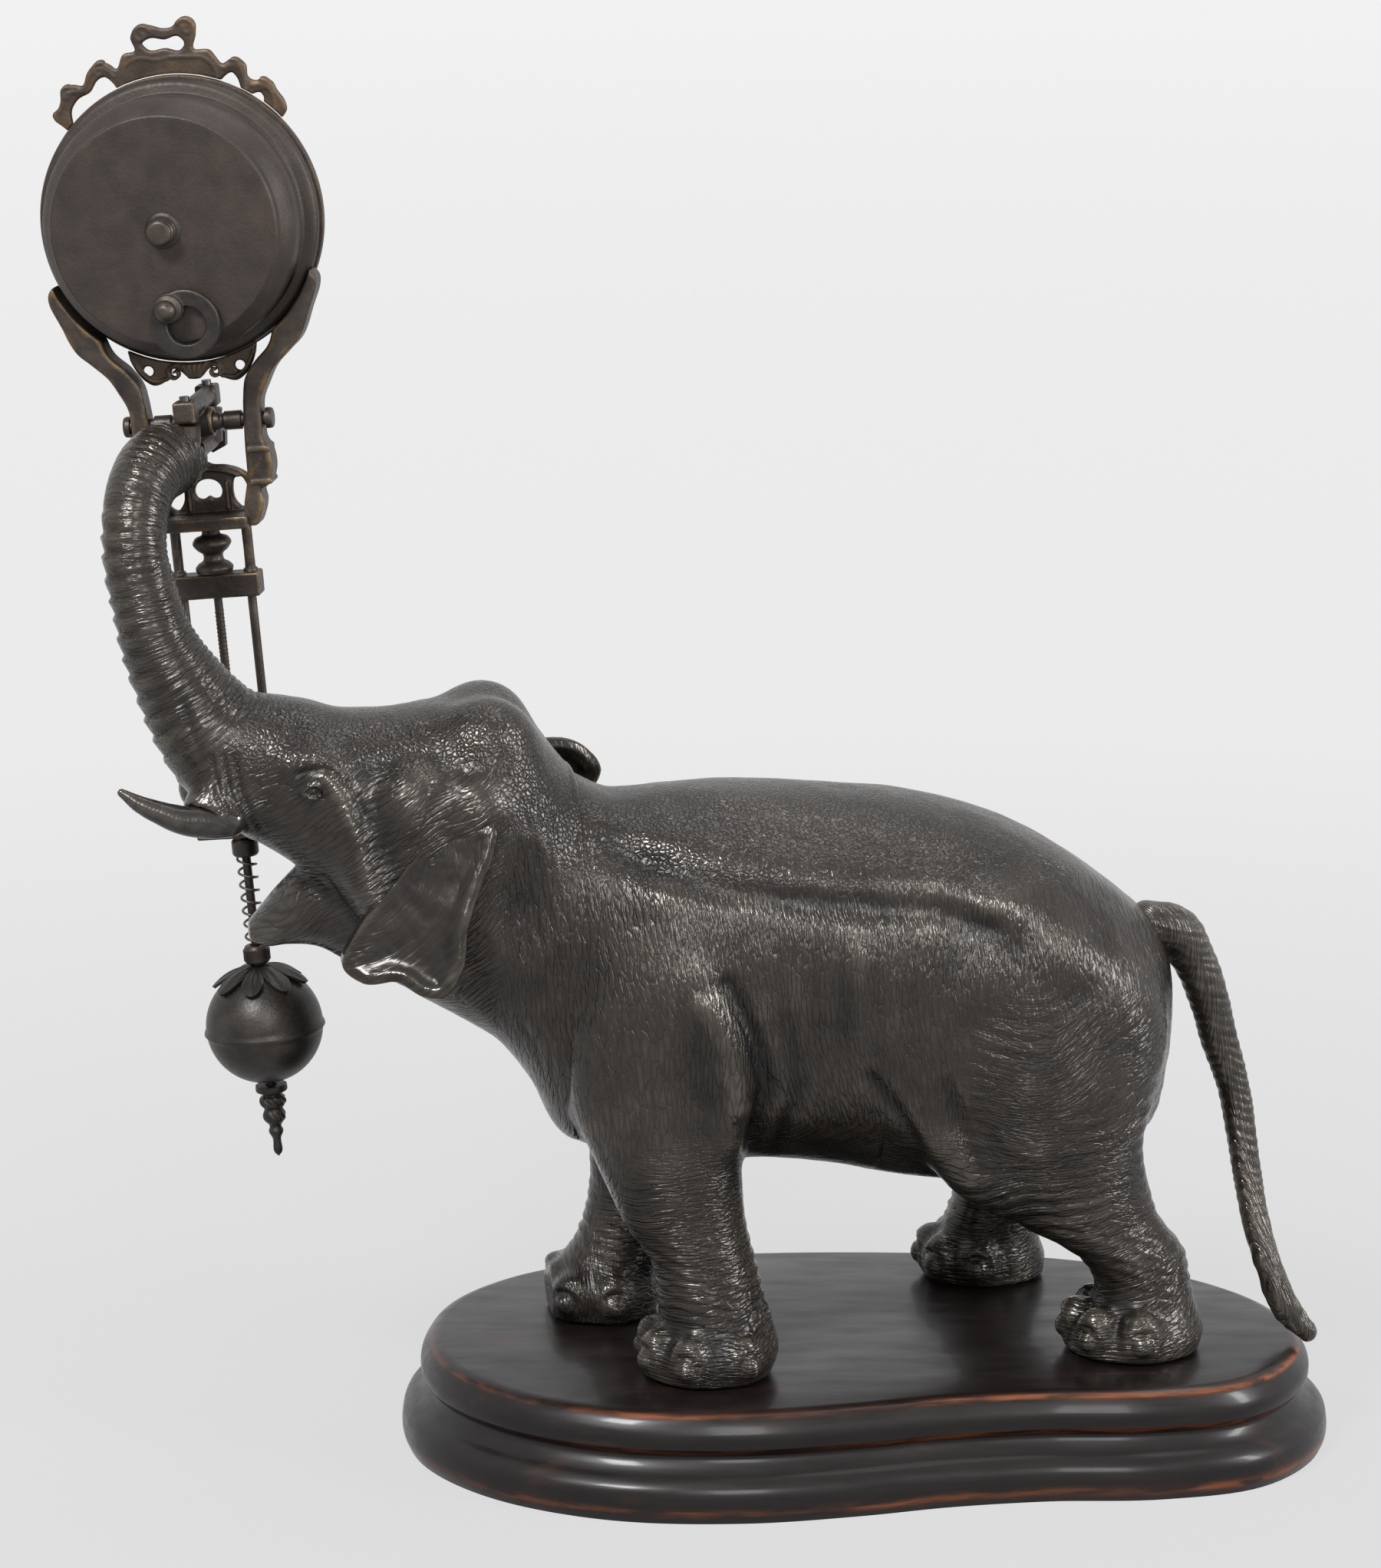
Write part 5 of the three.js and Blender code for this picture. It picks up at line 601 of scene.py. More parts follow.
# Folds of the skin: depth, width and their line in the side view
BODY_FOLDS = [
    (1.3, 1.5, [(-20, 104), (-15, 93), (-12.4, 82), (-14.6, 69)]),
    (0.7, 1.6, [(-8.4, 96), (-6, 82), (-9, 66)]),
    (0.8, 1.3, [(8, 84), (14, 76), (19, 66), (24, 58)]),
    (0.6, 1.2, [(23, 82), (27, 72), (31, 62)]),
    (-0.8, 4, [(-44, 134), (-21, 126.6), (0, 123.4), (21, 121.6), (32, 118)]),
    (1.2, 2.6, [(-44, 129), (-21, 121.6), (0, 118.4), (21, 116.6), (32, 113)]),
    (-0.9, 2.2, [(-24.6, 100), (-20.4, 90), (-18, 78)]),
]
HEAD_FOLDS = [
    (0.5, 0.6, [(-118.6, 148), (-117.6, 141), (-113.6, 133)]),
    (0.5, 0.6, [(-116.5, 148), (-115.5, 141), (-111.5, 133)]),
    (0.5, 0.6, [(-114.4, 148), (-113.4, 141), (-109.4, 133)]),
    (0.9, 0.8, [(-97.4, 123.4), (-93.4, 117.2), (-89.1, 112.2)]),
    (0.4, 0.7, [(-96.4, 120), (-91, 113.4)]),
    (0.6, 0.9, [(-102, 145), (-97, 146.4), (-92, 143), (-90, 137)]),
    (0.3, 1.5, [(-84, 124), (-78, 129), (-72, 132)]),
    (0.6, 2.2, [(-101, 146.4), (-93, 145.4), (-84, 147), (-76, 147.6)]),
    (-0.4, 1.3, [(-95, 142), (-91, 132), (-89, 120)]),
]
# Broad swellings of the body, and hollows: x, z, width, height and rise
BODY_SWELLINGS = [
    (26, 106, 6, 9, -0.9), (5, 108, 4, 7, 1.1), (30, 104, 4.5, 7, 1.1), (58, 98, 5, 10, 1.2),
    (-33, 121, 5, 4, 0.9), (40, 80, 4, 4, 0.8), (42, 67, 4, 3.4, 0.8), (-2, 86, 5, 10, -0.8),
    (18, 92, 5, 8, -0.7),
]


def skin_start(points, normals, size, seed, height, folds):
    """The skin's fine lumps and folds, and how much each point faces sideways."""
    outer = np.clip(np.abs(normals[:, 1]) * 1.4, 0, 1)
    push = rough_noise(points / size, seed) * height
    for depth, width, line in folds:
        push -= depth * outer * crease(points[:, [0, 2]], line, width)
    return push, outer


def body_relief(points, normals):
    """How far the skin of the body is pushed out, and its wrinkles' directions."""
    x, y, z = points.T
    push, outer = skin_start(points, normals, 9, 3, 0.16, BODY_FOLDS)
    for at_x, at_z, wide, tall, rise in BODY_SWELLINGS:
        push += rise * outer * bell(x, at_x, wide) * bell(z, at_z, tall)
    ribs = np.sin(x / 6.4 * 2 * math.pi + z * 0.02) * bell(x, 2, 18) * bell(z, 100, 14)
    push += 0.16 * outer * ribs
    # Rings round the thigh, and level folds on the lower legs and the chest
    hip = np.hypot(x - 40, z - 122)
    thigh = ease(x, 22, 36) * ease(-z, -104, -88) * ease(z, 36, 50)
    warp = lattice_noise(points / 14, 7) * 2.6
    broken = ease(lattice_noise(points / 9, 12), -0.5, 0.4)
    push += 0.2 * thigh * outer * broken * ripple(hip + warp, 2.9)
    shin = ease(-z, -64, -46) * ease(z, 31, 36)
    ankle = ease(-z, -56, -40)
    push += (0.08 + 0.14 * ankle * broken) * shin * ripple(z + 0.25 * x + warp * 0.5, 2.5)
    chest = ease(-x, 30, 44) * ease(-z, -112, -92)
    push += 0.12 * chest * broken * ripple(x + 0.4 * z + warp * 0.6, 2.6)
    push *= ease(x, NECK_SEAM, NECK_SEAM + RELIEF_FADE)
    ring = np.where(x > 12, hip, np.hypot(x + 30, z - 122)) + warp
    legs = np.maximum(thigh, ease(-z, -78, -62)) * ease(-z, -112, -96)
    legs = legs * ease(x, NECK_SEAM + 3, NECK_SEAM + 14)
    return push, flank_flow(points, normals), np.column_stack([ring, x + y, legs])


def flank_flow(points, normals):
    """The hatch of the flanks: across, along, and the share of pebbled skin."""
    x, _, z = points.T
    across = x + 0.1 * (z - 100) + lattice_noise(points / 24, 21) * 2
    edge = 121 - 0.05 * x + lattice_noise(points / 7, 22) * 1.5
    pebbled = ease(z - edge, -1.5, 2.5) * ease(normals[:, 2], 0.05, 0.35)
    return np.column_stack([across, z, pebbled])


def trunk_place(points):
    """Where points lie along the trunk: distance, offset from the line, share of radius."""
    path = smooth_path(TRUNK_POINTS, 160)
    along = run_along(path[:, :3])
    best = np.full(len(points), 1e9)
    place = np.zeros(len(points), int)
    for k, centre in enumerate(path[:, :3]):
        away = np.linalg.norm(points - centre, axis=1)
        closer = away < best
        best[closer] = away[closer]
        place[closer] = k
    after = np.minimum(place + 1, len(path) - 1)
    before = np.maximum(place - 1, 0)
    forward = path[after, :3] - path[before, :3]
    forward /= np.linalg.norm(forward, axis=1, keepdims=True)
    offset = points - path[place, :3]
    distance = along[place] + np.einsum("ij,ij->i", offset, forward)
    return distance, offset, best / path[place, 3]


def head_relief(points, normals):
    """The same for the head and the trunk."""
    x, y, z = points.T
    push, outer = skin_start(points, normals, 7, 11, 0.12, HEAD_FOLDS)
    along, offset, share = trunk_place(points)
    on_trunk = ease(along, 9, 19) * ease(-share, -1.6, -1.1)
    front = ease(-normals[:, 0], 0.25, 0.75)
    warp = lattice_noise(points / 8, 31)
    # Stepped ridges on the trunk's front, and finer rings all round it
    stair = (along + 0.5 * warp) / 3.7 % 1
    stair = np.where(stair < 0.8, stair / 0.8, (1 - stair) / 0.2)
    push += on_trunk * front * ease(-along, -66, -58) * 0.75 * (stair - 0.5)
    push += on_trunk * (1 - front) * 0.13 * ripple(along + 0.8 * warp, 1.7)
    view = points[:, [0, 2]]
    push -= 0.35 * on_trunk * crease(view, [(-124, 158), (-122, 152), (-120, 147)], 1.2)
    band = crease(view, [(-94, 139), (-88.4, 129), (-83, 118)], 7)
    push += 0.12 * outer * band * ripple(z - 0.35 * x + warp, 1.9)
    broken = ease(lattice_noise(points / 10, 41), -0.6, 0.3)
    push += 0.1 * ease(x, -66, -56) * outer * broken * ripple(x + 0.25 * z + 2 * warp, 2.7)
    push *= ease(-x, -NECK_SEAM, -NECK_SEAM + RELIEF_FADE)
    # The face's own hatch, which gives way to the flank's behind the head
    ray = 0.75 * z - 0.5 * x + warp * 1.2
    top = 145.6 + lattice_noise(points / 6, 23) * 1.4
    flank = flank_flow(points, normals)
    neck = ease(x, -68, -60) * (1 - on_trunk)
    pebbled = ease(z - top, -1, 2) * (1 - on_trunk) * (1 - neck) + flank[:, 2] * neck
    face = x < -90
    limb = np.column_stack([
        np.where(face, along, flank[:, 0]),
        np.where(face, offset[:, 1] + 0.4 * y, flank[:, 1]),
        np.where(face, on_trunk * ease(-x, 91, 98), neck * (1 - flank[:, 2])),
    ])
    return push, np.column_stack([ray, x, pebbled]), limb


def rubbed(points, quads, rounds=6):
    """1 where a skin stands proud and is rubbed, down to -1 in its hollows."""
    proud = bulge(points, quads, mesh_normals(points, quads), rounds)
    return np.clip(proud / (np.std(proud) * 2.5 + 1e-9), -1, 1)


def carve_piece(name, clay, relief):
    """Draws the clay's skin, pushes its relief out and stores what the paint reads."""
    points, quads = clay.skin()
    normals = mesh_normals(points, quads)
    push, flow, limb = relief(points, normals)
    points = points + normals * push[:, None]
    worn = rubbed(points, quads) * (1 - bell(points[:, 0], NECK_SEAM, 2.5))
    placed = moved(points, elephant_matrix())
    return make_mesh(name, placed, quads.tolist(), flow=flow, limb=limb, worn=worn)


NEAR_EAR_OUTLINE = [
    [-94.6, 107.2], [-91, 104.8], [-84, 105.2], [-80, 102.9], [-76, 102.5], [-71.9, 108],
    [-70.6, 116], [-67.8, 124], [-65, 130.4], [-64.6, 134.8], [-69, 136], [-78, 131],
    [-86, 122], [-92, 114],
]
FAR_EAR_OUTLINE = [
    [-91, 107], [-86, 103.6], [-78, 101.4], [-70, 102], [-60, 108.6], [-50, 117.6],
    [-41, 127.6], [-37.8, 134], [-42.7, 140.2], [-52, 141.4], [-66, 136.6], [-76, 127.6],
    [-84, 117.6],
]
EAR_ROOT_Y = 22.6
EAR_ROOT_LINE = ((-94.6, 107.2), (-69, 134.6))
EAR_FLARES = {NEAR: 0.42, FAR: 0.2}
EAR_REACH = (13, 40)
EAR_STEP = 0.36


def closed_curve(points, count):
    """A closed outline resampled on a smooth curve through its points."""
    table = np.array(points, float)
    wrapped = np.vstack([table[-2:], table, table[:2]])
    along = run_along(wrapped)
    places = np.linspace(along[2], along[-2], count, endpoint=False)
    return read_rows(np.column_stack([along, wrapped]), places)


def outline_distance(outline, x, z):
    """The signed distance in the side view from a closed outline, less than 0 inside."""
    px, pz = np.broadcast_arrays(x, z)
    least = np.full(px.shape, 1e9)
    inside = np.zeros(px.shape, bool)
    ends = np.roll(outline, -1, axis=0)
    for (ax, az), (bx, bz) in zip(outline, ends):
        ex, ez = bx - ax, bz - az
        t = np.clip(((px - ax) * ex + (pz - az) * ez) / (ex * ex + ez * ez + 1e-12), 0, 1)
        least = np.minimum(least, (px - ax - t * ex) ** 2 + (pz - az - t * ez) ** 2)
        if az != bz:
            crossed = (az > pz) != (bz > pz)
            inside ^= crossed & (px < ax + (pz - az) / (bz - az) * ex)
    least = np.sqrt(least)
    return np.where(inside, -least, least)


def plate_form(outline, y0, y1, rounding=0.4, holes=()):
    """An upright plate between two depths, its edges rounded."""

    def distance(x, y, z):
        flat = outline_distance(outline, x, z)
        for hole in holes:
            flat = np.maximum(flat, -outline_distance(hole, x, z))
        return meet(rounding, flat, np.abs(y - (y0 + y1) / 2) - (y1 - y0) / 2)

    return distance


def past_ear_root(x, z):
    """How far places lie past the line where the ear grows from the head."""
    (x0, z0), (x1, z1) = EAR_ROOT_LINE
    length = math.hypot(x1 - x0, z1 - z0)
    return ((x - x0) * (z1 - z0) - (z - z0) * (x1 - x0)) / length


def ear_form(outline, side):
    smooth = closed_curve(outline, 110)

    def distance(x, y, z):
        flat = outline_distance(smooth, x, z)
        grown = past_ear_root(x, z)
        middle = EAR_ROOT_Y - 2.4 * np.exp(-((grown / 6) ** 2)) + 0.5 * np.minimum(grown, 0)
        middle = middle + EAR_FLARES[side] * np.maximum(grown, 0)
        middle = middle + 0.6 * np.sin((x + z) / 6.2) * np.clip(grown / 10, 0, 1)
        rim = np.exp(-(((flat + 1.9) / 1.3) ** 2)) * np.clip(grown / 5, 0, 1)
        root = np.exp(-((np.maximum(grown, 0) / 4.5) ** 2))
        deep = np.abs(y - side * middle) - (0.7 + 1.15 * rim + 1.9 * root)
        return meet(0.5, flat, deep)

    return distance


EAR_RIB_ROOT = (-86, 124)
EAR_RIB_TIPS = ((-74, 106), (-82, 105), (-69, 118))


def ear_relief(points, normals):
    """Fine lumps and raised ribs, and the hatch that runs round the ear's root."""
    x, _, z = points.T
    outer = np.clip(np.abs(normals[:, 1]) * 1.3, 0, 1)
    push = rough_noise(points / 4, 5) * 0.1
    root_x, root_z = EAR_RIB_ROOT
    for tip_x, tip_z in EAR_RIB_TIPS:
        middle = ((root_x + tip_x) / 2 + 1.4, (root_z + tip_z) / 2 - 1)
        rib = crease(points[:, [0, 2]], [EAR_RIB_ROOT, middle, (tip_x, tip_z)], 1.6)
        push += 0.12 * outer * rib
    none = np.zeros(len(x))
    away = np.hypot(x + 96, z - 132)
    return push, np.column_stack([away, x - z, none]), np.zeros(points.shape)


def tail_relief(points, _normals):
    """Rings round the tail, and the strands of its tuft."""
    x, y, z = points.T
    rings = ripple(z + 0.3 * x + lattice_noise(points / 5, 4), 1.9)
    push = 0.07 * rings * ease(z, 42, 50) + rough_noise(points / 4, 9) * 0.08
    push += 0.3 * (1 - ease(z, 38, 44)) * lattice_noise(points * [1.1, 1.1, 0.12], 6)
    none = np.zeros(len(x))
    return push, np.column_stack([1.6 * (x + y), z * 0.5, none]), np.zeros(points.shape)


def tusk_relief(points, _normals):
    """Fine lumps along the tusk."""
    x, y, z = points.T
    none = np.zeros(len(x))
    push = rough_noise(points / 2, 8) * 0.04
    return push, np.column_stack([y + z, x, none]), np.zeros(points.shape)


def build_ear_clay(outline, side):
    (x0, z0), (x1, z1) = np.min(outline, axis=0) - 3, np.max(outline, axis=0) + 3
    y0, y1 = sorted(side * y for y in EAR_REACH)
    clay = Clay((x0, y0, z0), (x1, y1, z1), EAR_STEP)
    clay.add(ear_form(outline, side), 0.3)
    return clay


def build_path_clay(rows, count, step, margin):
    table = np.array(rows, float)[:, :3]
    clay = Clay(table.min(axis=0) - margin, table.max(axis=0) + margin, step)
    clay.add(path_form(rows, count), 0.5)
    return clay


# The clock's pieces, in the swinging clock's millimetres
def turned(name, profile, steps, axis="z", at=(0, 0), matrix=None, twist=None, hollow=False):
    """A turned piece from its profile of [radius, place along the axis]."""
    points, rings, faces = [], [], []
    angles = np.linspace(0, 2 * math.pi, steps, endpoint=False)
    for radius, place in profile:
        start = len(points)
        if radius < 1e-6 and not hollow:
            points.append((0.0, 0.0, place))
        else:
            reach = radius + (twist(angles, place, radius) if twist else 0)
            points.extend(zip(reach * np.cos(angles), reach * np.sin(angles), [place] * steps))
        rings.append(range(start, len(points)))
    loops = list(zip(rings, rings[1:]))
    if hollow:
        loops.append((rings[-1], rings[0]))
    for lower, upper in loops:
        for k in range(steps):
            # A ring that is one point on the axis gives triangles
            turns = ((lower, k), (lower, k + 1), (upper, k + 1), (upper, k))
            corners = list(dict.fromkeys(ring[turn % len(ring)] for ring, turn in turns))
            if len(corners) > 2:
                faces.append(corners)
    places = np.array(points)
    if axis == "y":
        places = places[:, [0, 2, 1]] * [-1, 1, 1] + [at[0], 0, at[1]]
    elif axis == "x":
        places = places[:, [2, 0, 1]] + [0, at[0], at[1]]
    else:
        places = places + [at[0], at[1], 0]
    return make_loose(name, moved(places, matrix or swing_matrix()), faces)


def rounded_profile(corners, radius, arcs):
    """A profile with rounded corners: rows of [radius, place], or with a rounding of their own."""
    places = [np.array(corner[:2], float) for corner in corners]
    out = [tuple(places[0])]
    for corner, before, here, after in zip(corners[1:], places, places[1:], places[2:]):
        size = corner[2] if len(corner) > 2 else radius
        if size <= 0:
            out.append(tuple(here))
            continue
        before, after = before - here, after - here
        spans = np.linalg.norm(before), np.linalg.norm(after)
        reach = min(size, 0.45 * spans[0], 0.45 * spans[1])
        start, end = here + before / spans[0] * reach, here + after / spans[1] * reach
        for t in np.linspace(0, 1, arcs + 1):
            out.append(tuple((1 - t) ** 2 * start + 2 * t * (1 - t) * here + t * t * end))
    return out + [tuple(places[-1])]


def smooth_profile(rows, per_span):
    """A profile on a smooth curve through rows of [radius, place]."""
    table = np.array(rows, float)
    along = run_along(table)
    places = np.linspace(0, along[-1], per_span * (len(rows) - 1) + 1)
    return [tuple(row) for row in read_rows(np.column_stack([along, table]), places)]


def set_edges(made, degrees=32):
    """Sharp edges stay sharp in a smooth-shaded piece."""
    work = bmesh.new()
    work.from_mesh(made.data)
    for face in work.faces:
        face.smooth = True
    for edge in work.edges:
        edge.smooth = len(edge.link_faces) == 2 and edge.calc_face_angle(0) < math.radians(degrees)
    work.to_mesh(made.data)
    work.free()
    return made


def turn_rounded(name, corners, steps, axis="z", at=(0, 0), hollow=False, radius=0.3, arcs=4):
    """A turned piece, with the corners of its profile rounded and its edges set."""
    profile = rounded_profile(corners, radius, arcs)
    return set_edges(turned(name, profile, steps, axis, at, hollow=hollow))


def cast_plate(name, build, low, high, step):
    """A cast piece from clay in the swinging clock's frame."""
    clay = Clay(low, high, step)
    build(clay)
    points, quads = clay.skin()
    push = rough_noise(points / 2.2, 17) * 0.03
    points = points + mesh_normals(points, quads) * push[:, None]
    placed = moved(points, swing_matrix())
    return make_mesh(name, placed, quads.tolist(), worn=rubbed(points, quads, 3))


# The clock's own dimensions, most of them as in the CAD model
CAN_BACK = -13
FLANGE_RADIUS = 28
BAND_BACK = 0.4
BEZEL_SEAT = 25.3
BEZEL_RADIUS = 28.4
BEZEL_BACK, BEZEL_FRONT = 4.6, 11.2
GLASS_RADIUS = 24.6
GLASS_SEAT = 9.9
GLASS_DOME = 1.2
GLASS_THICK = 0.9
DIAL_RADIUS = 24.8
DIAL_AT = 6.2
DIAL_FRONT = 6.8
WIND_ARBOR_DROP = 15
FIRST_BAR_Z = (-21.8, -19.2)
SECOND_BAR_Z = (-36, -31.2)
POST_TOP_Z = -22.1
THIRD_BAR_Z = (-77, -72.4)
FOURTH_BAR_Z = (-85.4, -82.8)
BAR_HALF = 9.2
SPRING_TOP_Z = -89.7
SPRING_FOOT_Z = -107.8
SPRING_RADIUS = 1.85
THREAD_RADIUS, THREAD_WIRE = 0.84, 0.13
THREAD_HEIGHT, THREAD_TURNS = 33, 41.0
THREAD_FOOT_Z = -71.8
RING_NUT_TOP_Z = -108.1
RING_NUT_FOOT_Z = -111.9
BALL_RADIUS = 11.9
BALL_CENTRE_Z = -125
LEAF_OUTER, LEAF_INNER = 12.75, 12.1
FINIAL_TOP_Z = -137.6
FINIAL_TIP_Z = -152.9
FINIAL_BORE_END_Z = -145.4
BORE = 1.25
ROD_AT = 6.95
CAST_FIT = 0.15
ARM_OUTLINE = [
    [26.8, 27.4], [24.8, 19.8], [22.4, 14.8], [19.6, 12.2], [16.6, 9.2], [14.9, 6.2],
    [13.6, 3.6], [13.2, -2], [13.2, -4.6], [14, -6.2], [14, -12.4], [13, -14], [11.9, -14.4],
    [12, -17], [11.4, -19.4], [9.9, -21.8], [9.1, -21.8], [9.2, -11], [9.5, -2], [10, 4],
    [10.6, 7.4], [12.8, 10.8], [16, 14], [18, 20], [23, 30],
]
ARM_BANDS = (-6.4, -13)
CREST_OUTLINE = [
    [-24.2, -6.3], [-22.1, -4.3], [-22.1, -2.7], [-21, -1], [-19.4, -0.5], [-17.4, -0.9],
    [-16.3, 1.5], [-15, 2.9], [-13.2, 3.5], [-11.6, 2.9], [-10.4, 1.9], [-8.6, 4.7],
    [-6.2, 5.1], [-6.8, 7.9], [-5.6, 9.6], [-3.2, 10], [0, 9.1], [1.7, 9.3], [3, 10.5],
    [4.9, 10.8], [6.3, 9.9], [6.4, 7.7], [5.6, 4.7], [8.9, 4.2], [9.9, 2.7],
    [11, 1.3], [12.6, 2.1], [14.4, 2.1], [15.7, 0.9], [16, -1.7], [17.2, -2.4], [19, -2.1],
    [20.6, -2.8], [21.4, -4.5], [22.8, -6.9], [23, -8.6], [22, -10], [19, -14], [15, -17],
    [-15, -17], [-20, -11], [-22.6, -8.4], [-23.8, -7.4],
]
CREST_GAPS = [
    [
        [-4.6, 6.5], [-3, 7.3], [0, 6.9], [2.8, 7.3], [3.9, 5.9], [3, 4.7], [0, 5.2],
        [-3.4, 5.1],
    ],
    [
        [-20, -5.3], [-18.6, -3.5], [-16, -2.3], [-14.2, 0], [-13, 0.5], [-11.4, -0.7],
        [-11, -7.7], [-19, -10.7],
    ],
    [[10.7, -1.7], [12.9, -0.6], [13.7, -1.7], [14.2, -3.6], [13.6, -7.7], [10.7, -6.7]],
    [[16.7, -5], [18.1, -4.9], [18.6, -5.8], [18.3, -7.1], [17, -9.7], [16.4, -8.7]],
]
CREST_AT = 6.6
ORNAMENT_HALF_OUTLINE = [
    [0, 7.8], [1.4, 8.2], [2.9, 9.6], [4.3, 10.2], [5, 8.8], [6.2, 7.6], [8.4, 7], [10, 7.9],
    [12.2, 11], [13.2, 15.6],
]
ORNAMENT_AT = 1.5
GALLERY_OUTLINE = [
    [-8.8, -19.6], [-8.8, -12.4], [-7, -11], [-4, -9.9], [-1.2, -9.6], [0, -9.1], [1.2, -9.6],
    [4, -9.9], [7, -11], [8.8, -12.4], [8.8, -19.6],
]
GALLERY_ARCH = [
    [-2.8, -14.9], [-2.2, -13.4], [-1.1, -12.7], [1.1, -12.7], [2.2, -13.4], [2.8, -14.9],
    [2.3, -16.2], [1, -16.5], [0, -15.9], [-1, -16.5], [-2.3, -16.2],
]
GALLERY_SIDE = [
    [5, -14.4], [5.6, -12.6], [6.9, -12.4], [7.8, -13.8], [7.8, -17.9], [6.6, -18.5],
    [5.6, -17.6],
]
VASE_BEADS = [
    [3.6, 0], [3.8, 0.1], [3.2, 0.19], [2.1, 0.28], [2, 0.4], [3.2, 0.53], [3.9, 0.67],
    [3.4, 0.78], [1.9, 0.87], [1.8, 1],
]
LOWER_VASE_BEADS = [[3.4, 0], [2.6, 0.2], [2, 0.5], [3.2, 0.8], [2.6, 1]]
FINIAL_BEADS = [
    [0, 0], [0.7, 0.05], [0.9, 0.26], [1.5, 0.36], [1.2, 0.42], [2.2, 0.53], [2.2, 0.61],
    [1.9, 0.67], [2.5, 0.725], [2.5, 0.82], [1.9, 0.87], [3.2, 0.92], [3.2, 1],
]


def flipped(outline):
    """An outline mirrored left to right."""
    return [[-x, z] for x, z in reversed(outline)]


def raised(outline, rise):
    """An outline moved up."""
    return [[x, z + rise] for x, z in outline]


def box_form(x0, x1, y0, y1, z0, z1, rounding):
    """A block with rounded edges."""

    def distance(*places):
        ends = ((x0, x1), (y0, y1), (z0, z1))
        return meet(rounding, *(
            np.abs(place - (a + b) / 2) - (b - a) / 2 for place, (a, b) in zip(places, ends)))

    return distance


def rod_form(axis, at, radius, start=-999, end=999, rounding=0.15):
    """A round rod along an axis, through the place given by the two other coordinates."""

    def distance(x, y, z):
        places = [x, y, z]
        along = places.pop("xyz".index(axis))
        out = np.sqrt((places[0] - at[0]) ** 2 + (places[1] - at[1]) ** 2) - radius
        return meet(rounding, out, np.maximum(start - along, along - end))

    return distance


SCROLL_STEPS = 26


def curl(centre, start, turns, radius, lean):
    """A scroll's line in the side view, wound inwards to its eye."""
    rows = []
    for t in np.linspace(0, 1, SCROLL_STEPS):
        angle = start + lean * turns * 2 * math.pi * t
        reach = radius * (1 - 0.8 * t)
        rows.append([centre[0] + reach * math.cos(angle), centre[1] + reach * math.sin(angle)])
    return rows


def relief_line(clay, points, depth, size):
    """A raised cord along a line of the side view, on a plate's face at the depth."""
    rows = [[x, depth, z, size * (1 - 0.35 * k / len(points))] for k, (x, z) in enumerate(points)]
    places = np.array(rows)[:, :3]
    form = path_form(rows, max(16, 3 * len(rows)))
    clay.add(form, 0.35, (places.min(axis=0) - 2, places.max(axis=0) + 2))


def cut_round_drum(clay, radius):
    """Leaves room for the drum."""
    clay.cut(rod_form("y", (0, DRUM_CENTRE_Z), radius + CAST_FIT), 0.1)


# Raised lines of the crest, and its scrolls: centre, start, turns, radius and way
CREST_LINES = [
    [[-22.6, -5.6], [-20.6, -2.2], [-17.6, -1.9], [-15.4, 1.4], [-13, 2.2], [-10.8, 0.4]],
    [[-9.8, -6], [-9.4, -1], [-8, 2.6], [-5.6, 3.6], [-2, 3], [0.6, 3.4]],
    [[1, 3.4], [4.6, 3.2], [7.6, 2.8], [9.4, 0.6], [9.8, -4]],
    [[11.4, 0.4], [14, 1], [15, -1.6], [15.2, -5], [14.8, -8]],
    [[16.6, -3.4], [19, -3.4], [20.4, -5.4], [20.6, -8.4]],
]
CREST_SCROLLS = [
    ((-4.6, 8.1), 0.4, 1.1, 1.9, 1), ((4.6, 8.9), 2.6, 1.1, 1.9, -1),
    ((-13.6, 1.9), 1.2, 1, 1.5, 1), ((13.6, 0.9), 2, 1, 1.1, -1),
    ((-20.6, -2.3), 1.4, 1, 1.4, 1), ((18.8, -3.4), 1.8, 1, 1.1, -1),
]
PLATE_HALF = 0.7


def build_crest(clay):
    top = DRUM_CENTRE_Z + BEZEL_RADIUS
    outline = closed_curve(raised(CREST_OUTLINE, top), 190)
    holes = [closed_curve(raised(gap, top), 40) for gap in CREST_GAPS]
    front, back = CREST_AT + PLATE_HALF, CREST_AT - PLATE_HALF
    clay.add(plate_form(outline, back, front, 0.5, holes), 0.2)
    for line in CREST_LINES + [curl(*scroll) for scroll in CREST_SCROLLS]:
        relief_line(clay, raised(line, top), front, 0.55)
        relief_line(clay, raised(line, top), back + 0.3, 0.42)
    cut_round_drum(clay, BEZEL_RADIUS)


def build_ornament(clay):
    half = ORNAMENT_HALF_OUTLINE
    outline = closed_curve(flipped(half[1:]) + half, 120)
    front, back = ORNAMENT_AT + PLATE_HALF, ORNAMENT_AT - PLATE_HALF
    holes, lines = [], [[[0.5 * k, 8.4], [1.1 * k, 10.6]] for k in range(-2, 3)]
    for side in (-1, 1):
        angles = (0, *np.linspace(0.6, 5.7, 9))
        hole = [[side * 9.3 + math.cos(a), 10 + math.sin(a)] for a in angles]
        holes.append(closed_curve(hole, 20))
        lines.append(curl((side * 4, 9.2), math.pi / 2, 1.1, 1.5, -side))
        leaf = ((5.6, 8.2), (8.2, 7.9), (10.6, 9.6), (12.4, 12.6))
        lines.append([[side * x, z] for x, z in leaf])
    clay.add(plate_form(outline, back, front, 0.45, holes), 0.2)
    for line in lines:
        relief_line(clay, line, back, 0.42)
        relief_line(clay, line, front, 0.42)
    cut_round_drum(clay, FLANGE_RADIUS)


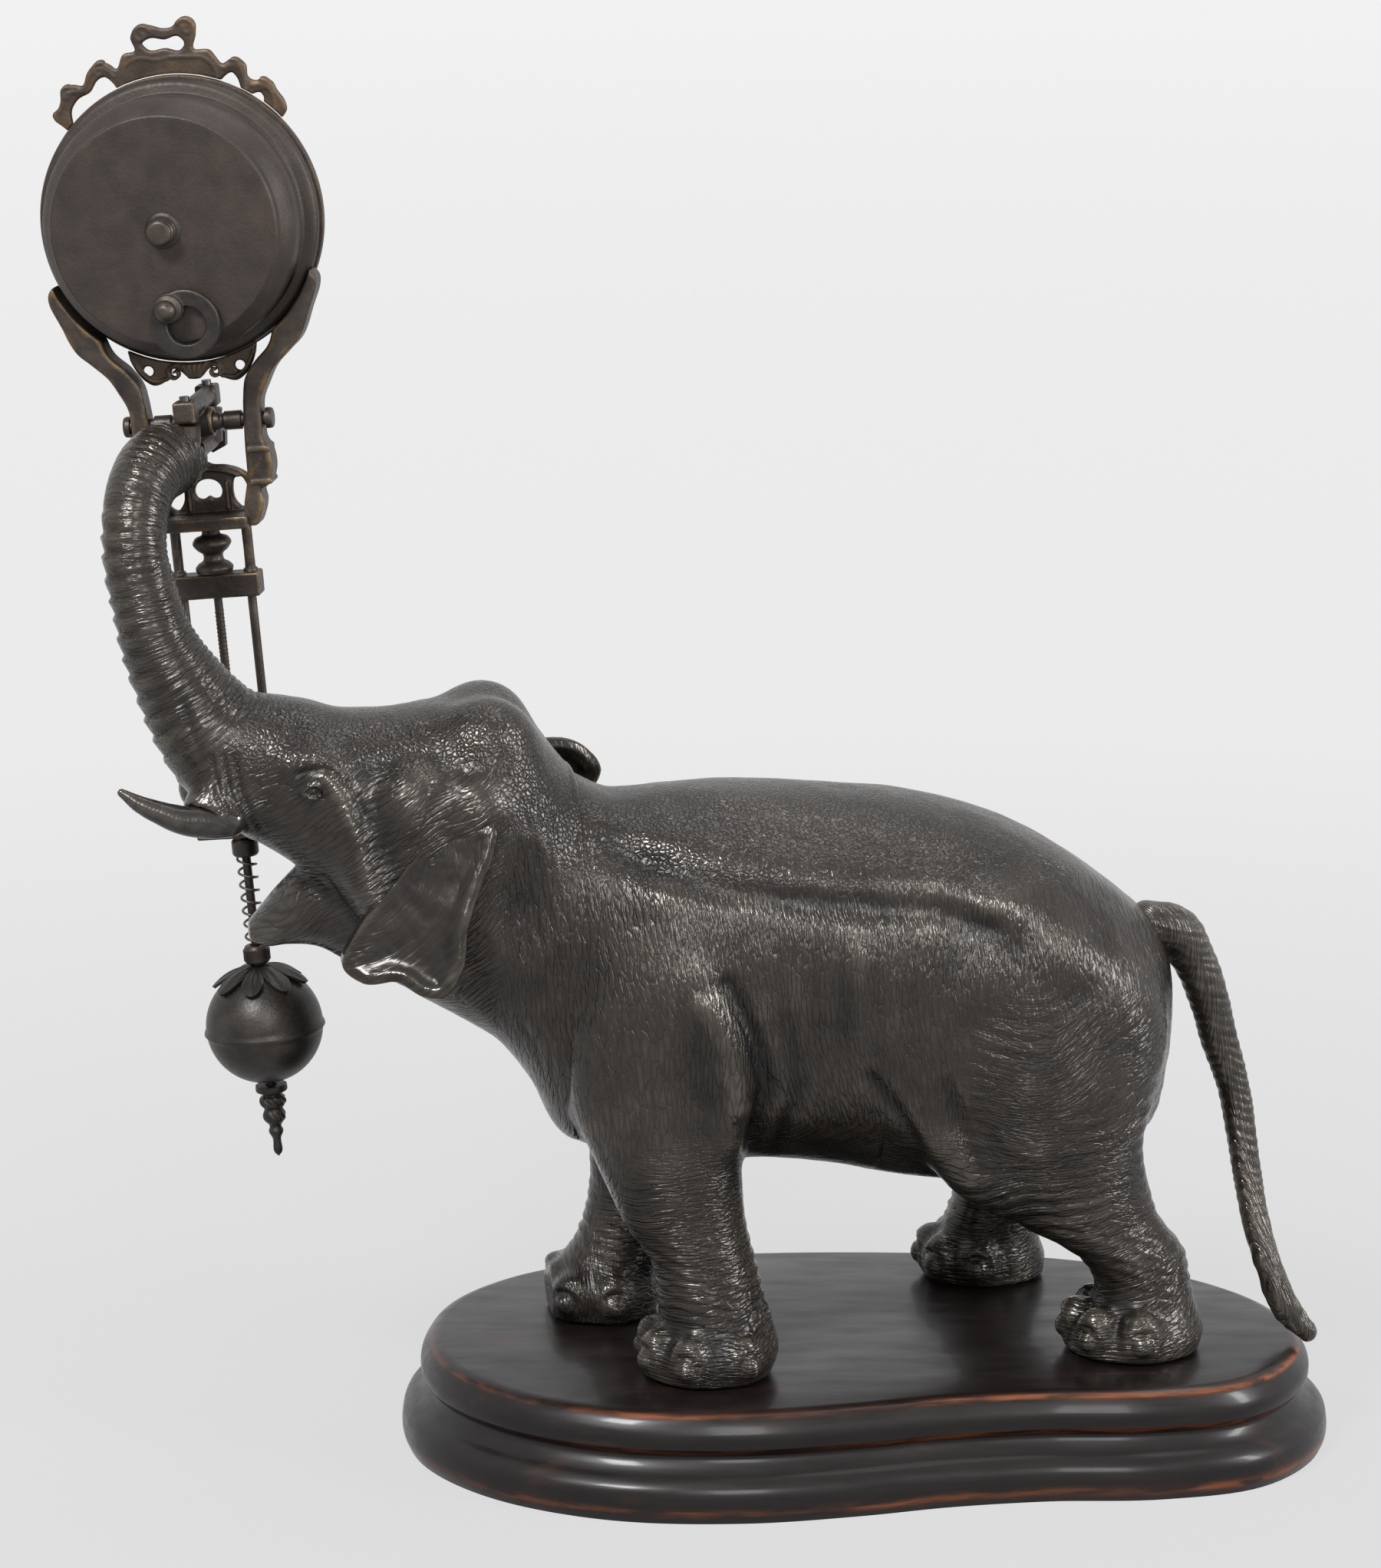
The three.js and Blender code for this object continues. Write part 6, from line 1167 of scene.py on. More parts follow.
def build_arm(side):
    outline = ARM_OUTLINE if side > 0 else flipped(ARM_OUTLINE)

    def build(clay):
        clay.add(plate_form(closed_curve(outline, 150), -3, 3, 0.7), 0.2)
        x0, x1 = sorted((side * 9.6, side * 14.2))
        for z in ARM_BANDS:
            clay.add(box_form(x0, x1, -3.2, 3.2, z - 0.5, z + 0.5, 0.35), 0.3)
        cut_round_drum(clay, FLANGE_RADIUS)

    return build


def build_gallery(clay):
    outline = closed_curve(GALLERY_OUTLINE, 110)
    gaps = (GALLERY_ARCH, GALLERY_SIDE, flipped(GALLERY_SIDE))
    back, front = 1.6, 3.4
    holes = [closed_curve(gap, 36) for gap in gaps]
    clay.add(plate_form(outline, back, front, 0.4, holes), 0.2)
    for depth in (back, front):
        for side in (-1, 1):
            brow = [[side * x, z] for x, z in ((0, -10.4), (3.4, -11), (6.4, -12.1))]
            relief_line(clay, brow, depth, 0.4)
            relief_line(clay, [[side * 3.9, -18.6], [side * 3.9, -13.4]], depth, 0.5)
    z0, z1 = FIRST_BAR_Z
    clay.add(box_form(-8.8, 8.8, -5.5, 4.5, z0, z1, 0.45), 0.25)
    clay.cut(rod_form("z", (-5, -2.6), 0.8), 0.1, ((-8, -6, -21), (-3, 0, z1 + 2)))


def build_bar(z_range, depth, posts=()):
    z0, z1 = z_range

    def build(clay):
        clay.add(box_form(-BAR_HALF, BAR_HALF, -depth, depth, z0, z1, 0.4), 0.1)
        for x in posts:
            clay.add(rod_form("z", (x, 0), 1.05, z1 - 0.5, POST_TOP_Z), 0.25)
            clay.add(rod_form("z", (x, 0), 1.5, z1 - 0.5, z1 + 0.7, 0.3), 0.2)
        clay.cut(rod_form("z", (0, 0), BORE), 0.08)

    return build


def build_pivot_bar(clay):
    z = PIVOT_BAR_Z
    clay.add(rod_form("y", (0, z), 1.9, -12.4, 12.4, 0.3), 0.2)
    for side in (-1, 1):
        y0, y1 = sorted((side * 8.4, side * 12.6))
        clay.add(box_form(-2.2, 2.2, y0, y1, z - 2.2, z + 2.2, 0.6), 0.4)
    clay.add(rod_form("x", (0, CROSS_SHAFT_Z), 3, -3.2, 3.2, 0.4), 0.7)
    clay.cut(rod_form("x", (0, CROSS_SHAFT_Z), 2.2), 0.08)
    for y in (POST_Y, -POST_Y):
        clay.cut(rod_form("z", (0, y), BORE), 0.08)
        screw = rod_form("x", (y, z), 0.6, -3, -1.7)
        clay.cut(screw, 0.1, ((-4, y - 2, z - 2), (-1, y + 2, z + 2)))


def vase_profile(below, above, beads):
    foot = below + 0.3
    height = above - 0.3 - foot
    curve = smooth_profile([[radius, foot + share * height] for radius, share in beads], 7)
    return [(BORE, foot)] + curve + [(BORE, foot + height)]


def finial_twist(angles, place, radius):
    """Flutes cut into the two beads of the finial, but not into its bore."""
    share = (place - FINIAL_TIP_Z) / (FINIAL_TOP_Z - FINIAL_TIP_Z)
    depth = 0.17 * bell(share, 0.775, 0.07) + 0.13 * bell(share, 0.57, 0.06)
    return depth * np.sin(9 * angles + place * 3.2) if radius > 1.3 else 0


# Nodes
def fill(tree, made, inputs):
    """Joins or sets a node's inputs, each given by its name or number."""
    for key, value in inputs.items():
        if isinstance(value, bpy.types.NodeSocket):
            tree.links.new(value, made.inputs[key])
        else:
            made.inputs[key].default_value = value
    return made


def node(tree, kind, inputs=None, **settings):
    """A new node with its settings made and its inputs filled."""
    made = tree.nodes.new(kind)
    for key, value in settings.items():
        setattr(made, key, value)
    return fill(tree, made, inputs or {})


def chain(tree, operation, *values):
    """A chain of one math operation over sockets and numbers."""
    total = values[0]
    for value in values[1:]:
        math_node = node(tree, "ShaderNodeMath", {0: total, 1: value}, operation=operation)
        total = math_node.outputs[0]
    return total


def add_up(tree, *parts):
    """A sum of sockets, numbers and (socket, weight) pairs."""
    values = [chain(tree, "MULTIPLY", *part) if isinstance(part, tuple) else part
              for part in parts]
    return chain(tree, "ADD", *values)


# Geometry Nodes groups for what repeats or winds
def node_tree(name, **inputs):
    """A geometry group with inputs, each given as (socket type, default), and their sockets."""
    tree = bpy.data.node_groups.new(name, "GeometryNodeTree")
    for label, (kind, default) in inputs.items():
        socket = tree.interface.new_socket(
            label.replace("_", " "), in_out="INPUT", socket_type="NodeSocket" + kind)
        if default is not None:
            socket.default_value = default
    tree.interface.new_socket("Geometry", in_out="OUTPUT", socket_type="NodeSocketGeometry")
    return tree, node(tree, "NodeGroupInput").outputs


def finish_tree(tree, given, last):
    """Ends a group in Realize Instances and Set Material."""
    whole = node(tree, "GeometryNodeRealizeInstances", {0: last}).outputs[0]
    painted = node(tree, "GeometryNodeSetMaterial", {
        "Geometry": whole, "Material": given["Material"]})
    node(tree, "NodeGroupOutput", {0: painted.outputs[0]})
    return tree


def coil_group():
    """A wire wound round the z axis, from the origin up."""
    tree, given = node_tree(
        "Coil", Radius=("Float", 0.001), Height=("Float", 0.01), Turns=("Float", 6.0),
        Wire_Radius=("Float", 0.0002), Steps_per_Turn=("Int", 32), Wire_Sides=("Int", 12),
        Material=("Material", None),
    )
    spiral = node(tree, "GeometryNodeCurveSpiral", {
        "Start Radius": given["Radius"], "End Radius": given["Radius"],
        "Height": given["Height"], "Rotations": given["Turns"],
        "Resolution": given["Steps per Turn"],
    })
    circle = node(tree, "GeometryNodeCurvePrimitiveCircle", {
        "Radius": given["Wire Radius"], "Resolution": given["Wire Sides"]})
    sweep = node(tree, "GeometryNodeCurveToMesh", {
        "Curve": spiral.outputs[0], "Profile Curve": circle.outputs[0], "Fill Caps": True})
    smooth = node(tree, "GeometryNodeSetShadeSmooth", {"Geometry": sweep.outputs[0]})
    return finish_tree(tree, given, smooth.outputs[0])


def around_group():
    """Copies of a form set around the z axis, each turned to face outwards."""
    tree, given = node_tree(
        "Around", Form=("Object", None), Count=("Int", 12), Radius=("Float", 0.01),
        Material=("Material", None),
    )
    ring = node(tree, "GeometryNodeMeshCircle", {
        "Vertices": given["Count"], "Radius": given["Radius"]})
    form = node(tree, "GeometryNodeObjectInfo", {"Object": given["Form"]})
    number = node(tree, "GeometryNodeInputIndex").outputs[0]
    share = chain(tree, "DIVIDE", number, given["Count"])
    turn = chain(tree, "MULTIPLY", share, 2 * math.pi)
    angles = node(tree, "ShaderNodeCombineXYZ", {"Z": turn})
    placed = node(tree, "GeometryNodeInstanceOnPoints", {
        "Points": ring.outputs[0], "Instance": form.outputs["Geometry"],
        "Rotation": angles.outputs[0],
    })
    return finish_tree(tree, given, placed.outputs[0])


def grow(name, tree, values, matrix):
    """Runs a group with its inputs set, and keeps the result as a plain mesh."""
    host = linked(name + "_host", bpy.data.meshes.new(name + "_host"))
    modifier = host.modifiers.new("Grow", "NODES")
    modifier.node_group = tree
    for item in tree.interface.items_tree:
        if item.name in values:
            modifier[item.identifier] = values[item.name]
    host.update_tag()
    mesh = final_mesh(host)
    mesh.name = name
    mesh.transform(matrix)
    if matrix.is_negative:
        mesh.flip_normals()
    bpy.data.objects.remove(host)
    return linked(name, mesh)


def from_swing(place=(0, 0, 0), turn=None):
    """A matrix for a form drawn in metres at a place given in swing millimetres."""
    out = swing_matrix() @ Matrix.Translation(place) @ Matrix.Scale(1 / MM, 4)
    return out @ turn if turn else out


def wedge(x0, x1, y0, y1, z0, z1, taper=0.0):
    """The corners and faces of a block whose outer end is narrower."""
    points = []
    for x, pull in ((x0, 0.0), (x1, taper)):
        for y, z in ((y0, z0), (y1, z0), (y1, z1), (y0, z1)):
            points.append((x, y * (1 - pull), z))
    faces = [(0, 1, 2, 3), (7, 6, 5, 4), (0, 4, 5, 1), (1, 5, 6, 2), (2, 6, 7, 3), (3, 7, 4, 0)]
    return np.array(points) * MM, faces


def set_around(name, shape, count, radius, key, matrix):
    """Copies of a small form set around an axis, as one plain mesh."""
    form = make_loose(name + "_form", *shape, smooth=False)
    made = grow(name, around_group(), {
        "Form": form, "Count": count, "Radius": radius * MM, "Material": paint(key),
    }, matrix)
    bpy.data.objects.remove(form)
    return made


# Materials
def new_material(name):
    """A material, its node tree and its shader."""
    made = bpy.data.materials.new(name)
    made.use_nodes = True
    return made, made.node_tree, made.node_tree.nodes["Principled BSDF"]


def linear(colour):
    """An 0 to 255 colour as the shader's linear numbers, with full alpha."""
    shares = [part / 255 for part in colour]
    return *(c / 12.92 if c <= 0.04045 else ((c + 0.055) / 1.055) ** 2.4 for c in shares), 1


def object_place(tree):
    """Object coordinates, which are in metres."""
    return node(tree, "ShaderNodeTexCoord").outputs["Object"]


def noise(tree, scale, detail=3.0, stretch=(1, 1, 1), rough=0.55):
    """A noise texture with so many lumps to a metre."""
    place = node(tree, "ShaderNodeMapping", {"Vector": object_place(tree), "Scale": stretch})
    return node(tree, "ShaderNodeTexNoise", {
        "Scale": scale, "Detail": detail, "Roughness": rough, "Vector": place.outputs[0],
    }).outputs["Fac"]


def ramp(tree, value, *stops):
    """A colour ramp: stops of (place, colour) or (place, number)."""
    made = node(tree, "ShaderNodeValToRGB", {0: value})
    ends = made.color_ramp.elements
    while len(ends) < len(stops):
        ends.new(0.5)
    for element, (place, shade) in zip(ends, stops):
        element.position = place
        element.color = linear(shade) if isinstance(shade, tuple) else (shade, shade, shade, 1)
    return made.outputs["Color"]


def mix(tree, amount, first, second):
    """Two colours mixed by an amount, each a socket or levels."""
    colours = [part if isinstance(part, bpy.types.NodeSocket) else linear(part)
               for part in (first, second)]
    return node(tree, "ShaderNodeMix", {0: amount, 6: colours[0], 7: colours[1]},
                data_type="RGBA").outputs[2]


def bump(tree, height, distance):
    """A normal from a height, with the distance in millimetres."""
    return node(tree, "ShaderNodeBump", {
        "Distance": distance * MM, "Height": height}).outputs[0]


def attribute(tree, name):
    return node(tree, "ShaderNodeAttribute", attribute_name=name).outputs


def cell_edges(tree, place, scale):
    """Domed cells: 0 in the cracks between them and 1 on top."""
    cells = node(tree, "ShaderNodeTexVoronoi", {"Scale": scale, "Vector": place},
                 feature="DISTANCE_TO_EDGE")
    return ramp(tree, cells.outputs["Distance"], (0.0, 0), (0.09, 0.6), (0.34, 1))


def drawn_cells(tree, name, wander, cell):
    """Cells drawn out along the wrinkles of one attribute, and that attribute's share."""
    parts = node(tree, "ShaderNodeSeparateXYZ", {0: attribute(tree, name)["Vector"]}).outputs
    across = chain(tree, "DIVIDE", parts[0], cell)
    place = node(tree, "ShaderNodeCombineXYZ", {
        0: add_up(tree, across, (wander, 1.6)), 1: chain(tree, "MULTIPLY", parts[1], 0.2),
    }).outputs[0]
    cells = cell_edges(tree, place, 1.0)
    streaks = node(tree, "ShaderNodeTexNoise", {"Scale": 1.4, "Detail": 2, "Vector": place})
    lines = ramp(tree, streaks.outputs["Fac"], (0.4, 0), (0.52, 1), (0.64, 0.1))
    return add_up(tree, (cells, 0.72), (lines, 0.28)), parts[2]


def fade(tree, share, first, second):
    """One level faded into another by a share."""
    return node(tree, "ShaderNodeMix", {0: share, 2: first, 3: second},
                data_type="FLOAT").outputs[0]


def bronze_material(name, dark, middle, light, cell, depth):
    """Old patinated bronze: cells of skin drawn out along the wrinkles, dull in the
    hollows and rubbed on the ridges."""
    made, tree, shader = new_material(name)
    wander = noise(tree, 90, 2)
    flow, pebbled = drawn_cells(tree, "flow", wander, cell)
    limb, on_limb = drawn_cells(tree, "limb", wander, cell)
    pebbles = chain(tree, "MULTIPLY", cell_edges(tree, object_place(tree), 1050), 0.65)
    skin = fade(tree, pebbled, fade(tree, on_limb, flow, limb), pebbles)
    worn = attribute(tree, "worn")["Fac"]
    blotch = noise(tree, 70, 5)
    grain = noise(tree, 1300)
    patch = ramp(tree, noise(tree, 130, 4, rough=0.65), (0.42, 0.15), (0.62, 1))
    tone = add_up(tree, (worn, 0.22), (blotch, 0.62), (skin, 0.2))
    colour = ramp(tree, tone, (0.2, dark), (0.5, middle), (0.82, light))
    brown = ramp(tree, blotch, (0.52, 0), (0.7, 0.3))
    fill(tree, shader, {
        "Base Color": mix(tree, brown, colour, (42, 32, 22)), "Metallic": 0.5,
        "Roughness": add_up(
            tree, (worn, -0.1), (patch, -0.05), (skin, -0.08), (grain, 0.14), 0.27),
        "Specular IOR Level": 0.62,
        "Normal": bump(tree, add_up(tree, skin, (grain, 0.2), (wander, 0.3)), depth),
    })
    return made


def cast_material(name, dark, middle, light, rubbed_colour, wear=0.3, metal=0.5, rough=0.42):
    """A dark-lacquered casting with brass showing where it is rubbed."""
    made, tree, shader = new_material(name)
    blotch = noise(tree, 180, 5)
    grain = noise(tree, 1600)
    base = ramp(tree, blotch, (0.25, dark), (0.5, middle), (0.78, light))
    patch = noise(tree, 95, 5, rough=0.7)
    shown = add_up(tree, (attribute(tree, "worn")["Fac"], 0.22), patch)
    mask = ramp(tree, shown, (0.6, 0), (0.8, wear))
    fill(tree, shader, {
        "Base Color": mix(tree, mask, base, rubbed_colour), "Metallic": metal,
        "Roughness": add_up(tree, (grain, 0.3), (mask, -0.12), rough - 0.12),
        "Normal": bump(tree, add_up(tree, blotch, grain), 0.06),
    })
    return made


def wood_material(name):
    """Ebonised wood under a gloss varnish, its grain along the plinth."""
    made, tree, shader = new_material(name)
    grain = noise(tree, 60, 6, (0.35, 3, 3))
    wide = noise(tree, 18)
    chosen = bpy.context.scene.plinth_settings
    colour = ramp(tree, grain, (0.3, levels(chosen.stain, -5)), (0.58, levels(chosen.stain)),
                  (0.8, levels(chosen.grain)))
    edge = attribute(tree, "edge")["Fac"]
    fine = noise(tree, 210, 4, (0.3, 1, 3))
    rub = chain(tree, "MULTIPLY", edge, ramp(tree, wide, (0.4, 0.3), (0.6, 1)),
                ramp(tree, fine, (0.4, 0.1), (0.6, 1)))
    fill(tree, shader, {
        "Base Color": mix(tree, rub, colour, levels(chosen.worn_edge)), "Metallic": 0,
        "Coat Weight": 0.12, "Coat Roughness": 0.1, "Specular IOR Level": 0.25,
        "Roughness": ramp(tree, fine, (0.3, 0.26), (0.7, 0.42)),
        "Normal": bump(tree, add_up(tree, grain, wide), 0.05),
    })
    return made


def steel_material(name, colour=(104, 101, 98), rough=0.32):
    """Brushed steel, a little uneven in tone."""
    made, tree, shader = new_material(name)
    brushed = noise(tree, 900, stretch=(1, 1, 6))
    dark = tuple(c * 0.7 for c in colour)
    fill(tree, shader, {
        "Base Color": ramp(tree, noise(tree, 160), (0.3, dark), (0.7, colour)),
        "Metallic": 0.95,
        "Roughness": ramp(tree, brushed, (0.2, rough - 0.08), (0.8, rough + 0.14)),
        "Normal": bump(tree, brushed, 0.02),
    })
    return made


def enamel_material(name):
    """White enamel, slightly clouded."""
    made, tree, shader = new_material(name)
    cloud = noise(tree, 70, 4)
    fill(tree, shader, {
        "Base Color": ramp(tree, cloud, (0.3, (226, 219, 200)), (0.7, (240, 235, 222))),
        "Roughness": ramp(tree, cloud, (0.3, 0.28), (0.7, 0.42)), "Coat Weight": 0.4,
        "Normal": bump(tree, noise(tree, 400, 2), 0.02),
    })
    return made


def ink_material(name):
    """Black paint on the dial."""
    made, tree, shader = new_material(name)
    cloud = noise(tree, 500)
    fill(tree, shader, {
        "Base Color": ramp(tree, cloud, (0.3, (20, 19, 20)), (0.7, (34, 32, 34))),
        "Roughness": ramp(tree, cloud, (0.3, 0.35), (0.7, 0.5)),
    })
    return made


def glass_material(name):
    """Clear glass with a few faint smears."""
    made, tree, shader = new_material(name)
    fill(tree, shader, {
        "Base Color": (0.96, 0.98, 0.98, 1), "Transmission Weight": 1, "IOR": 1.45,
        "Roughness": ramp(tree, noise(tree, 60, 4), (0.5, 0.01), (0.8, 0.06)),
    })
    return made


# What each paint key makes: a maker and what it is given
PAINTS = {
    "case": (cast_material, "case_back", (33, 27, 23), (43, 35, 30), (54, 44, 38),
             (84, 62, 44), 0.3, 0.4, 0.48),
    "brown": (cast_material, "brown_casting", (34, 29, 26), (52, 45, 40), (74, 65, 57),
              (150, 122, 74), 0.3, 0.55),
    "ornament": (cast_material, "ornament_brass", (40, 33, 28), (58, 48, 39), (84, 66, 46),
                 (120, 92, 56), 0.3, 0.5, 0.46),
    "ball": (cast_material, "ball_brown", (26, 24, 22), (42, 38, 35), (60, 54, 49),
             (90, 72, 52), 0.3, 0.5, 0.38),
    "dark": (cast_material, "dark_casting", (20, 18, 17), (34, 31, 29), (52, 48, 44),
             (84, 70, 52)),
    "brass": (cast_material, "movement_brass", (96, 74, 40), (140, 110, 62), (168, 136, 82),
              (196, 160, 98), 0.5, 0.9, 0.34),
    "tusk": (bronze_material, "bronze_tusk", (28, 26, 24), (46, 43, 40), (78, 74, 69), 2.4, 0.02),
    "wood": (wood_material, "ebonised_wood"),
    "steel": (steel_material, "worked_steel"),
    "blued": (steel_material, "blued_steel", (38, 44, 66), 0.28),
    "dial": (enamel_material, "dial_enamel"),
    "ink": (ink_material, "dial_ink"),
    "glass": (glass_material, "clear_glass"),
}
MADE_PAINTS = {}


def levels(colour, shift=0):
    """A colour property as levels from 0 to 255, made lighter or darker."""
    return tuple(255 * part + shift for part in colour)


def skin_paint(name, wider=1.0, shallower=1.0, shift=0):
    """The elephant's bronze, in the colours and cell sizes of its settings."""
    chosen = bpy.context.scene.elephant_settings
    shades = [levels(part, shift) for part in (chosen.hollows, chosen.bronze, chosen.ridges)]
    return bronze_material(
        name, *shades, chosen.cell_width / MM * wider, chosen.cell_depth / MM * shallower)


PAINTS["elephant"] = skin_paint, "bronze_skin"
PAINTS["ear"] = skin_paint, "bronze_ear", 1.5, 0.3, -6


def paint(key):
    """The material of a key, made when it is first asked for."""
    if key not in MADE_PAINTS:
        maker, *given = PAINTS[key]
        MADE_PAINTS[key] = maker(*given)
    return MADE_PAINTS[key]


def place_piece(made, body, nodes=(), key="brown"):
    """Gives a piece its body and its material, and hides the nodes it stands for."""
    made.data.materials.clear()
    made.data.materials.append(paint(key))
    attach(made, body)
    if nodes:
        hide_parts(*nodes)
    return made


def cut_with(made, cutters):
    """Cuts closed forms out of a piece, and removes them."""
    for cutter in cutters:
        modifier = made.modifiers.new("Cut", "BOOLEAN")
        modifier.operation = "DIFFERENCE"
        modifier.solver = "EXACT"
        modifier.object = cutter
    mesh = final_mesh(made)
    made.modifiers.clear()
    old = made.data
    made.data = mesh
    bpy.data.meshes.remove(old)
    for cutter in cutters:
        bpy.data.objects.remove(cutter)
    return made


# The plinth: its outline at the top, and how far its moulding stands out at each height
PLINTH_TOP_OUTLINE = [
    [-86, 2], [-82, -19], [-70.5, -34], [-50, -45], [-25, -47], [-3, -43], [14, -38.3],
    [35, -34.8], [58, -33.6], [74, -28.5], [84, -15.5], [87, 0], [82.5, 18], [68, 35.5],
    [41, 48], [8, 51.6], [-22, 51], [-48, 47.5], [-70, 37], [-82.5, 21],
]
PLINTH_PROFILE = [
    [7.2, 0], [7.9, 1.6], [8, 4.6], [7.4, 6.9], [6.2, 8.2], [4.4, 9.4], [3.1, 10.8], [2.5, 12],
    [2.9, 12.9], [3.8, 13.6], [4.2, 15.4], [4, 17], [3.2, 18.6], [2.3, 19.8], [1.5, 20.4],
    [0.6, 20.8], [-0.4, 21],
]


def offset_outline(outline, out):
    """An outline moved outwards."""
    ahead = np.roll(outline, -1, axis=0) - np.roll(outline, 1, axis=0)
    ahead = ahead / np.linalg.norm(ahead, axis=1, keepdims=True)
    return outline + np.column_stack([ahead[:, 1], -ahead[:, 0]]) * out


def pocket(name, radius, top, at, steps):
    """A rod to cut a round pocket up into the plinth's underside."""
    profile = [(0, -2), (radius, -2), (radius, top), (0, top)]
    return turned(name, profile, steps, at=at, matrix=Matrix.Scale(MM, 4))


def build_plinth():
    outline = closed_curve(PLINTH_TOP_OUTLINE, 220)
    profile = smooth_profile(PLINTH_PROFILE, 3)
    count, rings = len(outline), len(profile)
    points, faces = [], []
    for out, z in profile:
        points.extend((x, y, z) for x, y in offset_outline(outline, out))
    for ring in range(rings - 1):
        a = ring * count
        for k in range(count):
            after = (k + 1) % count
            faces.append((a + k, a + after, a + count + after, a + count + k))
    faces.append(tuple(range(count)))
    faces.append(tuple(range((rings - 1) * count, rings * count)))
    made = make_loose("plinth_turned", np.array(points) * MM, faces)
    pockets, studs = [], []
    for k, rows in enumerate(LEG_ROWS.values()):
        foot = elephant_matrix() @ Vector((rows[0][1], rows[0][2], 0))
        at = (foot.x / MM, foot.y / MM)
        pockets.append(pocket(f"pocket_{k}", 5.6, 7, at, 32))
        studs.append(pocket(f"stud_hole_{k}", 2.3, 23, at, 24))
    set_edges(cut_with(made, pockets + studs), 40)
    # The moulding's edges, where the black is rubbed off
    z = np.array([v.co.z for v in made.data.vertices]) / MM
    edge = bell(z, 20.1, 0.33) + 0.8 * bell(z, 13.3, 0.5) + 0.7 * bell(z, 2.2, 0.8)
    layer = made.data.attributes.new("edge", "FLOAT", "POINT")
    layer.data.foreach_set("value", edge.astype(np.float32))
    place_piece(made, "base", ["plinth"], "wood")


DRUM_AT = (0, DRUM_CENTRE_Z)
WIND_AT = (0, DRUM_CENTRE_Z - WIND_ARBOR_DROP)


def build_drum():
    back = CAN_BACK
    made = turn_rounded("drum_can_turned", [
        [1.1, back], [5, back, 0], [11, back, 0], [19, back, 0], [21.4, back, 0],
        [22.3, back, 0.3], [22.7, back + 0.5, 0.3], [22.8, back + 1.6, 0.4],
        [24.4, back + 3.8, 0.8], [25.3, back + 5.4, 1.2], [25.6, back + 8.4, 1.6],
        [25, -1.6, 1.2], [24.7, -0.6, 0.3], [25.4, BAND_BACK, 0.2],
        [27.2, BAND_BACK + 0.3, 0.5], [28, BAND_BACK + 1.2, 0.6], [28, 3, 0.6], [27.3, 4.2, 0.3],
        [25, 4.3, 0.1], [25, 5.9, 0.1], [24.2, 5.9, 0.1], [24.2, back + 4.6, 0.5],
        [22, back + 0.8, 0.5], [19, back + 0.8, 0], [11, back + 0.8, 0], [1.1, back + 0.8],
    ], 144, "y", DRUM_AT, True, arcs=5)
    hole = turned("drum_hole", [(0, back - 2), (1.6, back - 2), (1.6, back + 2), (0, back + 2)],
                  32, "y", WIND_AT)
    set_edges(cut_with(made, [hole]))
    place_piece(made, "swinger", ["drum_can"], "case")
    bush = turn_rounded("drum_bush_turned", [
        [1.1, back - 0.5], [2.9, back - 0.5, 0.2], [3.6, back - 0.2, 0.2], [3.6, back + 0.2, 0],
        [1.1, back + 0.2],
    ], 48, "y", DRUM_AT, True, 0.2)
    place_piece(bush, "swinger", (), "dark")


def build_bezel_and_glass():
    bezel = turn_rounded("bezel_turned", [
        [BEZEL_SEAT, BEZEL_BACK], [BEZEL_RADIUS, BEZEL_BACK, 0.3], [BEZEL_RADIUS, 6.6, 0.4],
        [27.7, 7.1, 0.3], [27.9, 8.2, 0.6], [27.2, 9.8, 0.6], [26.3, 10.2, 0.2],
        [25.8, BEZEL_FRONT, 0.4], [23.8, BEZEL_FRONT, 0.3], [23.8, 10.2, 0.1],
        [BEZEL_SEAT, 10.2, 0.1], [BEZEL_SEAT, BEZEL_BACK + 0.4],
    ], 144, "y", DRUM_AT, True, arcs=5)
    place_piece(bezel, "swinger", ["bezel"], "ornament")
    outer = [(GLASS_RADIUS * math.sin(t), GLASS_SEAT + GLASS_DOME * (1 - math.sin(t) ** 2))
             for t in np.linspace(math.pi / 2, 0, 12)]
    inner = [(r, z - GLASS_THICK) for r, z in reversed(outer)]
    glass = set_edges(turned("glass_domed", inner + outer, 96, "y", DRUM_AT), 40)
    place_piece(glass, "swinger", ["glass"], "glass")


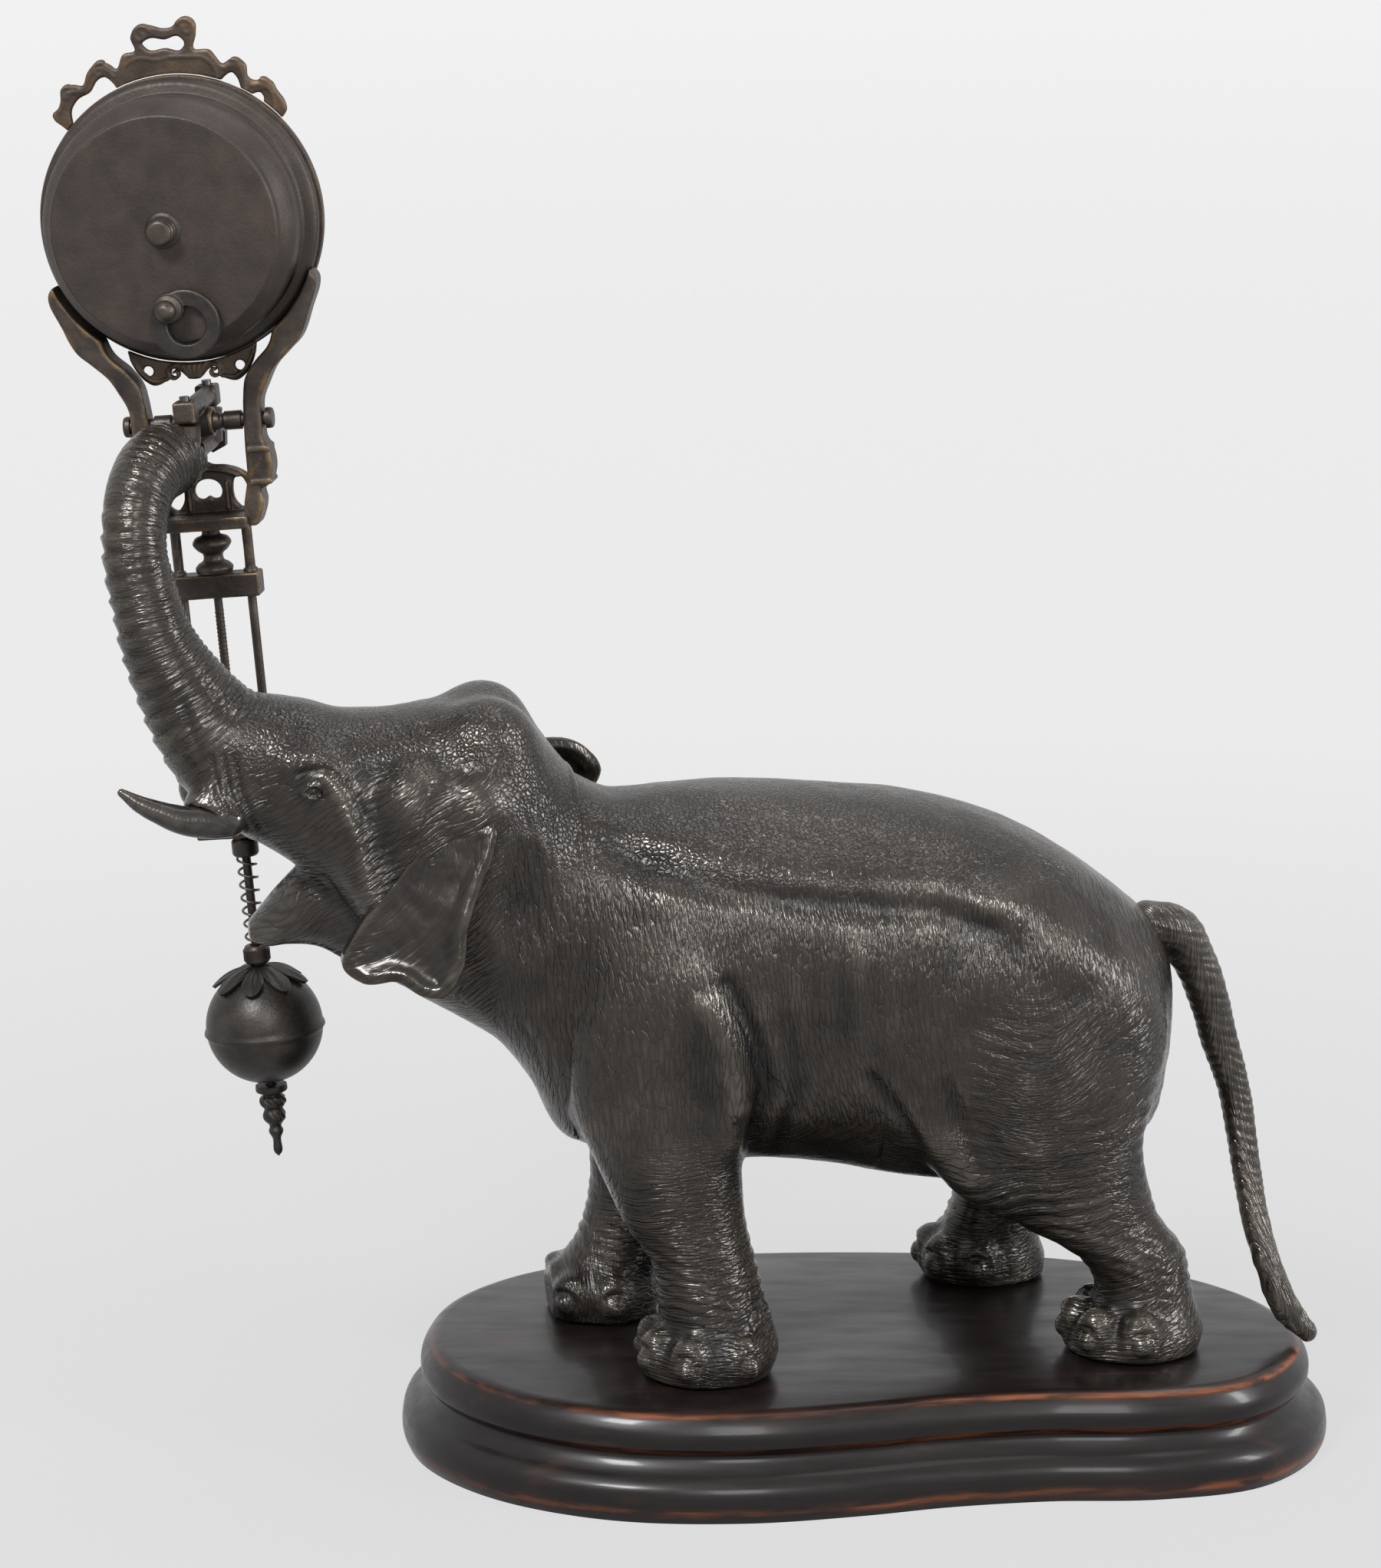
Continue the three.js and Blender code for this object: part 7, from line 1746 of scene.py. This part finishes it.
def build_dial():
    dial = turn_rounded("dial_plate", [
        [2.2, DIAL_AT], [DIAL_RADIUS, DIAL_AT, 0.1], [DIAL_RADIUS, DIAL_FRONT, 0.1],
        [2.2, DIAL_FRONT, 0.1], [2.2, DIAL_AT + 0.1],
    ], 120, "y", DRUM_AT, True, 0.1)
    place_piece(dial, "swinger", ["dial"], "dial")
    centre = from_swing((0, DIAL_FRONT, DRUM_CENTRE_Z), Matrix.Rotation(-math.pi / 2, 4, "X"))
    for name, count, radius, shape in (
        ("minute_marks", 60, 22, wedge(-0.5, 0.5, -0.11, 0.11, -0.05, 0.06)),
        ("hour_marks", 12, 21.6, wedge(-0.9, 0.9, -0.22, 0.22, -0.05, 0.08)),
    ):
        marks = set_around(name, shape, count, radius, "ink", centre)
        place_piece(marks, "swinger", (), "ink")
    chosen = bpy.context.scene.dial_settings
    ring = chosen.number_ring / MM
    stand = Matrix.Rotation(math.pi, 4, "Z") @ Matrix.Rotation(math.pi / 2, 4, "X")
    for k in range(1, 13):
        curve = bpy.data.curves.new(f"number_{k}", "FONT")
        curve.body = str(k)
        curve.size = chosen.number_height
        curve.align_x, curve.align_y = "CENTER", "CENTER"
        curve.extrude = 0.04 * MM
        text = linked(f"number_{k}_text", curve)
        mesh = final_mesh(text)
        bpy.data.objects.remove(text)
        angle = math.radians(30 * k)
        mesh.transform(from_swing((
            -ring * math.sin(angle), DIAL_FRONT + 0.01, DRUM_CENTRE_Z + ring * math.cos(angle),
        ), stand))
        place_piece(linked(f"number_{k}", mesh), "swinger", (), "ink")


def build_knob_and_ring():
    foot = CAN_BACK - 0.8
    knob = turn_rounded("hand_set_knob_turned", [
        [0, foot - 3.6], [2, foot - 3.6, 0.5], [2.5, foot - 3.2, 0.2], [2.3, foot - 2.2, 0.2],
        [2.7, foot - 1.8, 0.3], [2.7, foot - 0.9, 0.2], [2.3, foot - 0.6, 0.2], [2.7, foot, 0],
        [0.86, foot, 0], [0.86, foot - 3.2, 0], [0, foot - 3.2],
    ], 64, "y", DRUM_AT, arcs=5)
    place_piece(knob, "centre", ["hand_set_knob"])
    z = WIND_AT[1]

    def build(clay):
        front, back = CAN_BACK - 0.8, CAN_BACK - 2.4
        clay.add(rod_form("y", (2.9, z - 3.3), 6.9, back, front, 0.5), 0.1)
        clay.cut(rod_form("y", (3.1, z - 3.5), 3.8), 0.35)
        clay.add(rod_form("y", WIND_AT, 3, back, front, 0.4), 0.5)
        clay.cut(rod_form("y", WIND_AT, 1.36), 0.05)

    low, high = (-5, -16.4, z - 11.4), (11, -12.8, z + 4.6)
    ring = cast_plate("winding_ring_flat", build, low, high, 0.16)
    place_piece(ring, "winder", ["winding_ring"], "dark")
    foot = CAN_BACK - 2.7
    nut = turn_rounded("ball_nut_turned", [
        [0, foot - 4.6], [1, foot - 4.5, 0.5], [2, foot - 3.6, 0.8], [2.2, foot - 2.5, 0.8],
        [1.6, foot - 1.4, 0.3], [2.8, foot - 1, 0.3], [2.8, foot, 0.2], [1.36, foot, 0],
        [1.36, foot - 1.1, 0], [0, foot - 1.1],
    ], 56, "y", WIND_AT, arcs=5)
    place_piece(nut, "winder", ["ball_nut"])


def build_crest_and_ornament():
    top = DRUM_CENTRE_Z + BEZEL_RADIUS
    for node_name, build, low, high, step in (
        ("crest", build_crest, (-26, 4.8, top - 17), (26, 8.4, top + 12.4), 0.26),
        ("lower_ornament", build_ornament, (-15, -0.2, 5.6), (15, 3.2, 17), 0.2),
    ):
        made = cast_plate(node_name + "_cast", build, low, high, step)
        place_piece(made, "swinger", [node_name], "ornament")


def build_yoke():
    for name, side in (("left_arm", -1), ("right_arm", 1)):
        x0, x1 = sorted((side * 8, side * 28.5))
        arm = cast_plate(name + "_cast", build_arm(side), (x0, -4.2, -23), (x1, 4.2, 29), 0.28)
        place_piece(arm, "swinger", [name])
    pivot = cast_plate("pivot_bar_cast", build_pivot_bar, (-4.2, -14, -4.6), (4.2, 14, 6.4), 0.2)
    place_piece(pivot, "swinger", ["pivot_bar"])
    half = [
        [1.9, 4.3, 0.1], [1.5, 4.6, 0.2], [1.5, 5.1, 0.2], [1.9, 5.4, 0.1], [1.9, 8.8, 0.1],
        [1.4, 8.8, 0], [1.4, 13.8, 0], [2.1, 13.8, 0], [2.1, 14.6, 0.2], [1.9, 15.1, 0.3],
        [0, 15.1, 0],
    ]
    mirrored = [[radius, -x, size] for radius, x, size in reversed(half)]
    shaft = turn_rounded("cross_shaft_turned", mirrored + half, 56, "x", (0, CROSS_SHAFT_Z),
                         radius=0.15)
    place_piece(shaft, "swinger", ["cross_shaft"])


def build_rod_frame():
    gallery = cast_plate("gallery_bar_cast", build_gallery, (-10, -6.6, -23), (10, 5.6, -8), 0.22)
    place_piece(gallery, "swinger", ["gallery_bar"])
    for name, (z0, z1), depth, posts in (
        ("second_bar", SECOND_BAR_Z, 2.6, (-7.3, 7.3)), ("third_bar", THIRD_BAR_Z, 2.4, ()),
        ("fourth_bar", FOURTH_BAR_Z, 2.4, ()),
    ):
        high = POST_TOP_Z + 0.5 if posts else z1 + 1
        made = cast_plate(name + "_cast", build_bar((z0, z1), depth, posts),
                          (-10.4, -4, z0 - 1), (10.4, 4, high), 0.2)
        place_piece(made, "swinger", [name])
    for name, below, above, beads in (
        ("upper_vase", SECOND_BAR_Z[1], FIRST_BAR_Z[0], VASE_BEADS),
        ("lower_vase", FOURTH_BAR_Z[1], THIRD_BAR_Z[0], LOWER_VASE_BEADS),
    ):
        made = turned(name + "_turned", vase_profile(below, above, beads), 72, hollow=True)
        place_piece(set_edges(made, 40), "swinger", [name])
    foot, top = FOURTH_BAR_Z[0] + 0.3, SECOND_BAR_Z[0] + 3
    for name, x in (("left_rod", -ROD_AT), ("right_rod", ROD_AT)):
        made = turn_rounded(name + "_drawn", [
            [0, foot], [0.9, foot, 0.1], [0.9, top, 0.1], [0, top]], 40, at=(x, 0))
        place_piece(made, "swinger", [name])


def build_stem():
    foot, top = -142, -20.2
    collar_foot, collar_top = -89.4, -85.8
    stem = turn_rounded("stem_turned", [
        [0, foot], [0.9, foot, 0.1], [0.9, collar_foot, 0], [2.3, collar_foot, 0.2],
        [2.7, collar_foot + 0.5, 0.2], [2.7, collar_top - 0.5, 0.2], [2.3, collar_top, 0.2],
        [0.85, collar_top, 0], [0.85, top, 0.1], [0, top],
    ], 48)
    chosen = bpy.context.scene.bob_settings
    coil = coil_group()
    thread = grow("stem_thread", coil, {
        "Radius": THREAD_RADIUS * MM, "Height": THREAD_HEIGHT * MM, "Turns": THREAD_TURNS,
        "Wire Radius": THREAD_WIRE * MM, "Steps per Turn": 20, "Wire Sides": 6,
        "Material": paint("steel"),
    }, from_swing((0, 0, THREAD_FOOT_Z)))
    place_piece(stem, "swinger", ["stem"])
    place_piece(thread, "swinger")
    spring = grow("spring_coil", coil, {
        "Radius": SPRING_RADIUS * MM, "Height": (SPRING_TOP_Z - SPRING_FOOT_Z - 0.5) * MM,
        "Turns": chosen.spring_turns, "Wire Radius": chosen.spring_wire / 2,
        "Steps per Turn": 40, "Wire Sides": 12, "Material": paint("steel"),
    }, from_swing((0, 0, SPRING_FOOT_Z + 0.25)))
    place_piece(spring, "swinger", ["spring"], "steel")
    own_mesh(spring)


def leaf_cap():
    """The cap's skin, whose lower edge is cut into pointed leaves with ribs."""
    leaves, around, steps = 8, 128, 9
    start = math.asin(1.5 / 12.4)
    outer, inner = [], []
    for row in range(steps):
        share = row / (steps - 1)
        for k in range(around):
            azimuth = k / around * 2 * math.pi
            phase = abs(math.cos(azimuth * leaves / 2))
            reach = math.radians(25 + 24 * phase ** 0.75)
            polar = start + (reach - start) * share
            rib = 0.34 * math.exp(-(((1 - phase) / 0.03) ** 2)) * math.sin(math.pi * share * 0.9)
            groove = -0.35 * math.exp(-((phase / 0.25) ** 2)) * min(1, 3 * share)
            tip = 0.35 * phase * share ** 4
            for radius, rows in (
                (LEAF_OUTER + rib + groove + tip, outer), (LEAF_INNER + tip, inner)):
                across = radius * math.sin(polar)
                rows.append((across * math.cos(azimuth), across * math.sin(azimuth),
                             BALL_CENTRE_Z + radius * math.cos(polar)))
    count, last = steps * around, (steps - 1) * around
    faces = []
    for row in range(0, last, around):
        for k in range(around):
            a, b = row + k, row + (k + 1) % around
            faces.append((a, b, b + around, a + around))
            faces.append((count + a + around, count + b + around, count + b, count + a))
    for a in range(around):
        b = (a + 1) % around
        faces.append((count + a, count + b, b, a))
        faces.append((last + a, last + b, count + last + b, count + last + a))
    return moved(outer + inner, swing_matrix()), faces


def build_ball_and_nuts():
    cap = set_edges(make_loose("leaf_cap_cut", *leaf_cap()), 50)
    place_piece(cap, "bob", ["leaf_cap"], "dark")
    rows = []
    for t in np.linspace(math.pi - 0.105, 0.105, 70):
        z = BALL_CENTRE_Z + BALL_RADIUS * math.cos(t)
        belt = 0.5 * bell(z, BALL_CENTRE_Z - 0.6, 0.55)
        rows.append((BALL_RADIUS * math.sin(t) + belt, z))
    place_piece(turned("ball_turned", rows, 128, hollow=True), "bob", ["ball"], "ball")
    foot, top = RING_NUT_FOOT_Z, RING_NUT_TOP_Z
    ring = turn_rounded("ring_nut_turned", [
        [BORE, foot], [2.2, foot, 0.2], [2.6, foot + 0.5, 0.2], [2.6, top - 0.7, 0.3],
        [2.1, top, 0.2], [BORE, top],
    ], 72, hollow=True, radius=0.2)
    place_piece(ring, "bob", ["ring_nut"])
    rib = wedge(-0.15, 0.12, -0.11, 0.11, foot + 0.7, top - 0.9, 0.5)
    ribs = bpy.context.scene.bob_settings.knurl_ribs
    knurl = set_around("ring_nut_knurl", rib, ribs, 2.62, "brown", from_swing())
    place_piece(knurl, "bob")
    height = FINIAL_TOP_Z - FINIAL_TIP_Z
    outside = smooth_profile([[r, FINIAL_TIP_Z + share * height] for r, share in FINIAL_BEADS], 9)
    outside[0] = (0.0, outside[0][1])
    bore = [(BORE, FINIAL_TOP_Z), (BORE, FINIAL_BORE_END_Z), (0, FINIAL_BORE_END_Z)]
    nut = set_edges(turned("rating_nut_turned", outside + bore, 90, twist=finial_twist), 50)
    place_piece(nut, "nut", ["rating_nut"], "dark")


def build_elephant():
    for part, clay, relief, nodes in (
        ("body", build_body_clay, body_relief, ["body_casting"]),
        ("head", build_head_clay, head_relief, ["head_casting", "trunk_casting"]),
    ):
        made = set_edges(carve_piece(part + "_sculpted", clay(), relief), 70)
        place_piece(made, "base", nodes, "elephant")


def build_ears():
    for name, outline, side in (
        ("near_ear", NEAR_EAR_OUTLINE, NEAR), ("far_ear", FAR_EAR_OUTLINE, FAR),
    ):
        made = carve_piece(name + "_sculpted", build_ear_clay(outline, side), ear_relief)
        place_piece(made, "base", [name], "ear")


def build_tusk_and_tail():
    tusk = carve_piece("tusk_sculpted", build_path_clay(TUSK_POINTS, 30, 0.22, 4.5), tusk_relief)
    place_piece(tusk, "base", ["tusk"], "tusk")
    tail = carve_piece("tail_sculpted", build_path_clay(TAIL_POINTS, 60, 0.42, 7), tail_relief)
    place_piece(tail, "base", ["tail"], "elephant")


CARRIED = {
    "steel": ["near_front_bolt", "far_front_bolt", "near_hind_bolt", "far_hind_bolt",
              "near_point", "far_point", "mainspring", "centre_arbor", "anchor",
              "winding_arbor", "click", "cannon_pinion"],
    "brass": ["front_plate", "back_plate", "barrel", "second_wheel", "third_wheel",
              "escape_wheel", "minute_wheel", "hour_wheel"],
    "blued": ["hour_hand", "minute_hand"],
    "brown": ["trunk_bracket"],
}


def dress_carried_nodes():
    for key, names in CARRIED.items():
        for name in names:
            for slot in bpy.data.objects[name].material_slots:
                slot.material = paint(key)


def add_camera():
    data = bpy.data.cameras.new("photo_camera")
    data.sensor_width = SENSOR_WIDTH
    data.lens = CAMERA_FOCAL_PIXELS * SENSOR_WIDTH / max(PHOTO_SIZE)
    data.clip_start, data.clip_end = 0.05, 20
    camera = linked("photo_camera", data)
    camera.location = [part * MM for part in CAMERA_AT]
    drop = math.atan2(CAMERA_AT[2] - CAMERA_PITCH_TO, -CAMERA_AT[1])
    camera.rotation_euler = (math.pi / 2 - drop, 0, 0)
    bpy.context.scene.camera = camera


def add_lamp(name, at, size, power, aim=(-0.02, 0, 0.14)):
    data = bpy.data.lights.new(name, "AREA")
    data.shape = "RECTANGLE"
    data.size, data.size_y = size
    data.energy = power
    lamp = linked(name, data)
    lamp.location = at
    lamp.rotation_euler = (Vector(aim) - Vector(at)).to_track_quat("-Z", "Y").to_euler()


FLOOR_HALF = 6
WORLD_LIGHT = (150, 151, 154)


def seen_directly(tree):
    """1 for a ray from the camera, a mirror or glass, and 0 for one that lights a surface."""
    rays = node(tree, "ShaderNodeLightPath").outputs
    kinds = ("Camera", "Glossy", "Transmission")
    return chain(tree, "MAXIMUM", *(rays[f"Is {kind} Ray"] for kind in kinds))


def floor_material():
    """A pale floor: mostly its own plain light, with a painted shadow that makes it a little
    darker near the plinth, and the rest takes the real shadow."""
    made, tree, shader = new_material("studio_floor")
    fill(tree, shader, {
        "Base Color": (0.4, 0.4, 0.405, 1), "Roughness": 1, "Specular IOR Level": 0})
    pale = bpy.context.scene.stage_settings.floor_colour
    # Painted shadow: the floor's own light is darkest close to the plinth, fades to the plain pale
    # colour further out, and grows a little lighter far away
    away = node(tree, "ShaderNodeVectorMath", {0: object_place(tree)}, operation="LENGTH")
    shade = ramp(tree, chain(tree, "MULTIPLY", away.outputs["Value"], 0.3),
                 (0.03, levels(pale, -19)), (0.2, levels(pale)), (0.9, levels(pale, 10)))
    glow_with_painted_shadow = node(tree, "ShaderNodeEmission", {"Color": shade})
    share = chain(tree, "MULTIPLY", seen_directly(tree), 0.9)
    both = node(tree, "ShaderNodeMixShader", {
        0: share, 1: shader.outputs[0], 2: glow_with_painted_shadow.outputs[0]})
    fill(tree, tree.nodes["Material Output"], {0: both.outputs[0]})
    return made


def set_stage():
    add_camera()
    half = FLOOR_HALF
    points = [(-half, -half, 0), (half, -half, 0), (half, half, 0), (-half, half, 0)]
    floor = make_loose("studio_floor", points, [(0, 1, 2, 3)], smooth=False)
    floor.data.materials.append(floor_material())
    world = bpy.data.worlds.new("studio")
    bpy.context.scene.world = world
    world.use_nodes = True
    tree = world.node_tree
    chosen = bpy.context.scene.stage_settings
    shown = mix(tree, seen_directly(tree), WORLD_LIGHT, levels(chosen.floor_colour))
    fill(tree, tree.nodes["Background"], {"Color": shown})
    add_lamp("key_lamp", (-0.55, -0.75, 1.05), (0.3, 0.3), chosen.key_power)
    add_lamp("side_lamp", (0.95, -0.35, 0.55), (0.2, 0.6), chosen.side_power)
    add_lamp("front_lamp", (0.12, -1.0, 0.62), (0.25, 0.5), chosen.front_power)
    add_lamp("top_lamp", (0.15, 0.35, 1.2), (0.7, 0.4), chosen.top_power)
    bpy.context.scene.view_settings.view_transform = "Standard"


# Settings that a user would change
def length(name, description, default):
    """A length property, given in millimetres."""
    return FloatProperty(name=name, description=description, default=default * MM, min=0.0,
                         precision=5, unit="LENGTH")


def colour(name, description, shade):
    """A colour property, given in levels from 0 to 255."""
    return FloatVectorProperty(
        name=name, description=description, default=[part / 255 for part in shade],
        size=3, min=0.0, max=1.0, subtype="COLOR_GAMMA")


def power(name, description, default):
    """A lamp's power, in watts."""
    return FloatProperty(name=name, description=description, default=default, min=0.0,
                         unit="POWER")


class ElephantSettings(bpy.types.PropertyGroup):
    """Detail and bronze of the elephant."""

    body_step: length("Body Step", "Spacing of the samples that give the body's skin", 0.8)
    head_step: length("Head Step", "Spacing of the samples that give the head's skin", 0.53)
    cell_width: length("Cell Width", "Width of one cell of the wrinkled skin", 0.9)
    cell_depth: length("Cell Depth", "Depth of the cracks between the skin's cells", 0.18)
    hollows: colour("Hollows", "Colour of the bronze in its hollows", (14, 11, 9))
    bronze: colour("Bronze", "Colour of the bronze", (45, 40, 35))
    ridges: colour("Ridges", "Colour of the bronze on its rubbed ridges", (84, 79, 72))


class PlinthSettings(bpy.types.PropertyGroup):
    """Finish of the wooden plinth."""

    stain: colour("Stain", "Colour of the black stain", (17, 13, 12))
    grain: colour("Grain", "Colour of the wood's grain under the stain", (44, 28, 21))
    worn_edge: colour("Worn Edge", "Colour of the wood where the edges are rubbed", (120, 66, 36))


class DialSettings(bpy.types.PropertyGroup):
    """Sizes of the numbers on the dial."""

    number_height: length("Number Height", "Height of the lettering of the numbers", 4.6)
    number_ring: length("Number Ring", "Radius of the circle that the numbers stand on", 17.6)


class BobSettings(bpy.types.PropertyGroup):
    """Sizes of the spring and the knurled nut over the ball."""

    spring_turns: FloatProperty(
        name="Spring Turns", description="Turns of the open spring", default=6.5, min=1.0)
    spring_wire: length("Spring Wire", "Thickness of the spring's wire", 0.52)
    knurl_ribs: IntProperty(
        name="Knurl Ribs", description="Ribs round the knurled nut", default=40, min=8)


class StageSettings(bpy.types.PropertyGroup):
    """Lamps and floor of the studio."""

    key_power: power("Key Lamp", "Power of the lamp at the upper left", 19)
    side_power: power("Side Lamp", "Power of the tall lamp at the right", 11)
    front_power: power("Front Lamp", "Power of the lamp above the camera", 4.5)
    top_power: power("Top Lamp", "Power of the wide lamp overhead", 3)
    floor_colour: colour("Floor", "Colour of the pale floor and backdrop", (241, 241, 242))


SETTINGS = {
    "elephant_settings": ElephantSettings, "plinth_settings": PlinthSettings,
    "dial_settings": DialSettings, "bob_settings": BobSettings, "stage_settings": StageSettings,
}


# One operator to each group of pieces
class SetStage(bpy.types.Operator):
    """Set the camera, the lamps, the floor and the world."""

    bl_idname = "elephant_clock.stage"
    bl_label = "Stage"

    def execute(self, _context):
        set_stage()
        return {"FINISHED"}


class SculptElephant(bpy.types.Operator):
    """Sculpt the body, the head and the raised trunk."""

    bl_idname = "elephant_clock.elephant"
    bl_label = "Elephant"

    def execute(self, _context):
        build_elephant()
        return {"FINISHED"}


class SculptEars(bpy.types.Operator):
    """Sculpt the two ears."""

    bl_idname = "elephant_clock.ears"
    bl_label = "Ears"

    def execute(self, _context):
        build_ears()
        return {"FINISHED"}


class SculptTuskAndTail(bpy.types.Operator):
    """Sculpt the tusk and the tail."""

    bl_idname = "elephant_clock.tusk_and_tail"
    bl_label = "Tusk and Tail"

    def execute(self, _context):
        build_tusk_and_tail()
        return {"FINISHED"}


class MakePlinth(bpy.types.Operator):
    """Make the moulded wooden plinth."""

    bl_idname = "elephant_clock.plinth"
    bl_label = "Plinth"

    def execute(self, _context):
        build_plinth()
        return {"FINISHED"}


class TurnDrum(bpy.types.Operator):
    """Turn the drum's case and its bush."""

    bl_idname = "elephant_clock.drum"
    bl_label = "Drum"

    def execute(self, _context):
        build_drum()
        return {"FINISHED"}


class TurnBezelAndGlass(bpy.types.Operator):
    """Turn the bezel and its domed glass."""

    bl_idname = "elephant_clock.bezel_and_glass"
    bl_label = "Bezel and Glass"

    def execute(self, _context):
        build_bezel_and_glass()
        return {"FINISHED"}


class DrawDial(bpy.types.Operator):
    """Make the dial with its marks and plain numbers."""

    bl_idname = "elephant_clock.dial"
    bl_label = "Dial"

    def execute(self, _context):
        build_dial()
        return {"FINISHED"}


class MakeKnobAndRing(bpy.types.Operator):
    """Make the hand-set knob, the winding ring and its nut."""

    bl_idname = "elephant_clock.knob_and_ring"
    bl_label = "Knob and Ring"

    def execute(self, _context):
        build_knob_and_ring()
        return {"FINISHED"}


class CastCrestAndOrnament(bpy.types.Operator):
    """Cast the crest and the lower ornament."""

    bl_idname = "elephant_clock.crest_and_ornament"
    bl_label = "Crest and Ornament"

    def execute(self, _context):
        build_crest_and_ornament()
        return {"FINISHED"}


class CastYoke(bpy.types.Operator):
    """Cast the two arms and the pivot bar, and turn the cross shaft."""

    bl_idname = "elephant_clock.yoke"
    bl_label = "Yoke"

    def execute(self, _context):
        build_yoke()
        return {"FINISHED"}


class MakeRodFrame(bpy.types.Operator):
    """Make the gallery, the bars, the vases and the long rods."""

    bl_idname = "elephant_clock.rod_frame"
    bl_label = "Rod Frame"

    def execute(self, _context):
        build_rod_frame()
        return {"FINISHED"}


class MakeStemAndSpring(bpy.types.Operator):
    """Make the threaded stem and its spring."""

    bl_idname = "elephant_clock.stem_and_spring"
    bl_label = "Stem and Spring"

    def execute(self, _context):
        build_stem()
        return {"FINISHED"}


class TurnBallAndNuts(bpy.types.Operator):
    """Make the ball, its leaf cap, the knurled nut and the rating nut."""

    bl_idname = "elephant_clock.ball_and_nuts"
    bl_label = "Ball and Nuts"

    def execute(self, _context):
        build_ball_and_nuts()
        return {"FINISHED"}


class PaintCarriedNodes(bpy.types.Operator):
    """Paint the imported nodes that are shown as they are."""

    bl_idname = "elephant_clock.carried_nodes"
    bl_label = "Carried Nodes"

    def execute(self, _context):
        dress_carried_nodes()
        return {"FINISHED"}


OPERATORS = (
    SetStage, SculptElephant, SculptEars, SculptTuskAndTail, MakePlinth, TurnDrum,
    TurnBezelAndGlass, DrawDial, MakeKnobAndRing, CastCrestAndOrnament, CastYoke, MakeRodFrame,
    MakeStemAndSpring, TurnBallAndNuts, PaintCarriedNodes,
)


class ClockPanel(bpy.types.Panel):
    """Lists the clock's settings and the pieces that can be made."""

    bl_idname = "VIEW3D_PT_elephant_clock"
    bl_label = "Elephant Clock"
    bl_space_type = "VIEW_3D"
    bl_region_type = "UI"
    bl_category = "Elephant Clock"

    def draw(self, context):
        """Each group's settings, then a button for each operator."""
        for name, kind in SETTINGS.items():
            box = self.layout.box()
            for setting in kind.__annotations__:
                box.prop(getattr(context.scene, name), setting)
        for kind in OPERATORS:
            self.layout.operator(kind.bl_idname)


CLASSES = (*SETTINGS.values(), *OPERATORS, ClockPanel)


def register():
    for kind in CLASSES:
        bpy.utils.register_class(kind)
    for name, kind in SETTINGS.items():
        setattr(bpy.types.Scene, name, PointerProperty(type=kind))


def unregister():
    for name in SETTINGS:
        delattr(bpy.types.Scene, name)
    for kind in reversed(CLASSES):
        bpy.utils.unregister_class(kind)


def main():
    register()
    clock = bpy.ops.elephant_clock
    clock.stage()
    clock.elephant()
    clock.ears()
    clock.tusk_and_tail()
    clock.plinth()
    clock.drum()
    clock.bezel_and_glass()
    clock.dial()
    clock.knob_and_ring()
    clock.crest_and_ornament()
    clock.yoke()
    clock.rod_frame()
    clock.stem_and_spring()
    clock.ball_and_nuts()
    clock.carried_nodes()


if __name__ == "__main__":
    main()
